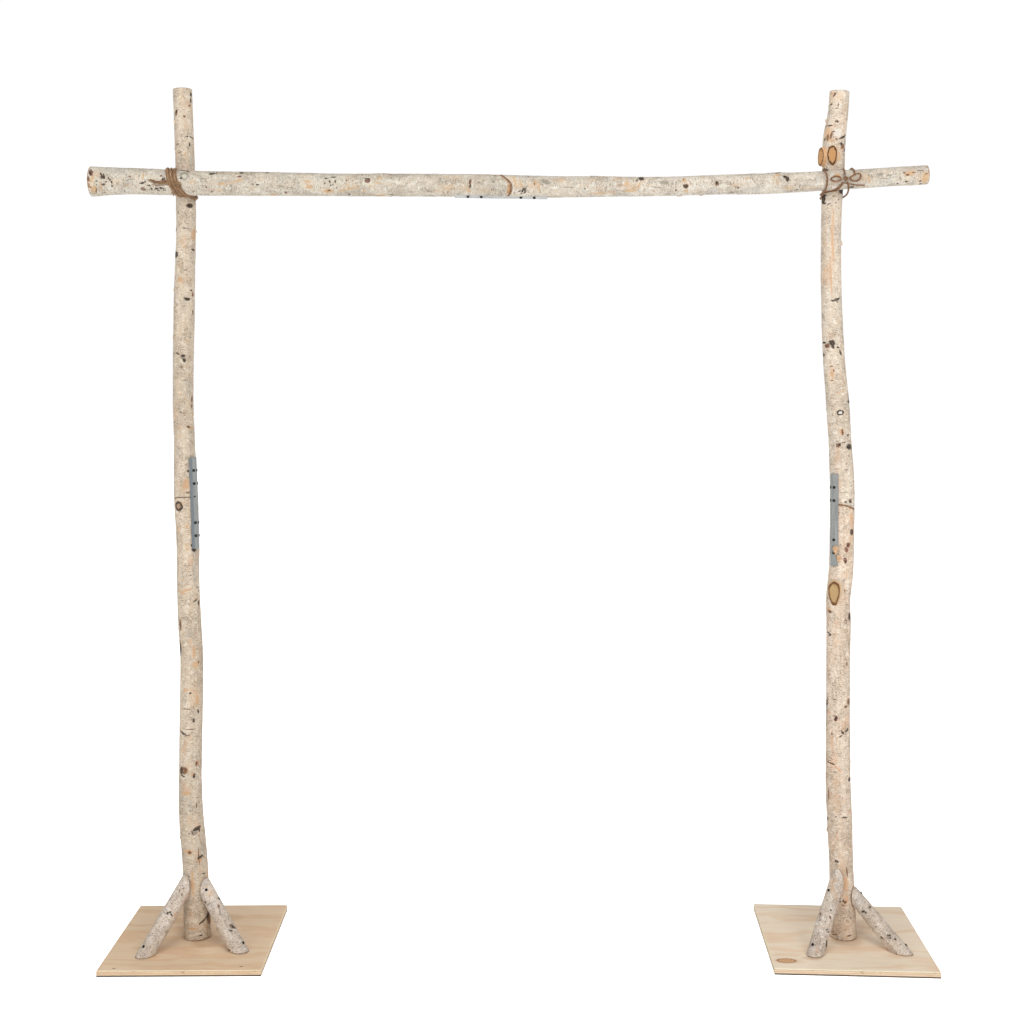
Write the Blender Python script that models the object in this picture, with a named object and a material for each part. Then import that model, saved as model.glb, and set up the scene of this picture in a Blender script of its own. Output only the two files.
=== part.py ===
"""Birch pole wedding arch: two posts on square plywood boards and one crossbar.

Every pole is a slim birch stem in two lengths, joined end to end by a punched
steel angle.  Each post stands on its board between three mitred birch braces.
The crossbar lies in front of the posts and is lashed to them with twine.

Metres, +Z up, +X to the right seen from the front, -Y towards the front.
The origin is on the floor, in the middle of the arch.
"""
import math

import bmesh
import bpy
from mathutils import Matrix, Vector

MM = 0.001

# ---------------------------------------------------------------- dimensions
GAP = 0.0003                 # clearance kept between pieces that touch

BOARD_SIDE = 0.4572          # 18 in square
BOARD_THICK = 0.018          # 3/4 in plywood
LEFT_BOARD = (-0.9318, 0.0, math.radians(0.69))     # x, y, turn
RIGHT_BOARD = (0.9698, 0.0, math.radians(-3.13))

POST_SEAM_LEFT = 1.309       # height of the joint between the two lengths
POST_SEAM_RIGHT = 1.283
BAR_SEAM = -0.006            # x of the crossbar's joint

ANGLE_LENGTH = 0.2667        # 10.5 in of punched angle
ANGLE_LEG = 0.0200
ANGLE_THICK = 0.0024
ANGLE_HOLE = 0.0052          # hole diameter
ANGLE_PITCH = 0.0381         # 1.5 in between holes, counted from one end
ANGLE_LINE = 0.38            # the holes' place across a leg, from the corner

POLE_STEP = 0.040            # length of one facet along a pole
POLE_SIDES = 6               # bevel resolution: 16 sides round a pole
BRACE_SIDES = 4              # 12 sides round a brace
CORD_SIDES = 2               # 8 sides round the twine

# A pole's stations in millimetres.  For a post: height, x, y, diameter.
LEFT_POST = [
    (18, -931, 0, 79), (240, -938, 0, 73), (365, -948, 1, 71), (480, -951, 2, 66),
    (720, -947, 4, 67), (840, -946, 5, 66), (950, -952, 6, 67), (1080, -956, 6, 64),
    (1190, -956, 5, 66), (1309, -960, 3, 69), (1480, -964, 2, 61), (1620, -967, 1, 59),
    (1830, -963, -1, 61), (1950, -960, -2, 59), (2070, -956, -1, 56), (2185, -956, 0, 57),
    (2290, -958, 0, 55), (2506, -965, 1, 55)]
RIGHT_POST = [
    (18, 975, 0, 77), (240, 967, 0, 70), (360, 962, -1, 73), (480, 957, -2, 72),
    (720, 955, -4, 69), (840, 955, -4, 69), (950, 956, -3, 71), (1015, 954, -3, 70),
    (1090, 962, -2, 71), (1190, 965, -1, 71), (1283, 966, 0, 71), (1370, 965, 1, 71),
    (1480, 959, 2, 66), (1600, 951, 3, 66), (1715, 941, 4, 63), (1830, 935, 4, 61),
    (1950, 931, 3, 59), (2070, 930, 2, 58), (2185, 932, 1, 60), (2290, 936, 0, 64),
    (2360, 938, 0, 65), (2430, 948, 0, 59), (2499, 953, 0, 57)]
# For the crossbar: x, y, height, diameter.
CROSSBAR = [
    (-1210.5, -65, 2228, 86), (-1197, -65, 2228, 84), (-1155, -65, 2229, 79),
    (-1086, -64, 2229, 75), (-994, -64, 2226, 72), (-899, -64, 2223, 70),
    (-756, -64, 2222, 68), (-556, -65, 2219, 65), (-440, -66, 2218, 64),
    (-326, -66, 2218, 65), (-210, -67, 2217, 64), (-95, -66, 2216, 65),
    (-6, -65, 2214, 65), (77, -65, 2213, 62), (135, -64, 2213, 60),
    (250, -63, 2214, 59), (365, -62, 2214, 56), (479, -61, 2216, 55),
    (594, -60, 2220, 56), (709, -59, 2222, 58), (824, -59, 2227, 57),
    (997, -58.5, 2237, 55), (1088, -58, 2243, 54), (1169, -57, 2247, 56),
    (1191, -57, 2249, 55)]

# Braces: foot on the board, direction point near the post's axis, diameters
# at the foot and at the top (millimetres).
BRACES = {
    "left_post_brace_left": ((-1048, -131, 18), (-938, -7, 215), 50, 44, "L"),
    "left_post_brace_right": ((-789, -99, 18), (-923, -6, 194), 50, 43, "L"),
    "left_post_brace_back": ((-966, 158, 18), (-941, 14, 205), 45, 41, "L"),
    "right_post_brace_left": ((863, -125, 18), (968, -7, 232), 49, 43, "R"),
    "right_post_brace_right": ((1112, -110, 18), (983, -6, 166), 50, 42, "R"),
    "right_post_brace_back": ((1014, 156, 18), (979, 14, 203), 45, 41, "R"),
}

# ------------------------------------------------------------------- scene
for old in list(bpy.data.objects):
    bpy.data.objects.remove(old, do_unlink=True)

parts = bpy.data.collections.new("birch_pole_arch")
cutters = bpy.data.collections.new("cutters")
bpy.context.scene.collection.children.link(parts)
bpy.context.scene.collection.children.link(cutters)


def material(name, colour, roughness, metallic=0.0):
    mat = bpy.data.materials.new(name)
    mat.use_nodes = True
    bsdf = mat.node_tree.nodes["Principled BSDF"]
    bsdf.inputs["Base Color"].default_value = (*colour, 1.0)
    bsdf.inputs["Roughness"].default_value = roughness
    bsdf.inputs["Metallic"].default_value = metallic
    return mat


BIRCH = material("birch_bark", (0.72, 0.64, 0.52), 0.75)
PLYWOOD = material("birch_plywood", (0.60, 0.45, 0.29), 0.65)
STEEL = material("grey_steel", (0.33, 0.38, 0.39), 0.45, 0.7)
TWINE = material("jute_twine", (0.34, 0.20, 0.11), 0.9)


def add_object(name, data, mat, collection=parts):
    obj = bpy.data.objects.new(name, data)
    collection.objects.link(obj)
    data.materials.append(mat)
    return obj


def smooth(mesh):
    mesh.shade_smooth()
    mesh.set_sharp_from_angle(angle=math.radians(40))


# ------------------------------------------------------------------- poles
def along(stations, s):
    """Smooth curve through the stations: the centre and radius at s (metres)."""
    keys = [row[0] * MM for row in stations]
    last = len(keys) - 1
    i = 0
    while i < last - 1 and s > keys[i + 1]:
        i += 1
    span = keys[i + 1] - keys[i]
    t = min(max((s - keys[i]) / span, -0.2), 1.2)
    out = []
    for column in range(1, 4):
        p = [row[column] * MM for row in stations]
        m0 = (p[i + 1] - p[i]) if i == 0 else (p[i + 1] - p[i - 1]) / (keys[i + 1] - keys[i - 1]) * span
        m1 = (p[i + 1] - p[i]) if i + 1 == last else (p[i + 2] - p[i]) / (keys[i + 2] - keys[i]) * span
        h = ((2 * t ** 3 - 3 * t ** 2 + 1) * p[i] + (t ** 3 - 2 * t ** 2 + t) * m0
             + (-2 * t ** 3 + 3 * t ** 2) * p[i + 1] + (t ** 3 - t ** 2) * m1)
        out.append(h)
    return out


def post_at(stations, z):
    x, y, d = along(stations, z)
    return Vector((x, y, z)), d / 2


def bar_at(stations, x):
    y, z, d = along(stations, x)
    return Vector((x, y, z)), d / 2


def tube(name, points, radii, sides, mat, closed=False):
    curve = bpy.data.curves.new(name, "CURVE")
    curve.dimensions = "3D"
    curve.bevel_depth = 1.0
    curve.bevel_resolution = sides
    curve.use_fill_caps = not closed
    spline = curve.splines.new("POLY")
    spline.points.add(len(points) - 1)
    for k, p in enumerate(points):
        spline.points[k].co = (p[0], p[1], p[2], 1.0)
        spline.points[k].radius = radii[k]
    spline.use_cyclic_u = closed
    spline.use_smooth = True
    return add_object(name, curve, mat)


def to_mesh(obj):
    """Replace a curve object by a closed mesh of the same name and place."""
    name, place, mat = obj.name, obj.matrix_world.copy(), obj.data.materials[0]
    deps = bpy.context.evaluated_depsgraph_get()
    mesh = bpy.data.meshes.new_from_object(obj.evaluated_get(deps))
    curve = obj.data
    bpy.data.objects.remove(obj, do_unlink=True)
    bpy.data.curves.remove(curve)
    bm = bmesh.new()
    bm.from_mesh(mesh)
    bmesh.ops.remove_doubles(bm, verts=bm.verts, dist=0.00005)
    bmesh.ops.recalc_face_normals(bm, faces=bm.faces)
    bm.to_mesh(mesh)
    bm.free()
    mesh.name = name
    mesh.materials.clear()
    mesh.materials.append(mat)
    new = bpy.data.objects.new(name, mesh)
    new.matrix_world = place
    parts.objects.link(new)
    return new


def box_cutter(name, size, matrix):
    mesh = bpy.data.meshes.new(name)
    bm = bmesh.new()
    bmesh.ops.create_cube(bm, size=1.0, matrix=Matrix.Diagonal((*size, 1.0)))
    bm.to_mesh(mesh)
    bm.free()
    obj = bpy.data.objects.new(name, mesh)
    obj.matrix_world = matrix
    obj.hide_render = True
    obj.display_type = "WIRE"
    cutters.objects.link(obj)
    return obj


def boolean(obj, other, operation="DIFFERENCE"):
    mod = obj.modifiers.new(other.name, "BOOLEAN")
    mod.object = other
    mod.operation = operation
    mod.solver = "EXACT"
    return mod


def tangent(at, stations, s):
    a, _ = at(stations, s - 0.02)
    b, _ = at(stations, s + 0.02)
    return (b - a).normalized()


def spliced_pole(lower_name, upper_name, at, stations, start, seam, end, foot_dir=None):
    """Two lengths that meet square, end to end, at the seam."""
    t = tangent(at, stations, seam)
    centre, radius = at(stations, seam)
    made = []
    for name, a, b, side in ((lower_name, start, seam, -1), (upper_name, seam, end, 1)):
        count = max(2, round((b - a) / POLE_STEP))
        rows = [at(stations, a + (b - a) * k / count) for k in range(count + 1)]
        points = [p for p, r in rows]
        radii = [r for p, r in rows]
        near = centre + t * side * GAP / 2
        inner = centre + t * side * 0.012
        if side < 0:
            points[-1] = near
            points.insert(-1, inner)
            radii.insert(-1, radii[-1])
            if foot_dir is not None:
                points.insert(1, points[0] + foot_dir * 0.012)
                radii.insert(1, radii[0])
        else:
            points[0] = near
            points.insert(1, inner)
            radii.insert(1, radii[0])
        made.append(tube(name, points, radii, POLE_SIDES, BIRCH))
    return made


UP = Vector((0.0, 0.0, 1.0))
FOOT = BOARD_THICK + GAP
left_lower, left_upper = spliced_pole(
    "left_post_lower", "left_post_upper", post_at, LEFT_POST,
    FOOT, POST_SEAM_LEFT, LEFT_POST[-1][0] * MM, UP)
right_lower, right_upper = spliced_pole(
    "right_post_lower", "right_post_upper", post_at, RIGHT_POST,
    FOOT, POST_SEAM_RIGHT, RIGHT_POST[-1][0] * MM, UP)
bar_left, bar_right = spliced_pole(
    "crossbar_left_half", "crossbar_right_half", bar_at, CROSSBAR,
    CROSSBAR[0][0] * MM, BAR_SEAM, CROSSBAR[-1][0] * MM, Vector((1.0, 0.0, 0.0)))


# ----------------------------------------------------------- branch stubs
def stub(post, stations, height, turn, out, half_height, half_width):
    """A pruned branch: an upright oval boss on the post, sawn flat.  `turn` is
    the angle from the front towards the left; `out` is how far the sawn face
    stands from the post's centre."""
    centre, _ = post_at(stations, height)
    mesh = bpy.data.meshes.new("stub")
    bm = bmesh.new()
    bmesh.ops.create_cone(bm, cap_ends=True, segments=20, radius1=1.06, radius2=1.0, depth=1.0,
                          matrix=Matrix.Diagonal((half_height, half_width, out, 1.0))
                          @ Matrix.Translation((0, 0, 0.5)))
    bm.to_mesh(mesh)
    bm.free()
    facing = Vector((-math.sin(turn), -math.cos(turn), 0.0))
    frame = Matrix((UP, facing.cross(UP), facing)).transposed().to_4x4()
    frame.translation = centre
    obj = bpy.data.objects.new("stub", mesh)
    obj.matrix_world = frame
    obj.hide_render = True
    obj.display_type = "WIRE"
    cutters.objects.link(obj)
    boolean(post, obj, "UNION")


bpy.context.view_layer.update()
right_upper = to_mesh(right_upper)
stub(right_upper, RIGHT_POST, 2.308, math.radians(70), 0.0450, 0.026, 0.015)
stub(right_upper, RIGHT_POST, 2.310, math.radians(20), 0.0365, 0.029, 0.013)
smooth(right_upper.data)
right_lower = to_mesh(right_lower)
stub(right_lower, RIGHT_POST, 1.037, math.radians(34), 0.0390, 0.033, 0.018)
smooth(right_lower.data)


# ------------------------------------------------------------------ boards
def board(name, place):
    x, y, turn = place
    mesh = bpy.data.meshes.new(name)
    bm = bmesh.new()
    bmesh.ops.create_cube(bm, size=1.0, matrix=Matrix.Diagonal(
        (BOARD_SIDE, BOARD_SIDE, BOARD_THICK, 1.0)))
    bm.to_mesh(mesh)
    bm.free()
    obj = add_object(name, mesh, PLYWOOD)
    obj.location = (x, y, BOARD_THICK / 2)
    obj.rotation_euler = (0.0, 0.0, turn)
    return obj


board("left_base_board", LEFT_BOARD)
board("right_base_board", RIGHT_BOARD)


# ------------------------------------------------------------------ braces
def brace(name, foot, head, foot_dia, head_dia, post_stations):
    """A short pole, cut level at the board and cut upright against the post."""
    foot = Vector(foot) * MM
    head = Vector(head) * MM
    run = (head - foot).normalized()
    start = foot - run * 0.05
    points, radii = [], []
    steps = 9
    for k in range(steps + 1):
        t = k / steps
        points.append(start.lerp(head + run * 0.04, t))
        radii.append((foot_dia + (head_dia - foot_dia) * t) * MM / 2)
    obj = to_mesh(tube(name, points, radii, BRACE_SIDES, BIRCH))
    below = box_cutter(name + "_foot_cut", (0.4, 0.4, 0.2),
                       Matrix.Translation((foot.x, foot.y, BOARD_THICK + GAP - 0.1)))
    boolean(obj, below)
    flat = Vector((run.x, run.y, 0.0)).normalized()
    # the upright cut clears the post's widest place over the height of the cut
    reach = -1.0
    for k in range(13):
        centre, radius = post_at(post_stations, 0.10 + 0.012 * k)
        here = (centre - foot).dot(flat) - radius
        reach = here if k == 0 else min(reach, here)
    reach -= GAP
    turn = math.atan2(flat.y, flat.x)
    place = Matrix.Translation((foot.x + flat.x * (reach + 0.1),
                                foot.y + flat.y * (reach + 0.1), 0.2)) @ Matrix.Rotation(turn, 4, "Z")
    boolean(obj, box_cutter(name + "_mitre_cut", (0.2, 0.3, 0.6), place))
    smooth(obj.data)
    return obj


for key, (foot, head, fd, hd, which) in BRACES.items():
    brace(key, foot, head, fd, hd, LEFT_POST if which == "L" else RIGHT_POST)


# ------------------------------------------------------------ splice angles
def splice_angle(name, at, stations, middle, facing, holes=(0, 1, 4, 5), inset=0.0, bedded_in=()):
    """Equal-leg angle: its corner points away from the pole along `facing`,
    and its two free edges bear on the pole, or lie `inset` deep in a seat cut
    into the poles of `bedded_in`."""
    half = ANGLE_LENGTH / 2
    a, _ = at(stations, middle - half)
    b, _ = at(stations, middle + half)
    axis = (b - a).normalized()
    facing = (facing - axis * facing.dot(axis)).normalized()
    lateral = axis.cross(facing).normalized()
    mid = (a + b) / 2
    # how far out the corner sits so that both free edges just clear the pole
    root = math.sqrt(0.5)
    corner = 0.0
    for k in range(15):
        s = middle - half + ANGLE_LENGTH * k / 14
        centre, radius = at(stations, s)
        off = centre - mid
        du, dl = off.dot(facing), off.dot(lateral)
        for inward, side in ((ANGLE_LEG * root, ANGLE_LEG * root),
                             ((ANGLE_LEG + ANGLE_THICK) * root, (ANGLE_LEG - ANGLE_THICK) * root)):
            for sign in (-1, 1):
                e = sign * side - dl
                if abs(e) < radius:
                    corner = max(corner, du + math.sqrt(radius ** 2 - e ** 2) + GAP + inward)
    corner -= inset
    # the section, corner at the origin, legs running back at 45 degrees
    leg, th = ANGLE_LEG, ANGLE_THICK
    outline = [(0, 0), (leg, 0), (leg, th), (th, th), (th, leg), (0, leg)]
    curve = bpy.data.curves.new(name, "CURVE")
    curve.dimensions = "2D"
    curve.fill_mode = "BOTH"
    curve.extrude = half
    spline = curve.splines.new("POLY")
    spline.points.add(len(outline) - 1)
    for k, (u, v) in enumerate(outline):
        spline.points[k].co = (u, v, 0.0, 1.0)
    spline.use_cyclic_u = True
    obj = add_object(name, curve, STEEL)
    x_dir = (-facing + lateral).normalized()
    y_dir = (-facing - lateral).normalized()
    z_dir = x_dir.cross(y_dir)
    place = Matrix((x_dir, y_dir, z_dir)).transposed().to_4x4()
    place.translation = mid + facing * corner
    obj.matrix_world = place
    bpy.context.view_layer.update()
    obj = to_mesh(obj)
    obj.matrix_world = place
    # punched holes in both legs
    first = -half + ANGLE_PITCH
    mesh = bpy.data.meshes.new(name + "_holes")
    bm = bmesh.new()
    for k in holes:
        h = first + ANGLE_PITCH * k
        for spin in (Matrix.Translation((leg * ANGLE_LINE, 0, h)) @ Matrix.Rotation(math.pi / 2, 4, "X"),
                     Matrix.Translation((0, leg * ANGLE_LINE, h)) @ Matrix.Rotation(math.pi / 2, 4, "Y")):
            bmesh.ops.create_cone(bm, cap_ends=True, segments=10, radius1=ANGLE_HOLE / 2,
                                  radius2=ANGLE_HOLE / 2, depth=th * 4, matrix=spin)
    bm.to_mesh(mesh)
    bm.free()
    cut = bpy.data.objects.new(name + "_holes", mesh)
    cut.matrix_world = place
    cut.hide_render = True
    cut.display_type = "WIRE"
    cutters.objects.link(cut)
    boolean(obj, cut)
    # the seat: wood makes way under and outside both legs
    wide, deep, tall = leg + GAP + 0.015, th + GAP + 0.015, ANGLE_LENGTH + 2 * GAP
    for pole in bedded_in:
        pole = to_mesh(pole)
        for side, size in (("x", (wide, deep, tall)), ("y", (deep, wide, tall))):
            shift = Matrix.Translation((size[0] / 2 - 0.015, size[1] / 2 - 0.015, 0.0))
            boolean(pole, box_cutter(f"{pole.name}_seat_{side}", size, place @ shift))
    return obj


splice_angle("left_post_splice_angle", post_at, LEFT_POST, 1.299, Vector((0.809, -0.587, 0)), (0, 1, 2, 4, 5))
splice_angle("right_post_splice_angle", post_at, RIGHT_POST, 1.250, Vector((-0.766, -0.642, 0)))
splice_angle("crossbar_splice_angle", bar_at, CROSSBAR, -0.034, Vector((0, 0.275, -0.962)),
             inset=0.0105, bedded_in=(bar_left, bar_right))


# --------------------------------------------------------------- lashings
def spline_through(keys, spacing, closed):
    """Even points on a smooth curve through the key points."""
    n = len(keys)
    dense = []
    spans = n if closed else n - 1
    for i in range(spans):
        p1, p2 = keys[i], keys[(i + 1) % n]
        p0 = keys[(i - 1) % n] if closed or i > 0 else p1 * 2 - p2
        p3 = keys[(i + 2) % n] if closed or i + 2 < n else p2 * 2 - p1
        for k in range(24):
            t = k / 24
            dense.append(0.5 * (2 * p1 + (p2 - p0) * t + (2 * p0 - 5 * p1 + 4 * p2 - p3) * t * t
                                + (3 * p1 - p0 - 3 * p2 + p3) * t ** 3))
    dense.append(keys[0].copy() if closed else keys[-1].copy())
    return even(dense, spacing, closed)


def even(dense, spacing, closed):
    lengths = [0.0]
    for a, b in zip(dense, dense[1:]):
        lengths.append(lengths[-1] + (b - a).length)
    count = max(4, round(lengths[-1] / spacing))
    out, j = [], 0
    for k in range(count + (0 if closed else 1)):
        s = lengths[-1] * k / count
        while j < len(lengths) - 2 and lengths[j + 1] < s:
            j += 1
        span = max(lengths[j + 1] - lengths[j], 1e-9)
        out.append(dense[j].lerp(dense[j + 1], (s - lengths[j]) / span))
    return out


def clear_of_poles(p, post_stations, room):
    """Push a point out until it clears the post and the crossbar by `room`."""
    for _ in range(6):
        centre, radius = post_at(post_stations, p.z)
        flat = Vector((p.x - centre.x, p.y - centre.y, 0.0))
        if flat.length < radius + room:
            p = p + flat.normalized() * (radius + room - flat.length)
        centre, radius = bar_at(CROSSBAR, p.x)
        flat = Vector((0.0, p.y - centre.y, p.z - centre.z))
        if flat.length < radius + room:
            p = p + flat.normalized() * (radius + room - flat.length)
    return p


def lashing(name, keys, post_stations, cord, closed, pull=4, spacing=0.009, lift=0.0):
    """Twine pulled onto the poles along the key points."""
    room = cord / 2 + GAP + lift
    points = spline_through([Vector(k) for k in keys], spacing, closed)
    for _ in range(pull):
        n = len(points)
        moved = []
        for i in range(n):
            if not closed and i in (0, n - 1):
                moved.append(points[i])
                continue
            a, b = points[(i - 1) % n], points[(i + 1) % n]
            moved.append(points[i].lerp((a + b) / 2, 0.5))
        points = [clear_of_poles(p, post_stations, room) for p in moved]
    return tube(name, points, [cord / 2] * len(points), CORD_SIDES, TWINE, closed)


# Left: three wraps side by side, slanting down to the right across the bar.
CORD_LEFT = 0.0064
LEFT_X = post_at(LEFT_POST, 2.223)[0].x
LEFT_BAR, LEFT_BAR_R = bar_at(CROSSBAR, LEFT_X)
LEFT_R = post_at(LEFT_POST, 2.223)[1]


def left_wrap(name, top, mid, low, right_z, left_z):
    c = CORD_LEFT / 2 + GAP
    rb, rp, yb, zb = LEFT_BAR_R + c, LEFT_R + c, LEFT_BAR.y, LEFT_BAR.z
    keys = [(mid, yb - rb, 0), (mid * 0.5 + low * 0.5, yb - 0.75 * rb, -0.66 * rb),
            (low, yb - 0.1 * rb, -rb), (low + 0.006, yb + 0.72 * rb, -0.72 * rb),
            (rp * 0.97, -0.012, right_z), (rp * 0.75, rp * 0.66, right_z * 0.6 + left_z * 0.4),
            (0, rp, (right_z + left_z) / 2), (-rp * 0.75, rp * 0.66, right_z * 0.4 + left_z * 0.6),
            (-rp * 0.97, -0.012, left_z), (top - 0.006, yb + 0.72 * rb, 0.72 * rb),
            (top, yb - 0.1 * rb, rb), (top * 0.6 + mid * 0.4, yb - 0.75 * rb, 0.66 * rb)]
    keys = [(LEFT_X + x, y, zb + z) for x, y, z in keys]
    return lashing(name, keys, LEFT_POST, CORD_LEFT, True)


left_wrap("left_lashing_wrap_1", -0.034, -0.0225, -0.002, -0.041, 0.001)
left_wrap("left_lashing_wrap_2", -0.024, -0.0135, 0.0095, -0.023, 0.017)
left_wrap("left_lashing_wrap_3", -0.013, -0.0045, 0.021, -0.007, 0.033)

# Right: one thinner cord in two turns, tied at the front in a small bow.
CORD_RIGHT = 0.0050
RIGHT_X = post_at(RIGHT_POST, 2.232)[0].x
RIGHT_BAR, RIGHT_BAR_R = bar_at(CROSSBAR, RIGHT_X)
RIGHT_R = post_at(RIGHT_POST, 2.232)[1]
c = CORD_RIGHT / 2 + GAP
rb, rp, yb, zb = RIGHT_BAR_R + c, RIGHT_R + c, RIGHT_BAR.y, RIGHT_BAR.z


def right_cord(name, keys, closed=False, pull=4, lift=0.0, spacing=0.0085):
    return lashing(name, [(RIGHT_X + x, y, zb + z) for x, y, z in keys],
                   RIGHT_POST, CORD_RIGHT, closed, pull, spacing, lift)


right_cord("right_lashing_upper_turn", [
    (0.013, yb - rb - 0.001, 0.010), (0.0145, yb - 0.7 * rb, 0.71 * rb), (0.016, yb, rb),
    (0.024, yb + 0.75 * rb, 0.66 * rb), (rp * 0.98, -0.006, 0.015), (rp * 0.7, rp * 0.7, 0.014),
    (0, rp, 0.013), (-rp * 0.7, rp * 0.7, 0.014), (-rp * 0.98, -0.006, 0.016),
    (-0.039, yb + 0.75 * rb, 0.66 * rb), (-0.042, yb, rb), (-0.040, yb - 0.7 * rb, 0.71 * rb),
    (-0.036, yb - rb, 0.0), (-0.037, yb - 0.7 * rb, -0.71 * rb), (-0.041, yb + 0.1 * rb, -rb - 0.002),
    (-0.040, -0.034, -0.039), (-rp * 0.97, -0.004, -0.043), (-rp * 0.7, rp * 0.7, -0.043),
    (0, rp, -0.042), (rp * 0.7, rp * 0.7, -0.041), (rp * 0.98, -0.004, -0.040),
    (0.034, -0.034, -0.036), (0.031, yb, -rb - 0.001), (0.026, yb - 0.75 * rb, -0.66 * rb),
    (0.021, yb - 0.98 * rb - 0.001, -0.009)])
right_cord("right_lashing_lower_turn", [
    (0.008, yb - rb - 0.001, -0.011), (0.004, yb - 0.75 * rb, -0.66 * rb), (-0.010, yb - 0.3 * rb, -0.97 * rb),
    (-0.024, yb + 0.3 * rb, -rb - 0.001), (-0.030, -0.030, -0.031), (-rp * 0.97, -0.004, -0.033),
    (-rp * 0.7, rp * 0.7, -0.030), (0, rp, -0.020), (rp * 0.7, rp * 0.7, -0.008),
    (rp * 0.99, -0.004, 0.001), (0.037, yb + 0.8 * rb, 0.6 * rb), (0.039, yb, rb),
    (0.042, yb - 0.7 * rb, 0.71 * rb), (0.043, yb - rb, 0.010)])
right_cord("right_bow_left_loop", [
    (0.0035, yb - rb - 0.003, 0.000), (-0.008, yb - rb - 0.003, 0.006), (-0.021, yb - rb - 0.002, 0.004),
    (-0.028, yb - rb - 0.001, -0.002), (-0.021, yb - rb - 0.002, -0.008), (-0.006, yb - rb - 0.003, -0.008)],
    closed=True, pull=1, lift=0.0005, spacing=0.005)
right_cord("right_bow_right_loop", [
    (0.0255, yb - rb - 0.003, 0.000), (0.033, yb - rb - 0.003, -0.006), (0.047, yb - rb - 0.002, -0.008),
    (0.058, yb - rb - 0.001, 0.002), (0.056, yb - rb - 0.006, 0.012), (0.044, yb - rb - 0.0085, 0.012),
    (0.032, yb - rb - 0.007, 0.006)],
    closed=True, pull=1, lift=0.0005, spacing=0.005)

# the knot: a small squashed ball of turns at the middle of the bow
mesh = bpy.data.meshes.new("right_lashing_knot")
bm = bmesh.new()
bmesh.ops.create_uvsphere(bm, u_segments=12, v_segments=8, radius=1.0,
                          matrix=Matrix.Diagonal((0.0075, 0.0055, 0.0070, 1.0)))
bm.to_mesh(mesh)
bm.free()
knot = add_object("right_lashing_knot", mesh, TWINE)
knot.location = (RIGHT_X + 0.0145, yb - rb - 0.0035, zb - 0.0005)
smooth(mesh)
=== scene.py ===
"""Looks of the birch pole wedding arch: bark, sawn ends, plywood, punched steel and twine."""
import math

import bmesh
import bpy
import numpy as np
from mathutils import Matrix, Vector


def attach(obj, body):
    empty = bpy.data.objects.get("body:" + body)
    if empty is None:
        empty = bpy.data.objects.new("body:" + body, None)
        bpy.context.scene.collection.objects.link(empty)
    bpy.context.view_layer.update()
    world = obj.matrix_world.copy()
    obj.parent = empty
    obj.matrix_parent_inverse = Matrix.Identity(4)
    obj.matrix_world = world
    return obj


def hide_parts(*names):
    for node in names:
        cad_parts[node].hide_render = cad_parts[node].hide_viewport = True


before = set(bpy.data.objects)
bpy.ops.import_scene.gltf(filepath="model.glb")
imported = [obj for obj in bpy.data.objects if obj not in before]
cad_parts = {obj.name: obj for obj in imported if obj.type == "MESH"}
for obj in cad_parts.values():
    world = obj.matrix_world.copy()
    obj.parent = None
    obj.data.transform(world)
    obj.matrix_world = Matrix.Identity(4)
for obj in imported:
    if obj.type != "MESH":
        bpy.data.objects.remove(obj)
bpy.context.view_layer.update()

MM = 0.001

# ------------------------------------------------------------------ camera
FOCAL_PX = 1311.7            # focal length in pixels of a 1024 x 1024 frame
CENTRE_PX = (512.0, 408.3)
EYE = np.array((-0.0031, -3.8439, 1.6426))
TILT = math.radians(1.0)     # looking slightly down

camera = bpy.data.cameras.new("camera")
camera.sensor_width = 36.0
camera.lens = FOCAL_PX / 1024 * 36.0
camera.shift_y = (CENTRE_PX[1] - 512.0) / 1024
camera.clip_start = 0.05
camera.clip_end = 200.0
camera_object = bpy.data.objects.new("camera", camera)
camera_object.location = EYE
camera_object.rotation_euler = (math.radians(90) - TILT, 0.0, 0.0)
bpy.context.scene.collection.objects.link(camera_object)
bpy.context.scene.camera = camera_object


def view_ray(u, v):
    """The direction in which the camera looks through a point of its 1024 x 1024 frame."""
    a = (u - CENTRE_PX[0]) / FOCAL_PX
    b = (v - CENTRE_PX[1]) / FOCAL_PX
    d = (np.array((0.0, math.cos(TILT), -math.sin(TILT))) + a * np.array((1.0, 0.0, 0.0))
         + b * np.array((0.0, -math.sin(TILT), -math.cos(TILT))))
    return d / np.linalg.norm(d)


# --------------------------------------------------------- shape of the poles
GAP = 0.0003
BOARD_SIDE = 0.4572
BOARD_THICK = 0.018
LEFT_BOARD = (-0.9318, 0.0, math.radians(0.69))
RIGHT_BOARD = (0.9698, 0.0, math.radians(-3.13))
POST_SEAM_LEFT = 1.309
POST_SEAM_RIGHT = 1.283
BAR_SEAM = -0.006
ANGLE_LENGTH = 0.2667
ANGLE_LEG = 0.0200
ANGLE_THICK = 0.0024
ANGLE_HOLE = 0.0052
ANGLE_PITCH = 0.0381
ANGLE_LINE = 0.38

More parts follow.
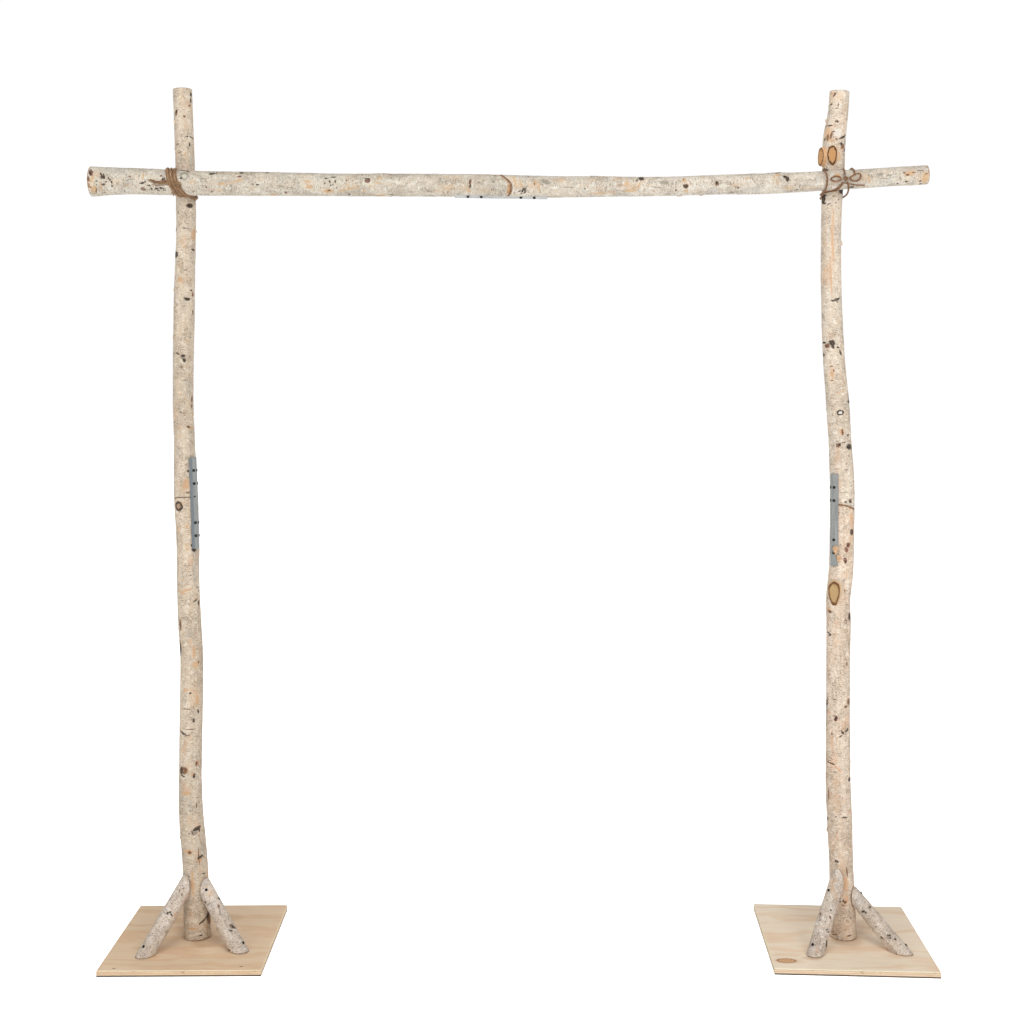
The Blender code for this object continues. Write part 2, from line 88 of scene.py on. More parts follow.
LEFT_POST = [
    (18, -931, 0, 79), (240, -938, 0, 73), (365, -948, 1, 71), (480, -951, 2, 66),
    (720, -947, 4, 67), (840, -946, 5, 66), (950, -952, 6, 67), (1080, -956, 6, 64),
    (1190, -956, 5, 66), (1309, -960, 3, 69), (1480, -964, 2, 61), (1620, -967, 1, 59),
    (1830, -963, -1, 61), (1950, -960, -2, 59), (2070, -956, -1, 56), (2185, -956, 0, 57),
    (2290, -958, 0, 55), (2506, -965, 1, 55)]
RIGHT_POST = [
    (18, 975, 0, 77), (240, 967, 0, 70), (360, 962, -1, 73), (480, 957, -2, 72),
    (720, 955, -4, 69), (840, 955, -4, 69), (950, 956, -3, 71), (1015, 954, -3, 70),
    (1090, 962, -2, 71), (1190, 965, -1, 71), (1283, 966, 0, 71), (1370, 965, 1, 71),
    (1480, 959, 2, 66), (1600, 951, 3, 66), (1715, 941, 4, 63), (1830, 935, 4, 61),
    (1950, 931, 3, 59), (2070, 930, 2, 58), (2185, 932, 1, 60), (2290, 936, 0, 64),
    (2360, 938, 0, 65), (2430, 948, 0, 59), (2499, 953, 0, 57)]
CROSSBAR = [
    (-1210.5, -65, 2228, 86), (-1197, -65, 2228, 84), (-1155, -65, 2229, 79),
    (-1086, -64, 2229, 75), (-994, -64, 2226, 72), (-899, -64, 2223, 70),
    (-756, -64, 2222, 68), (-556, -65, 2219, 65), (-440, -66, 2218, 64),
    (-326, -66, 2218, 65), (-210, -67, 2217, 64), (-95, -66, 2216, 65),
    (-6, -65, 2214, 65), (77, -65, 2213, 62), (135, -64, 2213, 60),
    (250, -63, 2214, 59), (365, -62, 2214, 56), (479, -61, 2216, 55),
    (594, -60, 2220, 56), (709, -59, 2222, 58), (824, -59, 2227, 57),
    (997, -58.5, 2237, 55), (1088, -58, 2243, 54), (1169, -57, 2247, 56),
    (1191, -57, 2249, 55)]
BRACES = {
    "left_post_brace_left": ((-1048, -131, 18), (-938, -7, 215), 50, 44, "L"),
    "left_post_brace_right": ((-789, -99, 18), (-923, -6, 194), 50, 43, "L"),
    "left_post_brace_back": ((-966, 158, 18), (-941, 14, 205), 45, 41, "L"),
    "right_post_brace_left": ((863, -125, 18), (968, -7, 232), 49, 43, "R"),
    "right_post_brace_right": ((1112, -110, 18), (983, -6, 166), 50, 42, "R"),
    "right_post_brace_back": ((1014, 156, 18), (979, 14, 203), 45, 41, "R"),
}


def unit(v):
    v = np.asarray(v, float)
    return v / np.maximum(np.linalg.norm(v, axis=-1, keepdims=True), 1e-12)


class Pole:
    """A round stem: its centre line and radius along s, in metres.

    kind "post": s is the height.  kind "bar": s is x.  kind "brace": s is the
    distance from the foot along a straight axis.  The angle round the stem is
    0 on the side that faces the front."""

    def __init__(self, kind, stations=None, line=None):
        self.kind = kind
        if kind == "brace":
            self.a, self.b, self.ra, self.rb = line
            self.length = float(np.linalg.norm(self.b - self.a))
            self.axis = (self.b - self.a) / self.length
        else:
            rows = np.array(stations, float) * MM
            self.keys, self.cols = rows[:, 0], rows[:, 1:]
            slope = np.empty_like(self.cols)
            k, p = self.keys[:, None], self.cols
            slope[1:-1] = (p[2:] - p[:-2]) / (k[2:] - k[:-2])
            slope[0] = (p[1] - p[0]) / (k[1] - k[0])
            slope[-1] = (p[-1] - p[-2]) / (k[-1] - k[-2])
            self.slope = slope

    def at(self, s):
        """Centres (n, 3) and radii (n,) at the places s."""
        s = np.atleast_1d(np.asarray(s, float))
        if self.kind == "brace":
            t = s / self.length
            return self.a + (self.b - self.a) * t[:, None], self.ra + (self.rb - self.ra) * t
        i = np.clip(np.searchsorted(self.keys, s, side="left") - 1, 0, len(self.keys) - 2)
        span = (self.keys[i + 1] - self.keys[i])[:, None]
        t = np.clip((s - self.keys[i])[:, None] / span, -0.2, 1.2)
        p0, p1, m0, m1 = self.cols[i], self.cols[i + 1], self.slope[i] * span, self.slope[i + 1] * span
        h = ((2 * t ** 3 - 3 * t ** 2 + 1) * p0 + (t ** 3 - 2 * t ** 2 + t) * m0
             + (-2 * t ** 3 + 3 * t ** 2) * p1 + (t ** 3 - t ** 2) * m1)
        if self.kind == "post":
            return np.c_[h[:, 0], h[:, 1], s], h[:, 2] / 2
        return np.c_[s, h[:, 0], h[:, 1]], h[:, 2] / 2

    def axes(self, s):
        """Tangent, front direction and side direction (front to side is +angle)."""
        s = np.atleast_1d(np.asarray(s, float))
        if self.kind == "brace":
            t = np.repeat(self.axis[None], len(s), 0)
        else:
            t = unit(self.at(s + 0.02)[0] - self.at(s - 0.02)[0])
        front = np.repeat(np.array([[0.0, -1.0, 0.0]]), len(s), 0)
        if self.kind == "brace":      # the side of a sloping pole that looks up and outwards
            front = np.repeat(unit(np.array([[0.0, -0.8, 0.6]])), len(s), 0)
        n = unit(front - t * (front * t).sum(1, keepdims=True))
        return t, n, np.cross(t, n)

    def hit(self, u, v):
        """Where the camera's view through a point meets the surface: s, angle, and
        how squarely the surface faces the camera there."""
        d = view_ray(u, v)
        s = 1.2 if self.kind == "post" else 0.0 if self.kind == "bar" else self.length / 2
        for _ in range(8):
            c, r = self.at(s)
            t, n, b = self.axes(s)
            c, r, t, n, b = c[0], r[0], t[0], n[0], b[0]
            o, dd = EYE - c, d
            ox, oy, dx, dy = o @ n, o @ b, dd @ n, dd @ b
            qa, qb, qc = dx * dx + dy * dy, ox * dx + oy * dy, ox * ox + oy * oy - r * r
            disc = max(qb * qb - qa * qc, 0.0)
            k = (-qb - math.sqrt(disc)) / qa
            p = o + dd * k
            s = s + float(p @ t)
        angle = math.atan2(p @ b, p @ n)
        facing = max(0.3, -float(d @ (math.cos(angle) * n + math.sin(angle) * b)))
        return s, angle, facing, float(k)


POST_L = Pole("post", LEFT_POST)
POST_R = Pole("post", RIGHT_POST)
BAR = Pole("bar", CROSSBAR)


def brace_pole(name):
    foot, head, fd, hd, side = BRACES[name]
    return Pole("brace", line=(np.array(foot) * MM, np.array(head) * MM, fd * MM / 2, hd * MM / 2))


BRACE_POLES = {name: brace_pole(name) for name in BRACES}


# ------------------------------------------------------------- solid noise
def lattice(i, seed):
    h = (i[:, 0].astype(np.uint64) * np.uint64(0x8DA6B343)
         ^ i[:, 1].astype(np.uint64) * np.uint64(0xD8163841)
         ^ i[:, 2].astype(np.uint64) * np.uint64(0xCB1AB31F)
         ^ np.uint64((seed * 0x9E3779B1) & 0xFFFFFFFF)) & np.uint64(0xFFFFFFFF)
    h ^= h >> np.uint64(13)
    h = (h * np.uint64(0x5BD1E995)) & np.uint64(0xFFFFFFFF)
    h ^= h >> np.uint64(15)
    h = (h * np.uint64(0x27D4EB2F)) & np.uint64(0xFFFFFFFF)
    h ^= h >> np.uint64(16)
    return h.astype(np.float64) / 4294967295.0


def noise3(p, seed=0):
    """Smooth noise from -1 to 1 at the points p (n, 3)."""
    base = np.floor(p)
    f = p - base
    f = f * f * f * (f * (f * 6 - 15) + 10)
    i = base.astype(np.int64) & 0xFFFFF
    out = 0.0
    for dx in (0, 1):
        for dy in (0, 1):
            for dz in (0, 1):
                w = (np.where(dx, f[:, 0], 1 - f[:, 0]) * np.where(dy, f[:, 1], 1 - f[:, 1])
                     * np.where(dz, f[:, 2], 1 - f[:, 2]))
                out = out + w * lattice(i + np.array((dx, dy, dz)), seed)
    return out * 2 - 1


def fbm(p, seed=0, octaves=3, gain=0.5):
    total, amp, scale = 0.0, 1.0, 1.0
    norm = 0.0
    for k in range(octaves):
        total = total + amp * noise3(p * scale + 17.3 * k, seed + k)
        norm += amp
        amp *= gain
        scale *= 2.03
    return total / norm


def smoothstep(a, b, x):
    t = np.clip((x - a) / (b - a), 0.0, 1.0)
    return t * t * (3 - 2 * t)


# ------------------------------------------------------------ mesh helpers
COLLECTION = bpy.data.collections.new("looks")
bpy.context.scene.collection.children.link(COLLECTION)


def build_mesh(name, verts, faces, mats, face_mats=None, uv=None, bark=None, smooth=True, sharp=None, corners=None, points=None):
    """faces is a list of arrays, each (n, 3) or (n, 4)."""
    mesh = bpy.data.meshes.new(name)
    verts = np.asarray(verts, np.float32)
    mesh.vertices.add(len(verts))
    mesh.vertices.foreach_set("co", verts.ravel())
    faces = [np.asarray(f, np.int32) for f in faces if len(f)]
    loops = np.concatenate([f.ravel() for f in faces])
    sizes = np.concatenate([np.full(len(f), f.shape[1], np.int32) for f in faces])
    starts = np.concatenate([[0], np.cumsum(sizes)[:-1]]).astype(np.int32)
    mesh.loops.add(len(loops))
    mesh.loops.foreach_set("vertex_index", loops)
    mesh.polygons.add(len(sizes))
    mesh.polygons.foreach_set("loop_start", starts)
    mesh.polygons.foreach_set("loop_total", sizes)
    if face_mats is not None:
        mesh.polygons.foreach_set("material_index", np.concatenate(
            [np.full(len(f), m, np.int32) for f, m in zip(faces, face_mats)]))
    mesh.update(calc_edges=True)
    if uv is not None:
        layer = mesh.uv_layers.new(name="UVMap")
        layer.data.foreach_set("uv", np.asarray(uv, np.float32).ravel())
    if bark is not None:
        attr = mesh.attributes.new("bark", "FLOAT_VECTOR", "POINT")
        attr.data.foreach_set("vector", np.asarray(bark, np.float32).ravel())
    for key, values in (corners or {}).items():
        attr = mesh.attributes.new(key, "FLOAT_VECTOR", "CORNER")
        attr.data.foreach_set("vector", values.ravel())
    for key, values in (points or {}).items():
        attr = mesh.attributes.new(key, "FLOAT_VECTOR", "POINT")
        attr.data.foreach_set("vector", np.asarray(values, np.float32).ravel())
    mesh.validate(verbose=False)
    if smooth:
        mesh.shade_smooth()
        if sharp:
            mesh.set_sharp_from_angle(angle=math.radians(sharp))
    for m in mats:
        mesh.materials.append(m)
    obj = bpy.data.objects.new(name, mesh)
    COLLECTION.objects.link(obj)
    return obj


class Parts:
    """Gathers many small closed meshes into one piece."""

    def __init__(self):
        self.verts, self.quads, self.tris, self.bark = [], [], [], []
        self.qm, self.tm = [], []
        self.count = 0

    def add(self, verts, quads=(), tris=(), mat=0, bark=None):
        verts = np.asarray(verts, float)
        self.verts.append(verts)
        self.bark.append(np.asarray(bark, float) if bark is not None else verts)
        if len(quads):
            self.quads.append(np.asarray(quads) + self.count)
            self.qm.append(mat)
        if len(tris):
            self.tris.append(np.asarray(tris) + self.count)
            self.tm.append(mat)
        self.count += len(verts)

    def make(self, name, mats, smooth=True, sharp=None):
        return build_mesh(name, np.concatenate(self.verts), self.quads + self.tris, mats,
                          self.qm + self.tm, bark=np.concatenate(self.bark), smooth=smooth, sharp=sharp)


def grid_quads(rows, cols, wrap=True, start=0):
    """Quads between rows of `cols` points."""
    i, j = np.meshgrid(np.arange(rows - 1), np.arange(cols if wrap else cols - 1), indexing="ij")
    i, j = i.ravel(), j.ravel()
    jn = (j + 1) % cols if wrap else j + 1
    return np.c_[i * cols + j, i * cols + jn, (i + 1) * cols + jn, (i + 1) * cols + j] + start


def sweep(points, radius, sides, closed=False, squash=None):
    """A closed tube along points (n, 3); radius is a number or one per point."""
    p = np.asarray(points, float)
    n = len(p)
    if closed:
        t = unit(np.roll(p, -1, 0) - np.roll(p, 1, 0))
    else:
        t = unit(np.gradient(p, axis=0))
    ref = np.array((0.0, 0.0, 1.0)) if abs(t[0, 2]) < 0.9 else np.array((1.0, 0.0, 0.0))
    u = unit(ref - t[0] * (ref @ t[0]))
    us = [u]
    for k in range(1, n):
        u = u - t[k] * (u @ t[k])
        u = u / np.linalg.norm(u)
        us.append(u)
    us = np.array(us)
    if closed:       # spread the leftover turn along the loop
        last = us[-1] - t[0] * (us[-1] @ t[0])
        last /= np.linalg.norm(last)
        turn = math.atan2(np.cross(us[0], last) @ t[0], us[0] @ last)
        ang = -turn * np.arange(n) / n
        vs = np.cross(t, us)
        us = us * np.cos(ang)[:, None] + vs * np.sin(ang)[:, None]
    vs = np.cross(t, us)
    r = np.broadcast_to(np.asarray(radius, float), (n,))
    a = np.arange(sides) / sides * 2 * math.pi
    ring = (us[:, None, :] * np.cos(a)[None, :, None] + vs[:, None, :] * np.sin(a)[None, :, None])
    verts = p[:, None, :] + ring * r[:, None, None]
    verts = verts.reshape(-1, 3)
    quads = grid_quads(n, sides)
    tris = np.zeros((0, 3), int)
    if closed:
        j = np.arange(sides)
        jn = (j + 1) % sides
        quads = np.r_[quads, np.c_[(n - 1) * sides + j, (n - 1) * sides + jn, jn, j]]
    else:
        j = np.arange(sides)
        jn = (j + 1) % sides
        verts = np.r_[verts, p[:1] - t[:1] * r[0] * 0.5, p[-1:] + t[-1:] * r[-1] * 0.5]
        c0, c1 = n * sides, n * sides + 1
        tris = np.r_[np.c_[jn, j, np.full(sides, c0)],
                     np.c_[(n - 1) * sides + j, (n - 1) * sides + jn, np.full(sides, c1)]]
    return verts, quads, tris, t, us


# -------------------------------------------------------------- materials
def srgb(r, g, b):
    def lin(c):
        c = c / 255
        return c / 12.92 if c <= 0.04045 else ((c + 0.055) / 1.055) ** 2.4
    return (lin(r), lin(g), lin(b), 1.0)


class Look:
    """A node material, written tersely."""

    def __init__(self, name):
        self.mat = bpy.data.materials.new(name)
        self.mat.use_nodes = True
        self.nt = self.mat.node_tree
        self.nt.nodes.clear()
        self.out = self.nt.nodes.new("ShaderNodeOutputMaterial")
        self.bsdf = self.nt.nodes.new("ShaderNodeBsdfPrincipled")
        self.nt.links.new(self.bsdf.outputs[0], self.out.inputs[0])

    def put(self, socket, value):
        if isinstance(value, bpy.types.NodeSocket):
            self.nt.links.new(value, socket)
        elif value is not None:
            try:
                socket.default_value = value
            except (TypeError, ValueError):
                socket.default_value = (value,) * len(socket.default_value)

    def node(self, kind, **props):
        n = self.nt.nodes.new(kind)
        for k, v in props.items():
            setattr(n, k, v)
        return n

    def attr(self, name):
        n = self.node("ShaderNodeAttribute", attribute_name=name)
        return n.outputs["Vector"]

    def uv(self):
        return self.node("ShaderNodeUVMap", uv_map="UVMap").outputs[0]

    def obj(self):
        return self.node("ShaderNodeTexCoord").outputs["Object"]

    def math(self, op, a, b=None, c=None, clamp=False):
        n = self.node("ShaderNodeMath", operation=op, use_clamp=clamp)
        for s, v in zip(n.inputs, (a, b, c)):
            self.put(s, v)
        return n.outputs[0]

    def vmath(self, op, a, b=None, scale=None):
        n = self.node("ShaderNodeVectorMath", operation=op)
        self.put(n.inputs[0], a)
        if b is not None:
            self.put(n.inputs[1], b)
        if scale is not None:
            self.put(n.inputs["Scale"], scale)
        return n.outputs["Value"] if op in ("LENGTH", "DOT_PRODUCT", "DISTANCE") else n.outputs[0]

    def scaled(self, vec, s, offset=None):
        out = self.vmath("MULTIPLY", vec, s)
        return self.vmath("ADD", out, offset) if offset is not None else out

    def noise(self, vec, scale, detail=2.0, rough=0.5, distortion=0.0, colour=False):
        n = self.node("ShaderNodeTexNoise")
        self.put(n.inputs["Vector"], vec)
        n.inputs["Scale"].default_value = scale
        n.inputs["Detail"].default_value = detail
        n.inputs["Roughness"].default_value = rough
        n.inputs["Distortion"].default_value = distortion
        return n.outputs["Color"] if colour else n.outputs[0]

    def voronoi(self, vec, scale, feature="F1", output="Distance", randomness=1.0):
        n = self.node("ShaderNodeTexVoronoi", feature=feature)
        self.put(n.inputs["Vector"], vec)
        n.inputs["Scale"].default_value = scale
        n.inputs["Randomness"].default_value = randomness
        return n.outputs[output]

    def wave(self, vec, scale, distortion=0.0, detail=0.0, detail_scale=1.0, kind="BANDS", direction="X"):
        n = self.node("ShaderNodeTexWave", wave_type=kind)
        if kind == "BANDS":
            n.bands_direction = direction
        else:
            n.rings_direction = direction
        self.put(n.inputs["Vector"], vec)
        n.inputs["Scale"].default_value = scale
        n.inputs["Distortion"].default_value = distortion
        n.inputs["Detail"].default_value = detail
        n.inputs["Detail Scale"].default_value = detail_scale
        return n.outputs["Fac"]

    def span(self, value, a, b, c=0.0, d=1.0, smooth=True):
        n = self.node("ShaderNodeMapRange", interpolation_type="SMOOTHSTEP" if smooth else "LINEAR")
        for s, v in zip(n.inputs, (value, a, b, c, d)):
            self.put(s, v)
        return n.outputs[0]

    def mix(self, fac, a, b, blend="MIX"):
        n = self.node("ShaderNodeMix", data_type="RGBA", blend_type=blend)
        self.put(n.inputs[0], fac)
        self.put(n.inputs[6], a)
        self.put(n.inputs[7], b)
        return n.outputs[2]

    def ramp(self, fac, stops):
        n = self.node("ShaderNodeValToRGB")
        e = n.color_ramp.elements
        while len(e) < len(stops):
            e.new(0.5)
        for k, (pos, col) in enumerate(stops):
            e[k].position = pos
            e[k].color = col
        self.put(n.inputs[0], fac)
        return n.outputs[0]

    def kinds(self, code, rows):
        """The colour that belongs to a mark's code."""
        n = self.node("ShaderNodeValToRGB")
        n.color_ramp.interpolation = "CONSTANT"
        e = n.color_ramp.elements
        while len(e) < len(rows):
            e.new(0.5)
        for i, (position, colour) in enumerate(sorted(rows.values())):
            e[i].position = max(0.0, position - 0.03)
            e[i].color = colour
        self.put(n.inputs[0], code)
        return n.outputs[0]

    def bump(self, height, distance, strength=1.0, normal=None):
        n = self.node("ShaderNodeBump")
        n.inputs["Strength"].default_value = strength
        n.inputs["Distance"].default_value = distance
        self.put(n.inputs["Height"], height)
        if normal is not None:
            self.put(n.inputs["Normal"], normal)
        return n.outputs[0]

    def parts(self, vec):
        n = self.node("ShaderNodeSeparateXYZ")
        self.put(n.inputs[0], vec)
        return n.outputs

    def join(self, x, y, z):
        n = self.node("ShaderNodeCombineXYZ")
        for s, v in zip(n.inputs, (x, y, z)):
            self.put(s, v)
        return n.outputs[0]

    def finish(self, colour, rough=0.6, normal=None, metallic=0.0, specular=0.5):
        self.put(self.bsdf.inputs["Base Color"], colour)
        self.put(self.bsdf.inputs["Roughness"], rough)
        self.put(self.bsdf.inputs["Metallic"], metallic)
        self.bsdf.inputs["Specular IOR Level"].default_value = specular
        if normal is not None:
            self.put(self.bsdf.inputs["Normal"], normal)
        return self.mat


# Marks on the bark.  Each row is a kind, a place in the camera's 1024 x 1024
# frame, half width and half height in the same pixels, a turn in degrees
# (anticlockwise) and, where the bark stands out or sinks there, how far (mm).
#   K black     F black flecks    B brown       R red-brown
#   O orange    T soft tan        f tan flecks  G grey
#   W white     E dark ring round a brown eye   C dark ring, light inside
MARKS = {
    "left_post_upper": [
        ("K", 191.0, 94.5, 0.8, 2.2, 0), ("K", 190.8, 100.5, 0.7, 2.4, 0), ("B", 189.6, 105.5, 1.6, 0.8, 30),
        ("R", 176.3, 113.0, 1.1, 3.4, -12, 0.4), ("K", 176.0, 111.5, 0.7, 1.6, -12), ("B", 184.2, 116.4, 1.5, 1.2, 0),
        ("T", 178.6, 97.5, 2.6, 1.2, 30), ("f", 184.0, 103.0, 6.0, 9.0, 0),
        ("K", 187.0, 136.4, 1.7, 0.6, 8), ("K", 190.6, 137.2, 1.3, 0.6, -10), ("K", 192.6, 138.4, 0.9, 0.6, 0),
        ("K", 189.4, 144.6, 0.6, 2.2, 5), ("G", 188.0, 148.0, 1.0, 1.6, 0), ("B", 177.6, 144.2, 2.0, 0.6, 0),
        ("B", 180.0, 152.0, 2.4, 0.6, 8), ("T", 186.2, 157.0, 3.0, 5.0, 0), ("O", 184.5, 154.8, 1.6, 1.5, 0),
        ("T", 185.8, 127.0, 3.0, 6.0, 0), ("T", 184.5, 166.0, 4.0, 3.0, 0),
        ("K", 189.8, 205.6, 3.0, 2.5, 0, 1.0), ("B", 189.8, 205.8, 4.1, 1.2, 0), ("G", 189.6, 205.9, 1.5, 1.1, 0),
        ("G", 187.6, 217.5, 2.6, 0.6, 30), ("G", 186.0, 215.0, 0.7, 2.6, 20), ("f", 186.0, 217.0, 5.0, 6.0, 0),
        ("G", 186.3, 228.5, 5.0, 0.8, -4, 0.5), ("B", 184.2, 227.9, 1.6, 0.6, 0),
        ("K", 176.2, 229.8, 1.2, 2.0, 0, 1.4), ("K", 176.3, 254.4, 1.4, 3.2, 0, 2.0), ("K", 193.0, 249.8, 1.6, 1.1, 0, 1.2),
        ("G", 178.4, 212.4, 0.9, 2.0, 0, 0.8), ("f", 182.5, 240.0, 5.0, 8.0, 0), ("T", 183.0, 241.0, 5.0, 7.0, 0),
        ("O", 184.5, 247.5, 2.0, 1.2, 0), ("T", 181.0, 281.0, 4.0, 6.0, 0), ("O", 180.2, 279.5, 2.4, 2.6, 0),
        ("K", 191.4, 290.6, 1.1, 0.8, 0), ("R", 192.6, 294.2, 0.9, 2.2, 0),
        ("K", 186.9, 298.6, 3.3, 1.0, 0, 0.8), ("K", 187.2, 299.6, 2.2, 1.3, 0), ("G", 187.0, 300.2, 1.4, 0.6, 0),
        ("G", 177.0, 304.6, 1.6, 0.7, 40), ("T", 176.9, 306.2, 1.5, 1.6, 0), ("f", 182.6, 313.0, 5.0, 5.0, 0),
        ("R", 192.9, 312.0, 0.7, 2.4, 0), ("O", 187.2, 340.6, 2.6, 0.8, -4),
        ("K", 177.8, 353.6, 2.0, 0.7, -28), ("T", 178.5, 352.6, 2.6, 1.3, 20), ("G", 183.4, 357.4, 2.4, 2.4, 0, 0.9),
        ("K", 183.0, 355.6, 2.2, 1.0, -10), ("K", 184.4, 360.2, 1.4, 2.0, 0), ("K", 182.4, 358.0, 0.8, 1.0, 0),
        ("G", 180.4, 366.6, 1.8, 0.6, 25), ("B", 181.8, 367.4, 0.7, 0.9, 0),
        ("T", 177.4, 385.0, 1.8, 8.0, 0), ("O", 180.4, 394.6, 1.0, 2.0, 0), ("O", 185.0, 398.8, 1.4, 0.6, 10),
        ("B", 192.0, 399.0, 0.9, 3.2, 0), ("R", 191.7, 406.0, 0.7, 1.8, 0), ("K", 180.5, 412.2, 1.0, 0.6, 0),
        ("f", 183.0, 417.0, 8.0, 8.0, 0), ("B", 188.2, 426.9, 2.0, 1.3, -20, 0.8), ("O", 191.8, 427.4, 2.4, 1.3, 0),
        ("T", 181.0, 427.0, 4.0, 4.5, 0), ("f", 180.0, 425.0, 5.0, 6.0, 0), ("T", 178.0, 436.0, 3.0, 3.0, 0),
        ("K", 188.4, 471.2, 0.9, 1.3, 0), ("O", 186.2, 484.0, 2.8, 5.5, 0), ("T", 185.0, 486.0, 4.5, 9.0, 0),
        ("f", 185.0, 480.0, 6.0, 14.0, 0), ("B", 187.2, 492.6, 1.6, 1.1, 0),
    ],
    "left_post_lower": [
        ("E", 178.6, 506.2, 3.1, 4.3, -8, 1.6), ("T", 181.5, 503.0, 6.0, 2.5, -12),
        ("f", 185.0, 523.0, 5.0, 6.0, 0), ("T", 187.0, 525.4, 3.0, 2.0, 0), ("O", 186.8, 527.0, 1.2, 1.6, 0),
        ("K", 194.0, 549.2, 2.0, 2.6, 0, 1.0), ("O", 194.2, 548.8, 1.0, 1.2, 0), ("K", 191.6, 545.5, 0.8, 1.3, 20),
        ("T", 187.2, 546.8, 3.2, 4.6, 0), ("O", 187.0, 544.0, 2.4, 0.7, 15), ("O", 187.4, 549.4, 2.2, 0.7, -10),
        ("K", 190.8, 575.4, 1.0, 0.5, 10), ("O", 182.0, 580.0, 2.4, 0.6, 0), ("O", 188.0, 590.0, 5.0, 1.1, 12),
        ("O", 181.6, 592.2, 3.4, 1.1, -20), ("T", 183.0, 590.0, 6.0, 5.0, 0), ("B", 197.6, 587.2, 1.3, 0.8, 0),
        ("K", 195.6, 600.4, 2.6, 0.7, 26), ("K", 198.6, 602.6, 0.7, 2.4, -12), ("T", 192.0, 607.0, 1.8, 5.5, 0),
        ("F", 193.0, 620.0, 6.0, 7.0, 0), ("B", 180.3, 625.0, 1.1, 6.0, 0), ("T", 183.0, 630.0, 4.0, 2.0, 0),
        # painted shade: the long thin black mark at 180.3, 648.0 darkens the post's left edge
        ("K", 180.3, 648.0, 0.7, 7.0, 0), ("F", 189.4, 646.6, 3.4, 2.2, 0), ("O", 194.0, 652.0, 1.6, 7.0, -6),
        ("O", 195.6, 664.9, 3.6, 2.6, 10), ("T", 195.0, 664.0, 4.6, 4.0, 0), ("B", 198.6, 662.0, 0.7, 1.6, 0),
        ("T", 187.0, 671.5, 4.0, 0.8, 0), ("K", 190.2, 693.2, 1.2, 0.9, 0), ("O", 185.6, 690.2, 2.4, 1.8, 0),
        ("O", 197.4, 700.4, 1.8, 6.0, 0), ("T", 197.0, 698.0, 2.6, 8.0, 0), ("B", 186.0, 709.0, 4.0, 0.5, 0),
        ("K", 198.3, 711.4, 0.8, 2.2, 10), ("K", 193.9, 720.6, 1.2, 2.0, 0), ("G", 193.4, 719.0, 1.4, 1.2, 0),
        ("B", 190.0, 729.6, 5.5, 0.5, 3), ("K", 182.6, 732.9, 2.6, 0.9, -20, 0.9), ("K", 185.6, 734.9, 1.6, 0.6, -24),
        ("T", 189.4, 738.4, 2.4, 3.6, 0), ("B", 188.8, 735.4, 2.4, 0.6, 12), ("T", 186.0, 744.0, 3.0, 3.0, 0),
        ("B", 183.8, 770.6, 3.2, 3.9, 0, 1.4), ("O", 185.6, 770.8, 3.0, 2.8, 0), ("K", 181.4, 770.6, 1.1, 3.6, -8),
        ("K", 183.0, 775.8, 2.0, 0.8, -20), ("T", 186.6, 766.0, 5.0, 4.0, 0),
        ("R", 196.4, 763.8, 1.0, 2.5, -10), ("O", 198.0, 762.6, 2.0, 2.6, 0), ("K", 194.1, 776.0, 1.2, 2.4, -15),
        ("O", 192.6, 774.0, 1.3, 2.2, 0), ("f", 185.0, 786.0, 5.0, 7.0, 0), ("O", 186.0, 793.4, 4.2, 1.8, 10),
        ("T", 186.0, 790.0, 6.0, 7.0, 0), ("G", 189.4, 805.4, 1.8, 0.5, 0), ("B", 196.6, 806.0, 0.5, 3.0, 0),
        ("K", 196.8, 828.4, 3.6, 1.6, 14, 1.2), ("K", 199.2, 830.0, 0.9, 1.8, 0), ("G", 194.4, 832.6, 2.8, 2.8, 20),
        ("B", 192.4, 833.0, 0.6, 2.4, 25), ("G", 189.4, 834.0, 1.2, 1.0, 0),
        ("B", 189.7, 852.6, 1.6, 1.5, 0, 0.6), ("O", 188.0, 851.5, 4.0, 2.0, 0), ("T", 190.0, 853.0, 7.0, 4.0, 0),
        ("K", 200.4, 856.8, 2.6, 1.1, 22), ("B", 198.8, 856.5, 0.5, 8.0, 0), ("O", 199.6, 860.0, 2.6, 2.0, 0),
        ("F", 199.0, 858.0, 4.0, 5.0, 0), ("K", 203.9, 873.4, 1.3, 0.7, 0),
        ("K", 208.2, 914.4, 0.8, 3.6, -24, -0.9), ("K", 204.6, 919.4, 3.0, 0.8, 38, -1.0), ("K", 201.0, 922.6, 1.9, 0.7, 34, -0.8),
        ("B", 208.0, 902.6, 2.2, 2.0, 0), ("K", 207.2, 904.6, 1.6, 1.0, 20), ("B", 209.6, 916.0, 1.6, 8.0, 0),
        ("T", 207.0, 924.0, 4.0, 6.0, 0), ("K", 200.6, 935.4, 1.3, 0.7, 10), ("T", 194.0, 890.0, 2.6, 16.0, 0),
        ("O", 192.4, 882.0, 1.2, 12.0, 0), ("T", 193.0, 927.0, 7.0, 2.6, 5), ("O", 192.0, 929.0, 4.0, 1.2, 5),
        ("T", 190.0, 915.0, 3.0, 5.0, 0), ("f", 196.0, 912.0, 8.0, 12.0, 0),
    ],
    "right_post_upper": [
        ("F", 843.0, 141.0, 4.6, 4.0, -20), ("K", 846.2, 143.0, 1.2, 3.6, 12), ("K", 841.6, 137.6, 2.6, 0.8, 35),
        ("B", 831.4, 135.0, 1.0, 4.0, -10), ("K", 832.4, 131.2, 2.4, 0.8, -12), ("F", 832.0, 129.0, 3.0, 2.0, 0),
        ("B", 834.4, 94.6, 1.0, 3.0, -38, -1.2), ("K", 834.4, 95.0, 0.6, 2.0, -38), ("O", 832.6, 93.6, 2.4, 1.4, 0),
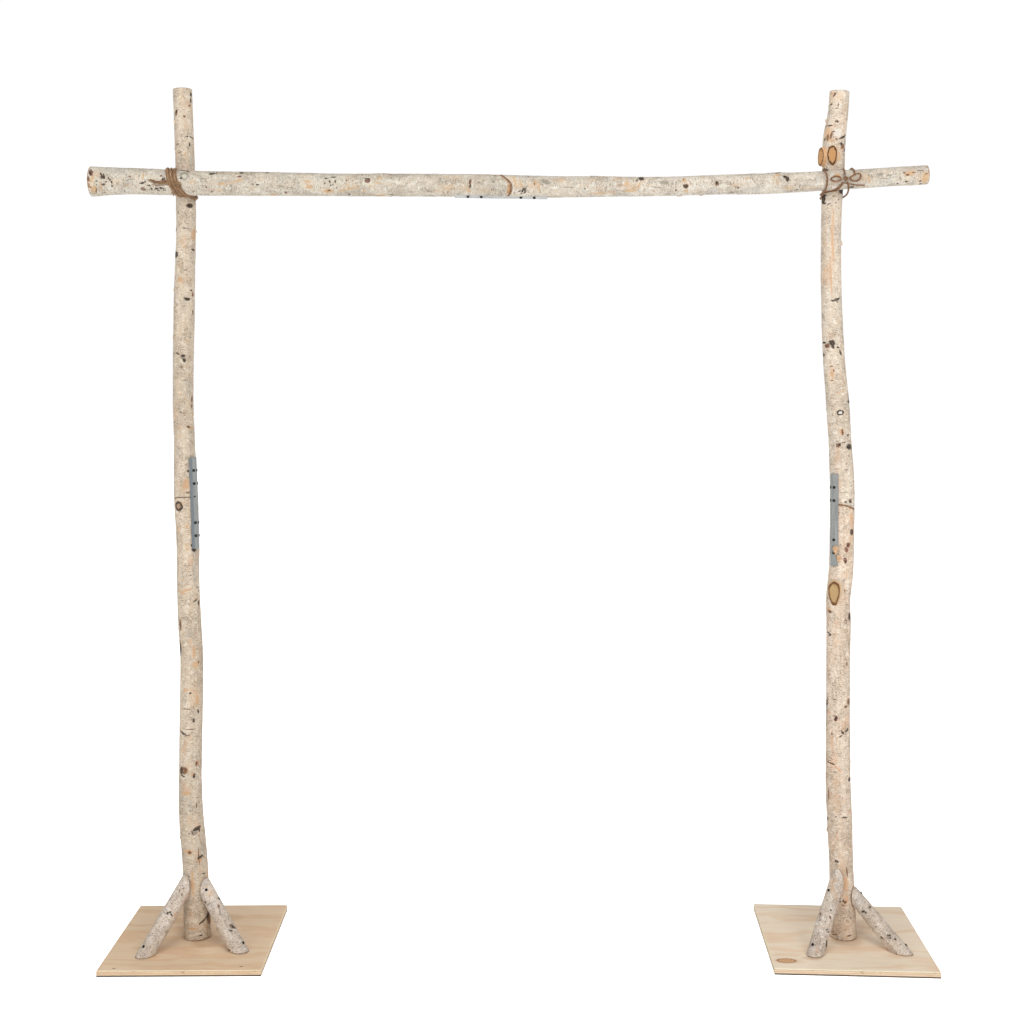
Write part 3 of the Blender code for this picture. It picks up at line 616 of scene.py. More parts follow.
        ("T", 838.0, 97.0, 8.0, 5.0, 0), ("T", 845.4, 112.0, 1.8, 13.0, 0),
        ("K", 831.2, 104.2, 1.0, 0.8, 0), ("B", 838.2, 105.0, 0.7, 2.0, 8), ("B", 836.8, 107.9, 1.9, 0.6, 10),
        ("G", 832.6, 108.6, 0.9, 0.7, 0), ("G", 829.8, 106.6, 0.6, 0.6, 0), ("T", 842.8, 102.4, 2.2, 1.2, 30),
        ("B", 836.9, 121.2, 1.9, 1.2, 0, 0.6), ("K", 837.4, 121.9, 1.1, 0.6, 0),
        ("K", 830.4, 125.8, 2.0, 0.8, 6, 0.8), ("K", 826.6, 126.4, 1.4, 0.6, 20),
        ("O", 827.6, 133.8, 2.9, 6.8, 4, 2.2), ("K", 830.6, 130.4, 0.8, 3.6, -18), ("K", 825.2, 139.0, 0.7, 2.2, 0),
        ("B", 828.0, 137.6, 1.2, 3.0, 0), ("K", 832.6, 134.0, 0.9, 2.0, -30), ("O", 831.0, 140.6, 3.0, 1.2, 0),
        ("K", 835.0, 138.6, 2.6, 0.8, -18), ("K", 838.6, 141.2, 2.4, 0.9, -32), ("K", 840.8, 143.6, 1.6, 1.4, 0, 0.8),
        ("K", 843.8, 136.6, 2.4, 1.0, 40, 0.8), ("K", 842.6, 140.6, 1.8, 2.2, 0), ("B", 842.6, 146.2, 1.8, 2.8, 10, 1.4),
        ("K", 841.0, 146.8, 0.8, 1.8, -10), ("O", 842.4, 148.6, 1.4, 1.6, 0), ("K", 844.4, 149.6, 0.8, 1.6, 0),
        ("W", 838.0, 132.6, 3.6, 4.4, 0), ("F", 840.0, 144.0, 6.0, 7.0, 0), ("f", 838.0, 153.0, 5.0, 8.0, 0),
        ("O", 839.4, 156.4, 1.4, 4.6, 0), ("T", 838.0, 150.0, 5.0, 6.0, 0), ("T", 833.8, 168.2, 3.4, 1.6, 0),
        ("K", 825.6, 170.0, 2.6, 1.1, -24), ("T", 840.0, 176.6, 4.0, 3.0, 0),
        # painted shadow: the black mark at 842.4, 191.6 is the crossbar's shadow on the post
        ("K", 842.4, 191.6, 2.0, 3.0, 0, 0.6), ("K", 823.4, 199.4, 1.7, 4.4, 0, 0.8), ("K", 824.6, 203.4, 1.6, 0.9, 0),
        ("W", 827.4, 203.0, 3.8, 1.6, 22, 0.9), ("B", 828.4, 204.2, 2.6, 0.6, 26), ("K", 825.0, 195.4, 1.4, 1.0, 0),
        ("B", 838.6, 199.6, 1.4, 0.5, 20), ("B", 833.4, 196.4, 1.6, 0.5, 0), ("B", 836.0, 202.6, 0.6, 0.9, 0),
        ("O", 833.2, 218.0, 0.8, 11.0, 2), ("O", 832.6, 244.0, 1.4, 18.0, 2), ("O", 830.8, 276.0, 1.2, 20.0, 2),
        ("T", 832.0, 244.0, 3.0, 34.0, 2), ("T", 825.6, 246.0, 1.2, 22.0, 0), ("O", 824.4, 270.0, 1.0, 1.8, 0),
        ("f", 829.0, 283.0, 5.0, 14.0, 0), ("T", 840.5, 258.0, 1.0, 6.0, 0),
        ("K", 836.8, 299.4, 3.4, 1.4, 16, 1.0), ("K", 832.4, 300.8, 2.0, 0.8, -8), ("K", 836.4, 302.2, 2.4, 0.7, 10),
        ("W", 835.4, 301.2, 1.2, 0.5, 10), ("T", 838.8, 324.0, 2.4, 3.6, 0), ("G", 822.6, 316.0, 0.8, 3.0, 0),
        ("K", 832.4, 343.0, 2.7, 3.0, 0, 1.2), ("K", 833.0, 346.8, 1.5, 1.8, 20), ("K", 830.2, 341.4, 1.6, 1.0, 20),
        ("K", 824.2, 342.6, 1.6, 1.1, 0, 0.8), ("R", 827.0, 345.6, 2.8, 2.2, 0), ("F", 828.0, 344.5, 6.0, 4.0, 0),
        ("K", 838.0, 347.4, 1.3, 1.0, -20), ("K", 840.4, 352.8, 0.8, 2.8, 18), ("K", 823.6, 355.2, 0.7, 1.8, 0),
        ("T", 841.0, 345.0, 1.6, 5.0, 0), ("f", 828.0, 358.0, 5.0, 9.0, 0), ("O", 832.2, 373.6, 1.9, 5.0, 0),
        ("R", 831.6, 366.6, 1.6, 0.6, 10), ("R", 833.6, 370.6, 0.6, 1.6, 0), ("R", 832.0, 380.6, 1.4, 0.6, -10),
        ("T", 831.0, 374.0, 5.0, 11.0, 0), ("O", 839.0, 392.6, 2.4, 0.7, 12), ("O", 842.6, 391.4, 0.8, 1.6, 20),
        ("B", 848.4, 397.0, 0.7, 4.0, 0), ("K", 848.6, 401.8, 0.9, 1.6, 0, 1.4),
        ("C", 840.4, 412.6, 2.9, 2.5, 0, 1.0), ("T", 846.0, 414.0, 2.4, 3.0, 0),
        ("R", 842.4, 432.4, 1.1, 3.2, 0, 0.4), ("O", 841.6, 431.6, 2.2, 3.4, 0), ("K", 848.3, 435.0, 1.5, 0.7, 24),
        ("B", 838.4, 445.2, 2.4, 2.2, 20, 1.0), ("O", 837.4, 446.0, 1.4, 1.2, 0), ("K", 839.8, 444.4, 1.2, 1.3, 20),
        ("B", 844.0, 442.6, 2.6, 0.5, 10), ("K", 849.2, 446.8, 2.3, 2.6, 0, 1.2), ("G", 848.6, 447.2, 1.1, 1.2, 0),
        ("f", 842.0, 462.0, 6.0, 10.0, 0), ("f", 840.0, 486.0, 6.0, 8.0, 0), ("B", 847.0, 469.6, 1.4, 0.5, 10),
        ("T", 839.6, 484.0, 2.4, 8.0, 0), ("K", 845.8, 502.0, 1.4, 0.8, 0), ("K", 850.4, 501.4, 1.2, 1.7, 0),
        ("R", 849.8, 499.8, 1.4, 0.8, 10), ("T", 842.0, 503.4, 3.0, 1.4, 0),
    ],
    "right_post_lower": [
        ("T", 851.0, 519.5, 2.4, 8.0, 8), ("O", 851.6, 517.0, 1.2, 5.0, 8), ("f", 842.0, 523.0, 6.0, 9.0, 0),
        ("K", 851.8, 532.0, 1.6, 3.2, 0, 1.0), ("R", 848.3, 544.8, 1.9, 2.4, 0), ("R", 846.4, 549.8, 1.6, 3.0, 15),
        ("R", 845.3, 560.4, 2.0, 3.2, 10), ("K", 847.8, 546.0, 0.9, 1.4, 10), ("K", 845.4, 562.0, 1.0, 1.4, 0),
        ("T", 849.2, 550.0, 2.0, 14.0, 0), ("B", 840.6, 544.8, 1.2, 0.5, 0), ("O", 838.0, 558.0, 1.2, 2.0, 0),
        ("f", 843.0, 547.0, 6.0, 10.0, 0), ("O", 846.4, 574.6, 0.6, 5.0, 6), ("T", 849.0, 566.0, 2.0, 6.0, 0),
        ("T", 842.8, 598.0, 4.6, 6.0, 0), ("f", 843.0, 600.0, 6.0, 8.0, 0), ("B", 844.6, 591.0, 0.6, 2.0, 20),
        ("B", 829.6, 611.4, 2.0, 1.4, -10, 0.7), ("K", 830.2, 612.0, 1.0, 0.6, 0), ("O", 828.4, 609.8, 2.0, 1.2, 0),
        ("K", 849.4, 616.6, 1.0, 3.8, 0, 1.0), ("B", 845.4, 620.4, 1.8, 0.5, 10),
        ("K", 828.9, 633.0, 1.9, 0.9, -16, 0.6), ("K", 829.8, 635.4, 1.7, 0.8, 24), ("T", 836.0, 624.0, 4.0, 3.0, 0),
        ("f", 844.4, 643.6, 5.0, 5.0, 0), ("T", 832.0, 658.0, 3.0, 8.0, 0), ("R", 845.4, 659.6, 1.4, 0.6, 10),
        ("B", 847.0, 664.0, 0.6, 2.0, 0), ("f", 846.0, 668.0, 3.0, 8.0, 0), ("T", 835.0, 640.0, 3.0, 14.0, 0),
        ("B", 848.4, 701.4, 1.2, 3.0, 0, 0.9), ("B", 845.9, 706.8, 1.6, 1.4, 30), ("B", 827.8, 698.6, 1.6, 0.5, -20),
        ("B", 834.4, 699.6, 2.2, 0.4, -4), ("G", 827.0, 709.0, 0.9, 5.0, 0), ("O", 829.0, 712.0, 1.6, 2.0, -20),
        ("K", 835.4, 718.4, 0.8, 2.5, -24, -0.8), ("R", 836.0, 718.8, 1.6, 3.0, -24), ("B", 834.0, 715.8, 2.0, 0.5, 0),
        ("F", 843.4, 733.6, 4.2, 2.4, 32), ("K", 842.6, 732.6, 1.0, 1.9, 34, 0.6), ("K", 845.8, 731.4, 1.1, 0.8, 30),
        ("K", 841.0, 736.0, 1.6, 0.6, 30), ("K", 847.6, 729.6, 0.8, 1.4, 10), ("B", 832.0, 733.8, 0.8, 1.2, 0),
        ("O", 832.2, 744.0, 0.5, 9.0, 0), ("T", 831.4, 740.0, 2.0, 12.0, 0),
        ("K", 829.4, 762.6, 2.6, 0.7, -12, 0.6), ("K", 832.8, 764.0, 1.6, 0.7, -14), ("O", 836.6, 767.6, 3.2, 1.0, -40),
        ("O", 839.4, 771.0, 1.8, 1.4, -30), ("K", 849.2, 779.4, 1.0, 2.3, 0, 1.0), ("f", 837.0, 780.0, 6.0, 9.0, 0),
        ("T", 836.0, 782.0, 5.0, 8.0, 0), ("T", 830.6, 796.0, 2.0, 8.0, 0), ("B", 828.6, 794.0, 0.5, 6.0, 0),
        ("T", 837.0, 804.0, 5.0, 12.0, 0), ("K", 844.6, 817.4, 2.4, 0.8, -4, 0.5), ("B", 836.0, 817.0, 0.8, 0.8, 0),
        ("f", 842.0, 832.0, 7.0, 14.0, 0), ("T", 848.0, 846.0, 2.4, 1.2, 30), ("K", 836.9, 861.4, 2.0, 1.0, -8, 0.5),
        ("f", 843.8, 870.0, 4.6, 12.0, 0), ("T", 843.0, 874.0, 5.0, 16.0, 0), ("f", 843.0, 868.0, 6.0, 12.0, 0),
        ("O", 846.0, 884.0, 2.0, 8.0, 0), ("B", 847.0, 872.0, 0.6, 5.0, 6),
        ("C", 841.5, 900.2, 1.9, 1.9, 0, 0.8), ("B", 845.0, 902.0, 1.6, 1.4, 0), ("O", 846.6, 899.0, 1.6, 4.0, 0),
        ("B", 843.2, 905.4, 2.0, 0.6, -20), ("T", 844.0, 903.0, 4.6, 6.0, 0), ("f", 843.0, 912.0, 6.0, 8.0, 0),
        ("T", 846.6, 926.0, 6.6, 5.0, 30), ("f", 843.0, 930.0, 8.0, 6.0, 0), ("B", 834.4, 934.4, 2.4, 0.6, 20),
        ("B", 832.6, 932.0, 1.4, 0.5, 20), ("B", 849.0, 935.6, 2.0, 0.6, 10),
    ],
    "crossbar_left_half": [
        ("R", 90.8, 172.4, 2.0, 2.5, 20, -0.6), ("K", 90.2, 173.4, 0.9, 1.6, 20), ("O", 92.2, 178.0, 1.4, 3.2, -16),
        ("R", 88.2, 181.0, 1.2, 4.0, 0), ("K", 89.4, 181.2, 1.8, 0.6, 20), ("O", 94.0, 189.6, 2.8, 2.8, 0), ("B", 96.2, 190.6, 0.6, 2.6, -12),
        ("B", 90.0, 187.2, 1.6, 0.6, -30), ("T", 92.0, 184.0, 4.0, 10.0, 0),
        ("K", 101.4, 174.6, 0.8, 2.2, 34, 0.4), ("K", 102.8, 177.4, 2.4, 0.9, -20), ("K", 104.0, 175.4, 0.7, 1.9, 20),
        ("K", 100.6, 177.8, 1.6, 0.6, -30), ("F", 103.0, 178.0, 5.0, 4.6, 0), ("C", 96.4, 182.8, 1.5, 1.6, 0, 0.6),
        ("K", 103.4, 184.4, 1.7, 0.9, 0), ("K", 105.6, 181.6, 1.3, 0.7, 30), ("K", 107.8, 178.0, 1.1, 0.8, 0),
        ("K", 111.6, 182.0, 1.2, 0.9, -20), ("K", 112.2, 185.8, 0.9, 0.8, 0), ("K", 109.8, 179.6, 0.8, 0.6, 0),
        ("O", 100.8, 187.2, 0.7, 4.0, 0), ("T", 117.0, 181.4, 5.6, 1.6, 0), ("T", 128.0, 186.4, 8.0, 2.0, 0),
        ("R", 129.6, 176.6, 1.7, 0.6, -20), ("G", 131.4, 179.2, 3.2, 0.5, 0), ("G", 127.4, 180.2, 2.0, 0.5, 0),
        ("O", 143.0, 176.4, 0.8, 3.6, 0), ("f", 120.0, 182.0, 12.0, 10.0, 0), ("f", 140.0, 178.0, 12.0, 8.0, 0),
        ("K", 142.2, 182.8, 2.6, 0.7, 14), ("K", 145.2, 181.8, 1.0, 0.7, 0), ("B", 143.0, 189.0, 2.6, 1.6, 0),
        ("K", 148.6, 185.4, 1.6, 0.6, 0), ("K", 151.4, 188.6, 1.0, 1.0, 0), ("K", 156.4, 188.8, 2.0, 0.7, 6),
        ("K", 161.0, 188.0, 1.6, 1.0, -10), ("K", 158.6, 190.6, 1.2, 0.6, 0), ("F", 158.0, 188.4, 8.0, 2.6, 0),
        ("C", 164.6, 189.2, 1.3, 1.3, 0), ("B", 153.0, 180.6, 3.0, 0.8, -16), ("B", 158.6, 182.4, 5.0, 0.8, -8),
        ("B", 166.0, 181.4, 4.0, 1.5, 0), ("K", 162.6, 179.0, 1.0, 1.4, 0), ("K", 164.8, 178.4, 0.7, 1.2, 0),
        ("K", 154.6, 183.0, 2.4, 0.6, -14), ("T", 160.0, 181.6, 9.0, 3.0, 0), ("R", 160.8, 175.8, 1.0, 0.7, 0),
        # painted shadow: the black marks at 183.6, 170.6 and 188.0, 171.8 are a shadow arc above the raised knot
        ("G", 184.0, 175.8, 4.4, 3.4, 0, 1.8), ("W", 184.6, 176.4, 2.6, 2.0, 0), ("O", 509.0, 190.5, 2.4, 4.5, 0), ("K", 183.6, 170.6, 4.6, 0.7, 0), ("K", 188.0, 171.8, 1.6, 0.6, -30),
        ("K", 181.0, 178.4, 1.6, 0.7, 12), ("K", 183.8, 178.6, 1.0, 0.6, 0), ("K", 187.2, 176.4, 1.3, 0.8, 20),
        ("G", 184.8, 174.6, 2.4, 1.4, 0), ("T", 192.0, 182.0, 3.6, 3.6, 0), ("O", 194.6, 181.6, 0.6, 2.2, 24),
        ("K", 212.2, 173.8, 3.2, 0.9, 6, 0.6), ("W", 213.4, 174.2, 1.2, 0.4, 0), ("K", 216.6, 173.4, 1.6, 0.5, 0),
        ("G", 203.0, 178.6, 3.6, 0.6, -10), ("G", 200.4, 180.6, 0.6, 1.6, 20), ("G", 205.0, 181.6, 2.6, 0.5, 14),
        ("K", 206.4, 187.4, 0.8, 0.8, 0), ("K", 212.0, 191.6, 0.9, 0.8, 0), ("T", 230.0, 182.4, 15.0, 2.4, 8),
        ("O", 222.0, 183.8, 4.0, 1.0, 8), ("O", 238.6, 180.2, 5.0, 1.1, 12), ("K", 241.6, 172.8, 1.8, 0.7, 0),
        ("R", 239.6, 176.6, 2.2, 0.8, 0), ("K", 257.6, 184.6, 1.5, 0.8, 0, 0.4), ("K", 252.8, 184.2, 1.1, 0.5, 0),
        ("f", 254.0, 189.0, 8.0, 4.0, 0), ("G", 246.0, 187.0, 4.0, 0.5, 0), ("T", 260.0, 178.0, 5.0, 4.0, 0),
        ("f", 285.0, 184.0, 14.0, 8.0, 0), ("K", 267.0, 172.6, 1.6, 0.5, 0), ("G", 280.0, 186.0, 5.0, 0.6, -6),
        ("O", 307.0, 181.4, 3.4, 1.2, -10), ("O", 309.4, 187.0, 3.8, 1.6, 12), ("T", 308.4, 184.4, 6.0, 5.6, 0),
        ("f", 308.0, 184.0, 6.0, 6.0, 0), ("R", 286.0, 192.4, 1.4, 1.0, 0),
        ("F", 330.6, 180.8, 7.6, 5.6, 0), ("K", 326.2, 178.4, 2.2, 0.6, 12), ("K", 333.4, 177.2, 2.4, 0.6, 0),
        ("K", 329.4, 181.6, 0.7, 1.8, 20), ("K", 335.4, 181.2, 0.7, 1.6, 0), ("K", 331.6, 185.2, 1.8, 0.5, 8),
        ("K", 325.0, 183.2, 1.0, 0.6, 0), ("O", 328.6, 191.2, 5.4, 1.8, 4), ("B", 329.0, 190.6, 2.0, 0.8, 20),
        ("T", 327.0, 190.0, 8.0, 3.0, 0), ("O", 343.0, 190.2, 5.0, 0.8, 6), ("O", 351.0, 188.6, 4.0, 0.8, 8),
        ("O", 357.4, 187.0, 2.6, 0.8, 26), ("R", 346.4, 180.6, 1.2, 0.8, 0), ("R", 352.8, 180.8, 1.0, 0.6, 0),
        ("K", 349.2, 194.4, 1.2, 0.8, 0, 0.8), ("T", 350.0, 186.0, 10.0, 4.0, 0),
        ("W", 367.4, 181.0, 5.0, 4.4, 0), ("R", 367.6, 180.6, 3.1, 2.5, 0, 1.2), ("K", 367.4, 178.8, 2.8, 0.7, 0),
        ("O", 368.6, 181.6, 1.6, 1.1, 0), ("O", 364.4, 190.8, 1.6, 1.2, 0), ("T", 370.0, 186.6, 5.0, 3.0, 0),
        ("O", 379.6, 178.0, 2.6, 1.2, 0), ("O", 378.0, 182.6, 3.6, 0.7, 0), ("f", 379.0, 180.0, 5.0, 6.0, 0),
        ("G", 381.6, 173.6, 4.0, 0.9, 0, 1.8), ("G", 411.8, 192.0, 1.7, 0.8, 0), ("G", 428.4, 191.0, 1.5, 0.8, 0),
        ("f", 400.0, 184.0, 14.0, 7.0, 0), ("T", 452.0, 177.0, 12.0, 3.0, 0), ("T", 448.0, 187.0, 12.0, 4.0, 0),
        ("f", 455.0, 184.0, 14.0, 8.0, 0), ("K", 392.0, 194.6, 1.2, 0.6, 0),
        ("B", 470.2, 183.2, 1.3, 4.8, -4, 0.5), ("R", 470.0, 181.8, 1.0, 2.0, -20), ("K", 470.4, 186.4, 0.9, 1.8, -20),
        ("O", 468.8, 191.2, 1.8, 2.2, 20), ("T", 466.0, 187.0, 5.0, 5.0, 0), ("G", 483.4, 180.4, 0.9, 1.5, 0),
        ("G", 493.6, 181.6, 2.0, 1.6, 0), ("f", 480.0, 188.0, 12.0, 5.0, 0), ("T", 486.0, 191.0, 8.0, 2.0, 0),
    ],
    "crossbar_right_half": [
        ("T", 512.5, 178.0, 3.5, 4.0, -30),
        ("O", 514.6, 181.0, 0.9, 5.0, 24), ("T", 517.0, 184.0, 4.0, 7.0, 10), ("O", 521.2, 184.4, 0.9, 3.6, 28),
        ("K", 519.6, 191.4, 1.8, 0.7, 24), ("K", 522.6, 190.4, 0.8, 2.6, -20, 0.4), ("K", 524.8, 190.6, 0.8, 2.4, 10),
        ("K", 522.4, 193.4, 2.4, 0.7, 10), ("K", 526.0, 188.4, 0.6, 1.0, 0),
        ("O", 535.6, 182.0, 1.2, 2.4, 0), ("R", 534.6, 184.2, 0.7, 1.2, 0), ("O", 539.4, 187.0, 0.8, 3.8, 10),
        ("T", 534.0, 185.0, 7.0, 6.6, 0), ("f", 534.0, 185.0, 9.0, 7.0, 0), ("T", 560.0, 180.0, 8.0, 4.0, 0),
        ("G", 546.0, 181.6, 5.0, 2.0, -20), ("G", 569.0, 187.6, 6.0, 0.6, 0), ("T", 557.0, 192.0, 5.0, 2.0, 0),
        ("K", 584.8, 188.9, 0.8, 0.8, 0, 0.4), ("O", 587.4, 185.8, 1.0, 0.8, 0), ("O", 580.4, 186.0, 0.7, 1.2, 20),
        ("K", 593.0, 175.9, 3.2, 0.7, 0, 1.2), ("T", 592.0, 180.0, 5.0, 3.0, 0), ("T", 610.0, 192.0, 12.0, 1.6, 0),
        ("O", 598.0, 193.4, 8.0, 0.8, 0), ("O", 627.0, 184.0, 2.0, 3.0, 0), ("f", 622.0, 185.0, 9.0, 7.0, 0),
        ("K", 641.2, 178.6, 2.8, 1.7, 0, 1.3), ("W", 642.2, 179.0, 0.9, 0.5, 0), ("O", 639.2, 184.6, 1.3, 2.8, -20),
        ("K", 637.0, 180.4, 1.2, 0.8, 0), ("T", 634.0, 187.0, 6.0, 5.0, 0), ("O", 629.6, 190.6, 6.0, 1.4, -4),
        ("G", 664.0, 182.4, 4.6, 2.4, 0), ("G", 657.0, 187.6, 6.0, 0.5, -10), ("K", 676.0, 190.4, 0.7, 1.3, 0),
        ("K", 685.6, 186.6, 2.2, 1.9, 0, 1.3), ("B", 685.6, 186.0, 3.0, 2.3, 0), ("O", 684.6, 180.4, 1.9, 2.0, 0),
        ("O", 686.2, 191.0, 1.4, 1.8, 0), ("B", 683.4, 179.2, 0.7, 1.0, 0), ("T", 686.0, 184.0, 5.0, 7.0, 0),
        ("B", 717.2, 183.4, 2.0, 2.7, 0, 0.9), ("K", 716.8, 182.6, 1.0, 1.8, 0), ("W", 723.0, 186.4, 4.0, 2.6, 0),
        ("G", 737.4, 187.0, 4.4, 0.5, 0), ("B", 738.0, 187.6, 0.9, 1.1, 0, 0.5), ("G", 731.6, 192.6, 2.2, 0.8, 0),
        ("f", 735.0, 184.0, 10.0, 6.0, 0), ("K", 752.2, 173.4, 3.4, 0.8, 4, 1.9), ("O", 747.0, 178.0, 2.6, 0.6, 0),
        ("K", 775.6, 171.4, 5.4, 1.0, 0, 3.2), ("B", 775.0, 173.0, 3.6, 1.2, 0), ("O", 777.6, 175.4, 1.8, 1.6, 30),
        ("O", 774.6, 177.0, 0.8, 1.8, -20), ("T", 777.0, 182.0, 6.0, 5.0, 0), ("K", 784.4, 177.0, 1.9, 1.0, -26, 1.4),
        ("K", 787.6, 179.4, 1.9, 2.2, -20, 1.0), ("B", 786.2, 177.8, 2.6, 1.6, -36), ("G", 788.6, 183.4, 1.4, 0.6, 36),
        ("O", 786.6, 187.6, 2.0, 0.8, 0), ("R", 795.0, 185.0, 1.2, 0.6, 20), ("K", 797.0, 189.8, 1.0, 0.6, 0),
        ("T", 790.0, 188.0, 9.0, 3.0, 0), ("f", 790.0, 186.0, 10.0, 5.0, 0), ("G", 812.0, 180.0, 5.0, 0.5, 0),
        ("f", 812.0, 183.0, 9.0, 6.0, 0), ("T", 808.0, 188.0, 9.0, 1.8, 0), ("O", 838.0, 175.4, 2.0, 2.6, 0),
        ("T", 839.0, 176.0, 4.0, 3.6, 0), ("T", 864.0, 176.0, 8.0, 4.6, 0), ("O", 866.6, 178.8, 5.0, 0.6, 14),
        ("O", 869.6, 180.8, 1.0, 2.0, 30), ("f", 868.0, 178.0, 8.0, 6.0, 0), ("G", 890.0, 175.2, 3.6, 0.6, 8),
        ("G", 880.0, 174.0, 3.4, 1.6, 0), ("G", 884.6, 178.6, 4.6, 0.5, -8), ("F", 885.0, 175.0, 9.0, 4.0, 0),
        ("K", 852.0, 187.2, 2.6, 0.9, 6), ("K", 897.6, 183.4, 1.1, 0.8, 0, 0.6), ("G", 900.4, 178.6, 1.2, 2.4, 20),
        ("O", 909.4, 173.6, 5.6, 2.2, 8), ("B", 907.6, 174.8, 2.0, 1.2, 0), ("B", 913.6, 172.4, 1.6, 0.7, 0),
        ("R", 904.6, 172.6, 1.0, 0.8, 0), ("T", 910.0, 174.0, 7.6, 4.4, 0), ("f", 910.0, 175.0, 8.0, 5.0, 0),
        ("G", 906.8, 180.4, 1.9, 2.0, 0, 0.9), ("K", 906.4, 181.4, 1.2, 0.7, 0), ("R", 920.4, 181.0, 1.5, 0.9, 10),
        ("R", 920.6, 170.4, 3.2, 0.6, -12), ("O", 925.6, 178.0, 3.0, 6.0, 0), ("T", 922.0, 178.0, 6.0, 6.0, 0),
        ("B", 926.6, 173.6, 1.4, 0.7, 0), ("K", 920.4, 184.0, 1.4, 0.5, 0),
    ],
    "left_post_brace_left": [
        ("K", 169.2, 912.4, 2.0, 0.8, 14, -1.2), ("K", 171.4, 914.6, 0.9, 1.6, 30, -1.0), ("O", 175.4, 914.4, 1.5, 1.6, 0, 0.8),
        ("K", 167.4, 913.2, 0.8, 1.0, 0), ("F", 182.5, 893.0, 4.0, 7.0, 0), ("B", 179.6, 890.4, 0.7, 1.2, 0),
        ("B", 181.8, 894.6, 0.7, 1.1, 0), ("B", 183.6, 888.6, 0.6, 0.8, 0), ("f", 158.0, 934.0, 9.0, 14.0, 40),
        ("G", 167.0, 931.6, 0.8, 1.2, 0), ("F", 152.0, 944.0, 8.0, 9.0, 0),
    ],
    "left_post_brace_right": [
        ("K", 205.4, 902.4, 1.1, 0.9, 0), ("G", 208.6, 904.0, 2.0, 1.0, 20), ("K", 219.2, 898.6, 1.1, 1.2, 0, 0.6),
        ("G", 219.8, 911.6, 1.0, 3.6, 10), ("G", 220.6, 914.8, 2.4, 0.7, 0), ("B", 218.6, 906.4, 1.1, 2.0, 20),
        ("B", 232.4, 926.4, 2.4, 1.9, -14, 0.9), ("K", 233.2, 926.8, 1.3, 0.9, 0), ("K", 230.8, 930.6, 1.9, 0.6, 10),
        ("K", 236.6, 926.4, 0.9, 1.0, 0), ("G", 231.8, 932.0, 1.2, 0.5, 0), ("K", 226.8, 948.0, 1.0, 2.0, 10, -0.8),
        ("B", 228.6, 949.8, 2.0, 1.2, 0), ("G", 232.6, 947.6, 1.0, 1.0, 0), ("F", 236.0, 940.0, 8.0, 8.0, 0),
        ("f", 222.0, 918.0, 8.0, 12.0, 0), ("T", 210.0, 893.0, 4.0, 6.0, 0), ("O", 206.4, 886.4, 0.9, 1.2, 0),
    ],
    "right_post_brace_left": [
        ("K", 831.2, 910.2, 1.1, 0.8, -30, -0.5), ("B", 820.4, 914.2, 0.8, 1.6, 0), ("B", 830.2, 917.2, 1.0, 1.3, 0),
        ("K", 825.4, 921.8, 0.9, 0.6, 30), ("K", 826.8, 929.8, 0.9, 0.7, 0), ("K", 828.6, 931.8, 0.7, 0.7, 0),
        ("F", 826.0, 934.0, 4.0, 6.0, 0), ("O", 825.6, 906.8, 0.7, 1.0, 0), ("T", 834.0, 892.0, 4.0, 12.0, 20),
        ("f", 822.0, 915.0, 7.0, 16.0, 20), ("T", 833.0, 880.0, 5.0, 6.0, 0), ("F", 816.0, 945.0, 7.0, 8.0, 0),
        ("R", 827.0, 900.2, 0.6, 0.8, 0), ("K", 826.6, 944.0, 0.9, 3.6, 0),
    ],
    "right_post_brace_right": [
        ("K", 858.4, 912.8, 2.2, 0.8, 20, -1.1), ("K", 862.6, 911.6, 2.2, 0.8, 26, -1.1), ("K", 865.6, 912.6, 1.1, 0.9, -30),
        ("G", 869.4, 907.8, 1.4, 1.3, 0, 0.9), ("K", 869.8, 907.0, 1.0, 0.6, 20), ("K", 881.8, 937.8, 1.3, 0.9, -30, 0.4),
        ("G", 889.2, 937.2, 2.1, 1.7, 10, 1.2), ("K", 889.0, 935.4, 2.0, 0.6, 10), ("K", 890.6, 938.0, 0.7, 1.0, 0),
        ("K", 895.4, 939.0, 0.9, 0.9, 0), ("B", 895.2, 932.8, 0.8, 0.6, 0), ("F", 890.0, 934.0, 7.0, 5.0, 0),
        ("f", 875.0, 918.0, 9.0, 12.0, 0), ("f", 890.0, 945.0, 9.0, 7.0, 0), ("B", 876.0, 927.0, 0.7, 0.7, 0),
    ],
    "left_post_brace_back": [],
    "right_post_brace_back": [],
}

# The code and the colour of each kind of mark.
SOFT_KINDS = {"T": (0.0, srgb(217, 181, 145)), "f": (0.5, srgb(178, 134, 98)), "F": (1.0, srgb(74, 60, 48))}
HARD_KINDS = {
    "O": (0.10, srgb(212, 170, 128)), "G": (0.20, srgb(150, 141, 128)), "W": (0.30, srgb(228, 220, 205)),
    "eye": (0.40, srgb(158, 120, 84)), "B": (0.60, srgb(118, 82, 56)), "R": (0.70, srgb(116, 62, 42)),
    "K": (0.90, srgb(52, 42, 33)), "ring": (1.00, srgb(56, 44, 34)),
}
SOFT_SLOTS = ["soft0", "soft1", "soft2"]
HARD_SLOTS = ["hard0", "hard1", "hard2", "hard3"]


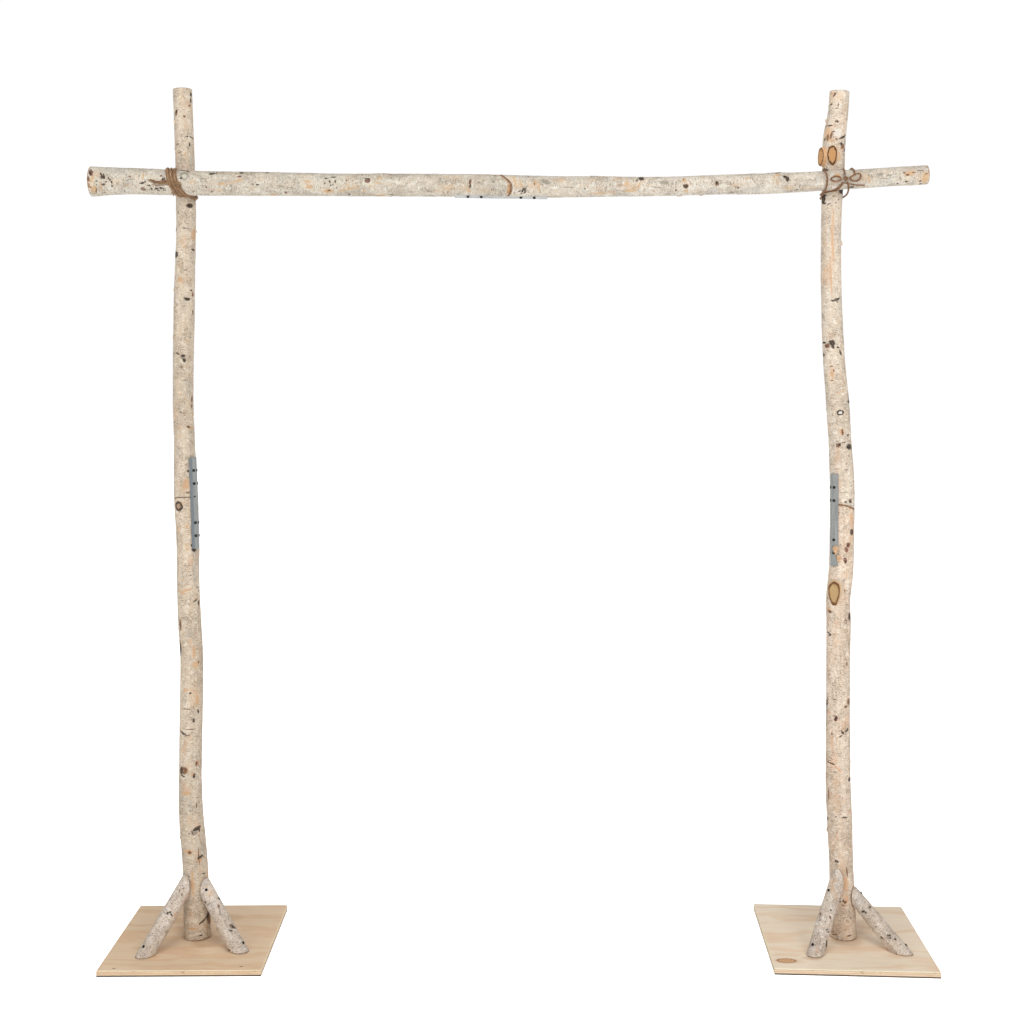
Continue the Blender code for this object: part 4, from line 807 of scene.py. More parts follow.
def mark_slots(pole, marks, corners, r0):
    """The marks that reach each face, as attributes of the face's corners: the
    corner's place measured from the mark's middle, and the mark's half widths.
    corners is (faces, 4, 2) in the texture plane."""
    faces = len(corners)
    middle = corners.mean(1)
    rows = []
    for kind, angle, s, a, b, turn, lift in marks:
        a, b = max(a, 0.0014), max(b, 0.0014)
        if kind in "EC":
            rows.append(("eye" if kind == "E" else "W", angle, s, a * 0.75, b * 0.75, turn))
            rows.append(("ring", angle, s, a, b, turn))
        else:
            rows.append((kind, angle, s, a, b, turn))
    order = list(SOFT_KINDS) + list(HARD_KINDS)
    rows.sort(key=lambda row: order.index(row[0]))
    out = {}
    for slot in SOFT_SLOTS + HARD_SLOTS:
        p = np.zeros((faces, 4, 3), np.float32)
        p[:, :, :2] = 0.5
        q = np.full((faces, 4, 3), 0.001, np.float32)
        q[:, :, 2] = 0.0
        out[slot] = (p, q)
    filled = {True: np.zeros(faces, int), False: np.zeros(faces, int)}
    around = 2 * math.pi * r0
    for kind, angle, s, a, b, turn in rows:
        is_soft = kind in SOFT_KINDS
        slots = SOFT_SLOTS if is_soft else HARD_SLOTS
        code = (SOFT_KINDS if is_soft else HARD_KINDS)[kind][0]
        size = np.array((b, a) if pole.kind == "bar" else (a, b))
        c, w = math.cos(math.radians(turn)), math.sin(math.radians(turn))
        for lap in (-1, 0, 1):
            if pole.kind == "bar":
                centre = np.array((s, -angle * r0 + lap * around))
            else:
                centre = np.array((angle * r0 + lap * around, s))
            rel = middle - centre
            loc = np.c_[rel[:, 0] * c + rel[:, 1] * w, -rel[:, 0] * w + rel[:, 1] * c]
            # the noise moves an edge by up to 4 mm, and a face reaches 3 mm from its middle
            near = (np.abs(loc) < size * 1.45 + 0.0075).all(1)
            if not near.any():
                continue
            index = np.nonzero(near)[0]
            count = filled[is_soft]
            for n, slot in enumerate(slots):
                pick = index[count[index] == n]
                if not len(pick):
                    continue
                relc = corners[pick] - centre
                p, q = out[slot]
                p[pick, :, 0] = relc[:, :, 0] * c + relc[:, :, 1] * w
                p[pick, :, 1] = -relc[:, :, 0] * w + relc[:, :, 1] * c
                p[pick, :, 2] = code
                q[pick, :, 0], q[pick, :, 1] = size
                q[pick, :, 2] = 0.86 if kind == "ring" else 0.0
            # a full face keeps its marks, and this one is left off there
            count[index] += 1
    return out


def placed_marks(name, pole, seed, s0, s1):
    """Marks on one pole as (kind, angle, s, half width round, half width along,
    turn, lift): the ones seen from the front, then a few on the far side."""
    out = []
    for row in MARKS[name]:
        kind, u, v, hw, hh, turn = row[:6]
        lift = row[6] if len(row) > 6 else 0.0
        s, angle, facing, depth = pole.hit(u, v)
        px = depth / FOCAL_PX
        if pole.kind == "bar":
            out.append((kind, angle, s, hh * px / facing, hw * px, turn, lift))
        elif pole.kind == "post":
            out.append((kind, angle, s, hw * px / facing, hh * px, turn, lift))
        else:
            # a sloping pole: turn the mark into the pole's own directions
            t, n, b = (w[0] for w in pole.axes(s))
            lean = math.degrees(math.atan2(t[0], t[2]))
            out.append((kind, angle, s, hw * px / max(facing, 0.6), hh * px, turn + lean, lift))
    rng = np.random.default_rng(seed)
    mid, spread = (math.pi, 1.9)
    count = int(abs(s1 - s0) / 0.045) + 3
    kinds = list("KKKBBOOTTTffFGWERK")
    for _ in range(count):
        angle = mid + rng.uniform(-spread, spread)
        angle = (angle + math.pi) % (2 * math.pi) - math.pi
        if math.pi - abs(angle) < 0.22:
            angle = math.copysign(math.pi - 0.3, angle)
        kind = kinds[rng.integers(len(kinds))]
        s = rng.uniform(min(s0, s1) + 0.03, max(s0, s1) - 0.03)
        a = rng.uniform(0.0015, 0.006)
        if kind in "TfFO":
            a = rng.uniform(0.006, 0.018)
        b = a * rng.uniform(0.5, 1.3)
        lift = 0.0
        if kind in "KGE" and rng.random() < 0.5:
            a, b, lift = a * 1.5, b * 1.4, rng.uniform(0.8, 1.8)
        out.append((kind, angle, s, a, b, rng.uniform(-30, 30), lift))
    return out


def bark_material(name, pole, marks, seed, warm=0.0, grey=0.0, speckle=0.0, r0=0.033, rims=(), cool=0.0, tint=(1.0, 1.0, 1.0)):
    """Birch bark: cream and grey-white, with tan where the top layer has gone,
    short lenticels round the stem, and the marks of this pole."""
    k = Look(name)
    co = k.vmath("ADD", k.attr("bark"), (seed * 0.731, seed * 0.417, seed * 1.193))
    uv = k.uv()
    # broad change of tone, stretched along the stem
    broad = k.noise(k.scaled(co, (1, 1, 0.30)), 11.0, 3.0, 0.55)
    mottle = k.noise(k.scaled(co, (1, 1, 1.3)), 70.0, 5.0, 0.68)
    mottle2 = k.noise(k.scaled(co, (1, 1, 1.7), (3.1, 1.7, 2.2)), 165.0, 4.0, 0.66)
    fine = k.noise(k.scaled(co, (1, 1, 2.4)), 400.0, 3.0, 0.65)
    cream = k.mix(k.span(broad, 0.35, 0.66), srgb(226, 209, 184), srgb(208, 190, 164))
    cream = k.mix(k.span(mottle, 0.46, 0.66), cream, srgb(240, 229, 209))
    cream = k.mix(k.math("MULTIPLY", k.span(mottle2, 0.50, 0.64), 0.68), cream, srgb(176, 156, 129))
    # grey weathered film
    film = k.noise(k.scaled(co, (1, 1, 0.6), (7.7, 2.1, 4.4)), 26.0, 5.0, 0.65)
    cream = k.mix(k.math("MULTIPLY", k.span(film, 0.52 - 0.10 * grey, 0.72 - 0.10 * grey), 0.60 + 0.25 * grey),
                  cream, srgb(188, 180, 166))
    # tan and peach where the outer layer has peeled
    peel = k.noise(k.scaled(co, (1, 1, 0.42), (1.3, 9.1, 6.6)), 32.0, 6.0, 0.70, 0.3)
    tan = k.mix(k.span(mottle2, 0.38, 0.60), srgb(206, 163, 124), srgb(229, 195, 160))
    peel_mask = k.math("MULTIPLY", k.span(peel, 0.57 - 0.055 * warm, 0.64 - 0.055 * warm), 0.66)
    cream = k.mix(peel_mask, cream, tan)
    # thin threads along the stem
    thread = k.noise(k.scaled(co, (1, 1, 0.06)), 165.0, 2.0, 0.5)
    cream = k.mix(k.math("MULTIPLY", k.span(thread, 0.56, 0.68), 0.34), cream, srgb(200, 172, 141))
    # fine curling cracks, here thick and there none
    curl = k.noise(k.scaled(co, (1, 1, 1.25), (8.1, 0.9, 3.9)), 190.0, 1.5, 0.5, 0.5)
    curl_where = k.noise(k.scaled(co, (1, 1, 0.8), (2.9, 5.1, 0.4)), 34.0, 3.0, 0.6)
    curl_line = k.math("MULTIPLY", k.span(k.math("ABSOLUTE", k.math("SUBTRACT", curl, 0.5)), 0.046, 0.014),
                       k.span(curl_where, 0.47, 0.58))
    cream = k.mix(k.math("MULTIPLY", curl_line, 0.80), cream, srgb(122, 99, 76))
    # lenticels: short dark dashes round the stem
    dash = k.noise(k.scaled(co, (1, 1, 5.5)), 74.0, 2.0, 0.5)
    where = k.noise(k.scaled(co, (1, 1, 0.7), (4.2, 3.3, 8.8)), 19.0, 2.0)
    dash_mask = k.math("MULTIPLY", k.span(dash, 0.60, 0.67), k.span(where, 0.38, 0.56))
    cream = k.mix(k.math("MULTIPLY", dash_mask, 0.80), cream, srgb(138, 108, 80))
    # small dark specks
    vor = k.voronoi(k.scaled(co, (1, 1, 1.35)), 150.0)
    pick = k.voronoi(k.scaled(co, (1, 1, 1.35)), 150.0, output="Color")
    speck = k.math("MULTIPLY", k.span(vor, 0.34, 0.20),
                   k.span(k.parts(pick)[0], 0.76 - 0.25 * speckle, 0.80 - 0.25 * speckle))
    cream = k.mix(k.math("MULTIPLY", speck, 0.70), cream, srgb(126, 101, 78))
    vor2 = k.voronoi(k.scaled(co, (1, 1, 1.9), (2.0, 5.0, 1.0)), 88.0)
    pick2 = k.voronoi(k.scaled(co, (1, 1, 1.9), (2.0, 5.0, 1.0)), 88.0, output="Color")
    speck2 = k.math("MULTIPLY", k.span(vor2, 0.24, 0.12), k.span(k.parts(pick2)[1], 0.84, 0.87))
    cream = k.mix(k.math("MULTIPLY", speck2, 0.85), cream, srgb(80, 63, 49))
    cream = k.mix(k.math("MULTIPLY", k.span(fine, 0.46, 0.64), 0.26), cream, srgb(247, 240, 226))
    cream = k.mix(k.math("MULTIPLY", k.span(fine, 0.50, 0.36), 0.20), cream, srgb(160, 142, 118))

    if cool:
        cream = k.mix(cool, cream, k.mix(1.0, cream, (0.97, 1.0, 1.16, 1.0), "MULTIPLY"))

    # the pole's own marks, with ragged edges
    ragged = k.vmath("SUBTRACT", k.noise(co, 330.0, 3.0, 0.6, colour=True), (0.5, 0.5, 0.5))
    ragged2 = k.vmath("SUBTRACT", k.noise(co, 95.0, 2.0, 0.5, colour=True), (0.5, 0.5, 0.5))
    shift = k.vmath("ADD", k.vmath("MULTIPLY", ragged, (0.0052, 0.0052, 0.0)),
                    k.vmath("MULTIPLY", ragged2, (0.0042, 0.0042, 0.0)))
    hatch = k.noise(k.scaled(co, (1, 1, 2.2), (5.5, 0.3, 2.7)), 230.0, 3.0, 0.7, 0.6)
    soft = k.noise(k.scaled(co, (1, 1, 0.8), (0.5, 6.3, 1.7)), 170.0, 4.0, 0.70)
    soft_grain = k.span(soft, 0.40, 0.60)
    fleck_grain = k.span(hatch, 0.57, 0.63)
    patch_grain = k.span(hatch, 0.30, 0.55, 0.45, 0.85)
    solid_grain = k.span(hatch, 0.62, 0.46, 0.55, 1.0)

    def reach(slot):
        """Distance from the middle of the mark in a slot, 1 at its edge, and its kind."""
        px, py, kind = k.parts(k.attr(slot + "_p"))
        qx, qy, ring = k.parts(k.attr(slot + "_q"))
        place = k.vmath("ADD", k.join(px, py, 0.0), shift)
        d = k.vmath("LENGTH", k.vmath("DIVIDE", place, k.join(qx, qy, 1.0)))
        d = k.math("MULTIPLY", k.math("ABSOLUTE", k.math("SUBTRACT", d, ring)),
                   k.math("MULTIPLY_ADD", ring, 2.9, 1.0))
        return d, kind

    colour, dark = cream, None
    for slot in SOFT_SLOTS:
        d, kind = reach(slot)
        grain = k.node("ShaderNodeMix", data_type="FLOAT")
        k.put(grain.inputs[0], k.math("MULTIPLY", kind, 2.0, clamp=True))
        k.put(grain.inputs[2], soft_grain)
        k.put(grain.inputs[3], fleck_grain)
        amount = k.math("MULTIPLY", k.span(d, 1.15, 0.35), grain.outputs[0])
        colour = k.mix(k.math("MULTIPLY", amount, 0.66), colour, k.kinds(kind, SOFT_KINDS))
    for slot in HARD_SLOTS:
        d, kind = reach(slot)
        solid = k.math("GREATER_THAN", kind, 0.5)
        grain = k.node("ShaderNodeMix", data_type="FLOAT")
        k.put(grain.inputs[0], solid)
        k.put(grain.inputs[2], patch_grain)
        k.put(grain.inputs[3], solid_grain)
        amount = k.math("MULTIPLY", k.span(d, 1.20, 0.72), grain.outputs[0])
        colour = k.mix(amount, colour, k.kinds(kind, HARD_KINDS))
        sunk = k.math("MULTIPLY", amount, k.math("GREATER_THAN", kind, 0.8))
        dark = sunk if dark is None else k.math("MAXIMUM", dark, sunk)
    sunk_tone = k.mix(k.span(hatch, 0.45, 0.66), srgb(50, 40, 32), srgb(112, 90, 70))
    colour = k.mix(k.math("MULTIPLY", dark, 0.8), colour, sunk_tone)

    # chipped bark beside the saw cuts, and a thin dark line at each cut end, partly the bark's dark edge and partly
    # painted shade in the joint and where the foot meets the board; "rim" holds the way to the low and the high end
    rim_at = k.parts(k.attr("rim"))
    edge_noise = k.noise(k.scaled(co, (1, 1, 0.2)), 90.0, 3.0, 0.6)
    for which, width, tone, line in rims:
        off = rim_at[which]
        lim = k.math("MULTIPLY", k.span(edge_noise, 0.34, 0.66), width)
        chip = k.math("MULTIPLY", k.span(k.math("SUBTRACT", off, lim), 0.0014, -0.0006), 0.85)
        colour = k.mix(chip, colour, k.mix(k.span(hatch, 0.35, 0.65), tone, srgb(168, 122, 82)))
        # partly painted shade: the thin dark line right at the cut end
        colour = k.mix(k.math("MULTIPLY", k.span(off, line + 0.0010, line), 0.85), colour, srgb(104, 72, 48))
    # the tint is partly each pole's own tone and partly painted shade: the left-hand poles are made darker
    colour = k.mix(1.0, colour, (*tint, 1.0), "MULTIPLY")

    # relief
    height = k.math("ADD", k.math("MULTIPLY", mottle, 0.55), k.math("MULTIPLY", mottle2, 0.35))
    height = k.math("ADD", height, k.math("MULTIPLY", fine, 0.14))
    height = k.math("SUBTRACT", height, k.math("MULTIPLY", peel_mask, 0.22))
    height = k.math("SUBTRACT", height, k.math("MULTIPLY", dash_mask, 0.20))
    height = k.math("SUBTRACT", height, k.math("MULTIPLY", speck, 0.25))
    height = k.math("SUBTRACT", height, k.math("MULTIPLY", curl_line, 0.30))
    height = k.math("SUBTRACT", height, k.math("MULTIPLY", dark, 0.55))
    normal = k.bump(height, 0.0014, 0.75)
    rough = k.span(mottle, 0.3, 0.7, 0.80, 0.62)
    return k.finish(colour, rough, normal, specular=0.35)


def sawn_material(name, seed=0.0, tone=(206, 160, 112), radial=True):
    """Sawn birch end grain: growth rings, rays, saw scratches and a dark bark rim."""
    k = Look(name)
    co = k.attr("bark")
    x, y, z = k.parts(co)
    flat = k.join(x, y, 0.0)
    warp = k.vmath("SUBTRACT", k.noise(k.vmath("ADD", flat, (seed, seed * 2.0, 0.0)), 55.0, 3.0, 0.5, colour=True),
                   (0.5, 0.5, 0.5))
    warped = k.vmath("ADD", flat, k.vmath("MULTIPLY", warp, (0.006, 0.006, 0.0)))
    r = k.vmath("LENGTH", warped)
    rings = k.math("SINE", k.math("MULTIPLY", r, 2 * math.pi / 0.0027))
    rings = k.span(rings, -0.4, 1.0)
    fine = k.noise(k.scaled(flat, (1, 1, 1)), 700.0, 2.0, 0.6)
    scratch = k.noise(k.scaled(flat, (60, 900, 1)), 1.0, 2.0, 0.5)
    stain = k.noise(flat, 48.0, 4.0, 0.6)
    light, dark = srgb(*tone), srgb(*(int(c * 0.84) for c in tone))
    colour = k.mix(k.math("MULTIPLY", rings, 0.55), light, dark)
    colour = k.mix(k.math("MULTIPLY", k.span(stain, 0.5, 0.75), 0.5), colour, srgb(176, 128, 86))
    colour = k.mix(k.math("MULTIPLY", k.span(scratch, 0.55, 0.75), 0.3), colour, srgb(228, 190, 148))
    colour = k.mix(k.math("MULTIPLY", k.span(fine, 0.45, 0.7), 0.25), colour, srgb(150, 108, 70))
    pith = k.span(r, 0.0016, 0.0006)
    colour = k.mix(pith, colour, srgb(96, 66, 42))
    # a drying check from the pith
    ray = k.math("MULTIPLY", k.span(k.math("ABSOLUTE", k.parts(warped)[1]), 0.0007, 0.0002),
                 k.span(k.parts(warped)[0], 0.0, 0.004))
    colour = k.mix(k.math("MULTIPLY", ray, 0.8), colour, srgb(84, 58, 38))
    # the rim of bark, where the third coordinate nears 1
    rim = k.span(z, 0.925, 0.955)
    colour = k.mix(rim, colour, k.mix(k.span(fine, 0.4, 0.6), srgb(110, 72, 46), srgb(152, 112, 78)))
    height = k.math("ADD", k.math("MULTIPLY", rings, 0.3), k.math("MULTIPLY", scratch, 0.5))
    height = k.math("SUBTRACT", height, k.math("MULTIPLY", ray, 1.0))
    return k.finish(colour, 0.78, k.bump(height, 0.0005, 0.7), specular=0.3)


# ----------------------------------------------------------------- poles
def relief(pole, marks, s, angle, radius, seed, bark, ds_fade):
    """How far the bark stands out from the round stem, in metres."""
    out = 0.00055 * fbm(bark * np.array((14, 14, 9)) + seed, seed, 2)
    out = out + 0.00040 * fbm(bark * np.array((45, 45, 26)) + seed, seed + 5, 2)
    out = out + 0.00022 * fbm(bark * np.array((70, 70, 190)) + seed, seed + 9, 2)
    lap = fbm(bark * np.array((16, 16, 30)) + 2.2 * seed, seed + 14, 3)
    out = out + 0.00028 * (smoothstep(0.10, 0.16, lap) - 0.4)
    for kind, ma, ms, a, b, turn, lift in marks:
        if not lift:
            continue
        near = np.abs(s - ms) < max(a, b) * 4 + 0.004
        if not near.any():
            continue
        da = (angle[near] - ma + math.pi) % (2 * math.pi) - math.pi
        x, y = da * radius[near], s[near] - ms
        if pole.kind == "bar":
            x, y = s[near] - ms, -da * radius[near]
            sx, sy = b, a
        else:
            sx, sy = a, b
        c, q = math.cos(math.radians(turn)), math.sin(math.radians(turn))
        x, y = (x * c + y * q) / max(sx, 0.0022), (-x * q + y * c) / max(sy, 0.0022)
        d = np.sqrt(x * x + y * y)
        if lift > 0:      # a collar with a sunken middle
            bump = np.exp(-(d / 1.55) ** 2) - 0.55 * np.exp(-(d / 0.62) ** 2)
        else:
            bump = smoothstep(1.5, 0.4, d)
        out[near] += lift * MM * bump
    return out * ds_fade


def pole_mesh(name, pole, marks, s0, s1, seed, mats, node, low_cap, high_cap, r0,
              low_plane=None, high_plane=None, step=0.0034, sides=96, extra=None, chamfer=0.0009,
              low_shift=None, high_shift=None, seat=None):
    """A stem from s0 to s1 with bark relief.  A plane is (point, normal): the end
    is cut there instead of square."""
    count = max(8, int(round(abs(s1 - s0) / step)))
    s_row = np.linspace(s0, s1, count + 1)
    # short steps at the ends for the chamfer
    e = np.array([0.0, 0.0004, 0.0012, 0.0022])
    s_row = np.r_[s0 + e, s_row[(s_row > s0 + 0.0035) & (s_row < s1 - 0.0035)], s1 - e[::-1]]
    a_col = (np.arange(sides) / sides) * 2 * math.pi - math.pi
    rows, cols = len(s_row), sides
    c, r = pole.at(s_row)
    t, n, b = pole.axes(s_row)
    if low_plane == "level":      # the foot stands square on the board
        w = smoothstep(0.05, 0.0, s_row - s0)[:, None]
        up = np.array([[0.0, 0.0, 1.0]])
        t = unit(t * (1 - w) + up * w)
        n = unit(n - t * (n * t).sum(1, keepdims=True))
        b = np.cross(t, n)
    S = np.repeat(s_row, cols)
    A = np.tile(a_col, rows)
    R = np.repeat(r, cols)
    bark = np.c_[np.cos(A) * r0, np.sin(A) * r0, S]
    dist_end = np.minimum(S - s0, s1 - S)
    fade = smoothstep(-0.001, 0.006, dist_end) * 0.7 + 0.3
    d = relief(pole, marks, S, A, R, seed, bark, fade)
    if extra is not None:
        d = d + extra(S, A, R)
    d = d - chamfer * smoothstep(0.0018, 0.0, dist_end)
    N, B, T = np.repeat(n, cols, 0), np.repeat(b, cols, 0), np.repeat(t, cols, 0)
    C = np.repeat(c, cols, 0)
    rim = np.c_[S - s0, s1 - S, np.zeros(len(S))]
    if low_shift is not None or high_shift is not None:
        # the saw cut at the seam isn't square: each line along the stem ends elsewhere
        move = np.zeros(len(S))
        if low_shift is not None:
            move += low_shift(A) * smoothstep(0.12, 0.0, S - s0)
        if high_shift is not None:
            move += high_shift(A) * smoothstep(0.12, 0.0, s1 - S)
        S = S + move
        C, R = pole.at(S)
        T, N, B = pole.axes(S)
        bark = np.c_[np.cos(A) * r0, np.sin(A) * r0, S]
    out_dir = N * np.cos(A)[:, None] + B * np.sin(A)[:, None]
    if seat is not None:
        d = np.minimum(R + d, seat(C, out_dir, R + d)) - R
    verts = C + out_dir * (R + d)[:, None]
    if low_plane is not None and not isinstance(low_plane, str):
        # every line along the pole runs from one cut plane to the other
        lp, ln = low_plane
        hp, hn = high_plane
        base = verts
        lo = ((lp - base) @ ln) / (T @ ln)
        hi = ((hp - base) @ hn) / (T @ hn)
        first = (S - s0)
        s_lo = S + lo
        s_hi = S + hi
        # the cuts' places per column, read from the middle row so that they are steady
        m = rows // 2
        col_lo = s_lo.reshape(rows, cols)[m]
        col_hi = s_hi.reshape(rows, cols)[m]
        f = (s_row - s0) / (s1 - s0)
        target = col_lo[None, :] + (col_hi - col_lo)[None, :] * f[:, None]
        verts = verts + T * (target.ravel() - S)[:, None]
        for row, (pp, nn) in ((0, low_plane), (rows - 1, high_plane)):
            sl = slice(row * cols, (row + 1) * cols)
            k = ((pp - verts[sl]) @ nn) / (T[sl] @ nn)
            verts[sl] = verts[sl] + T[sl] * k[:, None]
        S = target.ravel()
        bark = np.c_[np.cos(A) * r0, np.sin(A) * r0, S]
        rim = np.c_[S - np.tile(col_lo, rows), np.tile(col_hi, rows) - S, np.zeros(len(S))]
    side = grid_quads(rows, cols)
    # texture coordinates with a clean seam at the back
    i = side
    ang = A[i]
    last = (np.arange(len(side)) % cols) == cols - 1
    ang[last, 1] += 2 * math.pi
    ang[last, 2] += 2 * math.pi
    if pole.kind == "bar":
        uv_side = np.stack([S[i], -ang * r0], -1)
    else:
        uv_side = np.stack([ang * r0, S[i]], -1)
    all_verts, all_bark, all_rim = [verts], [bark], [rim]
    faces, fm, uvs = [side], [0], [uv_side.reshape(-1, 2)]
    start = len(verts)
    for row, flip, cap in ((0, True, low_cap), (rows - 1, False, high_cap)):
        ring = verts[row * cols:(row + 1) * cols]
        centre = ring.mean(0)
        fr = np.array([0.965, 0.90, 0.78, 0.62, 0.46, 0.30, 0.14])
        plane_n = T[row * cols] if isinstance(low_plane, (str, type(None))) else (low_plane if row == 0 else high_plane)[1]
        cap_v, cap_b = [], []
        sag = np.array([0.00000, 0.00018, 0.00022, 0.00022, 0.00020, 0.00020, 0.00020]) * cap
        for f, g in zip(fr, sag):
            q = centre + (ring - centre) * f
            rough = noise3(q * 160.0 + 7.0 * seed, seed + 3) * 0.00010 * cap
            inward = 1.0 if row == 0 else -1.0
            if not isinstance(low_plane, (str, type(None))):
                inward = 1.0 if (T[row * cols] @ plane_n) * (1 if row == 0 else -1) > 0 else -1.0
            q = q + plane_n * inward * (g + np.abs(rough))[:, None]
            cap_v.append(q)
            rr = np.linalg.norm(ring - centre, axis=1) * f
            cap_b.append(np.c_[rr * np.cos(a_col), rr * np.sin(a_col), np.full(cols, f)])
        cap_v.append(cap_v[-1].mean(0)[None])
        cap_b.append(np.array([[0.0, 0.0, 0.0]]))
        cv, cb = np.concatenate(cap_v), np.concatenate(cap_b)
        # the cap has its own copy of the rim, so that the bark's edge is crisp
        cv = np.r_[ring, cv]
        rr = np.linalg.norm(ring - centre, axis=1)
        cb = np.r_[np.c_[rr * np.cos(a_col), rr * np.sin(a_col), np.ones(cols)], cb]
        q = grid_quads(len(fr) + 1, cols, start=start)
        j = np.arange(cols)
        jn = (j + 1) % cols
        base = start + len(fr) * cols
        tri = np.c_[base + j, base + jn, np.full(cols, start + len(cv) - 1)]
        if flip:
            q, tri = q[:, ::-1], tri[:, ::-1]
        all_verts.append(cv)
        all_bark.append(cb)
        all_rim.append(np.ones((len(cv), 3)))
        faces += [q, tri]
        fm += [1, 1]
        uvs += [np.zeros((q.size, 2)), np.zeros((tri.size, 2))]
        start += len(cv)
    loops = sum(f.size for f in faces)
    held = {}
    for slot, (p, q) in mark_slots(pole, marks, uv_side, r0).items():
        for key, values, blank in (("_p", p, (0.5, 0.5, 0.0)), ("_q", q, (0.001, 0.001, 0.0))):
            whole = np.empty((loops, 3), np.float32)
            whole[:] = blank
            whole[:side.size] = values.reshape(-1, 3)
            held[slot + key] = whole
    obj = build_mesh(name, np.concatenate(all_verts), faces, mats, fm,
                     uv=np.concatenate(uvs), bark=np.concatenate(all_bark), corners=held,
                     points={"rim": np.concatenate(all_rim)})
    weld_rims(obj)
    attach(obj, "root")
    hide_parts(node)
    return obj


def weld_rims(obj):
    """Join the caps to the stem, and keep the rims crisp."""
    bm = bmesh.new()
    bm.from_mesh(obj.data)
    bmesh.ops.remove_doubles(bm, verts=bm.verts, dist=0.000002)
    for e in bm.edges:
        if len(e.link_faces) == 2 and e.link_faces[0].material_index != e.link_faces[1].material_index:
            e.smooth = False
    bm.to_mesh(obj.data)
    bm.free()


SAWN = sawn_material("sawn_birch", 1.0)
SAWN_PALE = sawn_material("sawn_birch_pale", 4.0, (222, 182, 138))

BAND = srgb(200, 158, 116)
SAW_TAN = srgb(196, 142, 94)
RUST = srgb(172, 118, 82)


def seam_left(a):
    return 0.0085 * np.cos(a)


def seam_right(a):
    return 0.0100 * np.cos(a) - 0.0080 * np.sin(a)


def seam_bar(a):
    w = np.where(np.cos(a) > 0, 1.0, np.abs(np.sin(a)))
    return (-0.022 * np.sin(a) ** 2 + 0.012 * np.sin(a)) * w


ANGLES = {
    # name: pole, middle, facing, filled holes of the leg that shows, of the other leg, inset, tone
    "left_post_splice_angle": (POST_L, 1.299, (0.809, -0.587, 0.0), (0, 1, 3, 4, 5), 0.0),
    "right_post_splice_angle": (POST_R, 1.250, (-0.766, -0.642, 0.0), (0, 1, 4, 5), 0.0),
    "crossbar_splice_angle": (BAR, -0.034, (0.0, 0.275, -0.962), (0, 1, 4, 5), 0.0105),
}


def angle_frame(name):
    """The outer corner's middle, and the directions along both legs and along the angle."""
    pole, middle, facing, holes, inset = ANGLES[name]
    half = ANGLE_LENGTH / 2
    a, b = pole.at(middle - half)[0][0], pole.at(middle + half)[0][0]
    axis = unit(b - a)
    facing = np.array(facing)
    facing = unit(facing - axis * (facing @ axis))
    lateral = unit(np.cross(axis, facing))
    mid = (a + b) / 2
    root = math.sqrt(0.5)
    corner = 0.0
    for k in range(15):
        centre, radius = pole.at(middle - half + ANGLE_LENGTH * k / 14)
        off, radius = centre[0] - mid, radius[0]
        for inward, side in ((ANGLE_LEG * root, ANGLE_LEG * root),
                             ((ANGLE_LEG + ANGLE_THICK) * root, (ANGLE_LEG - ANGLE_THICK) * root)):
            for sign in (-1, 1):
                e = sign * side - off @ lateral
                if abs(e) < radius:
                    corner = max(corner, off @ facing + math.sqrt(radius ** 2 - e ** 2) + GAP + inward)
    corner -= inset
    x, y = unit(-facing + lateral), unit(-facing - lateral)
    return mid + facing * corner, x, y, np.cross(x, y)


def bar_seat(centres, out, radius):
    """The largest radius that keeps the bark under the crossbar's angle."""
    o, x, y, z = angle_frame("crossbar_splice_angle")
    limit = radius.copy()
    rel = centres - o
    along = np.abs((rel + out * radius[:, None]) @ z) < ANGLE_LENGTH / 2 + 0.0006
    room = ANGLE_THICK + GAP + 0.0002
    for one, other in ((x, y), (y, x)):
        slope = out @ other
        reach = (room - rel @ other) / np.where(slope < -0.05, slope, -0.05)
        lies = (rel + out * limit[:, None]) @ one < ANGLE_LEG + GAP
        hit = along & (slope < -0.05) & lies & (reach < limit) & (reach > 0.012)
        limit = np.where(hit, reach, limit)
    return limit


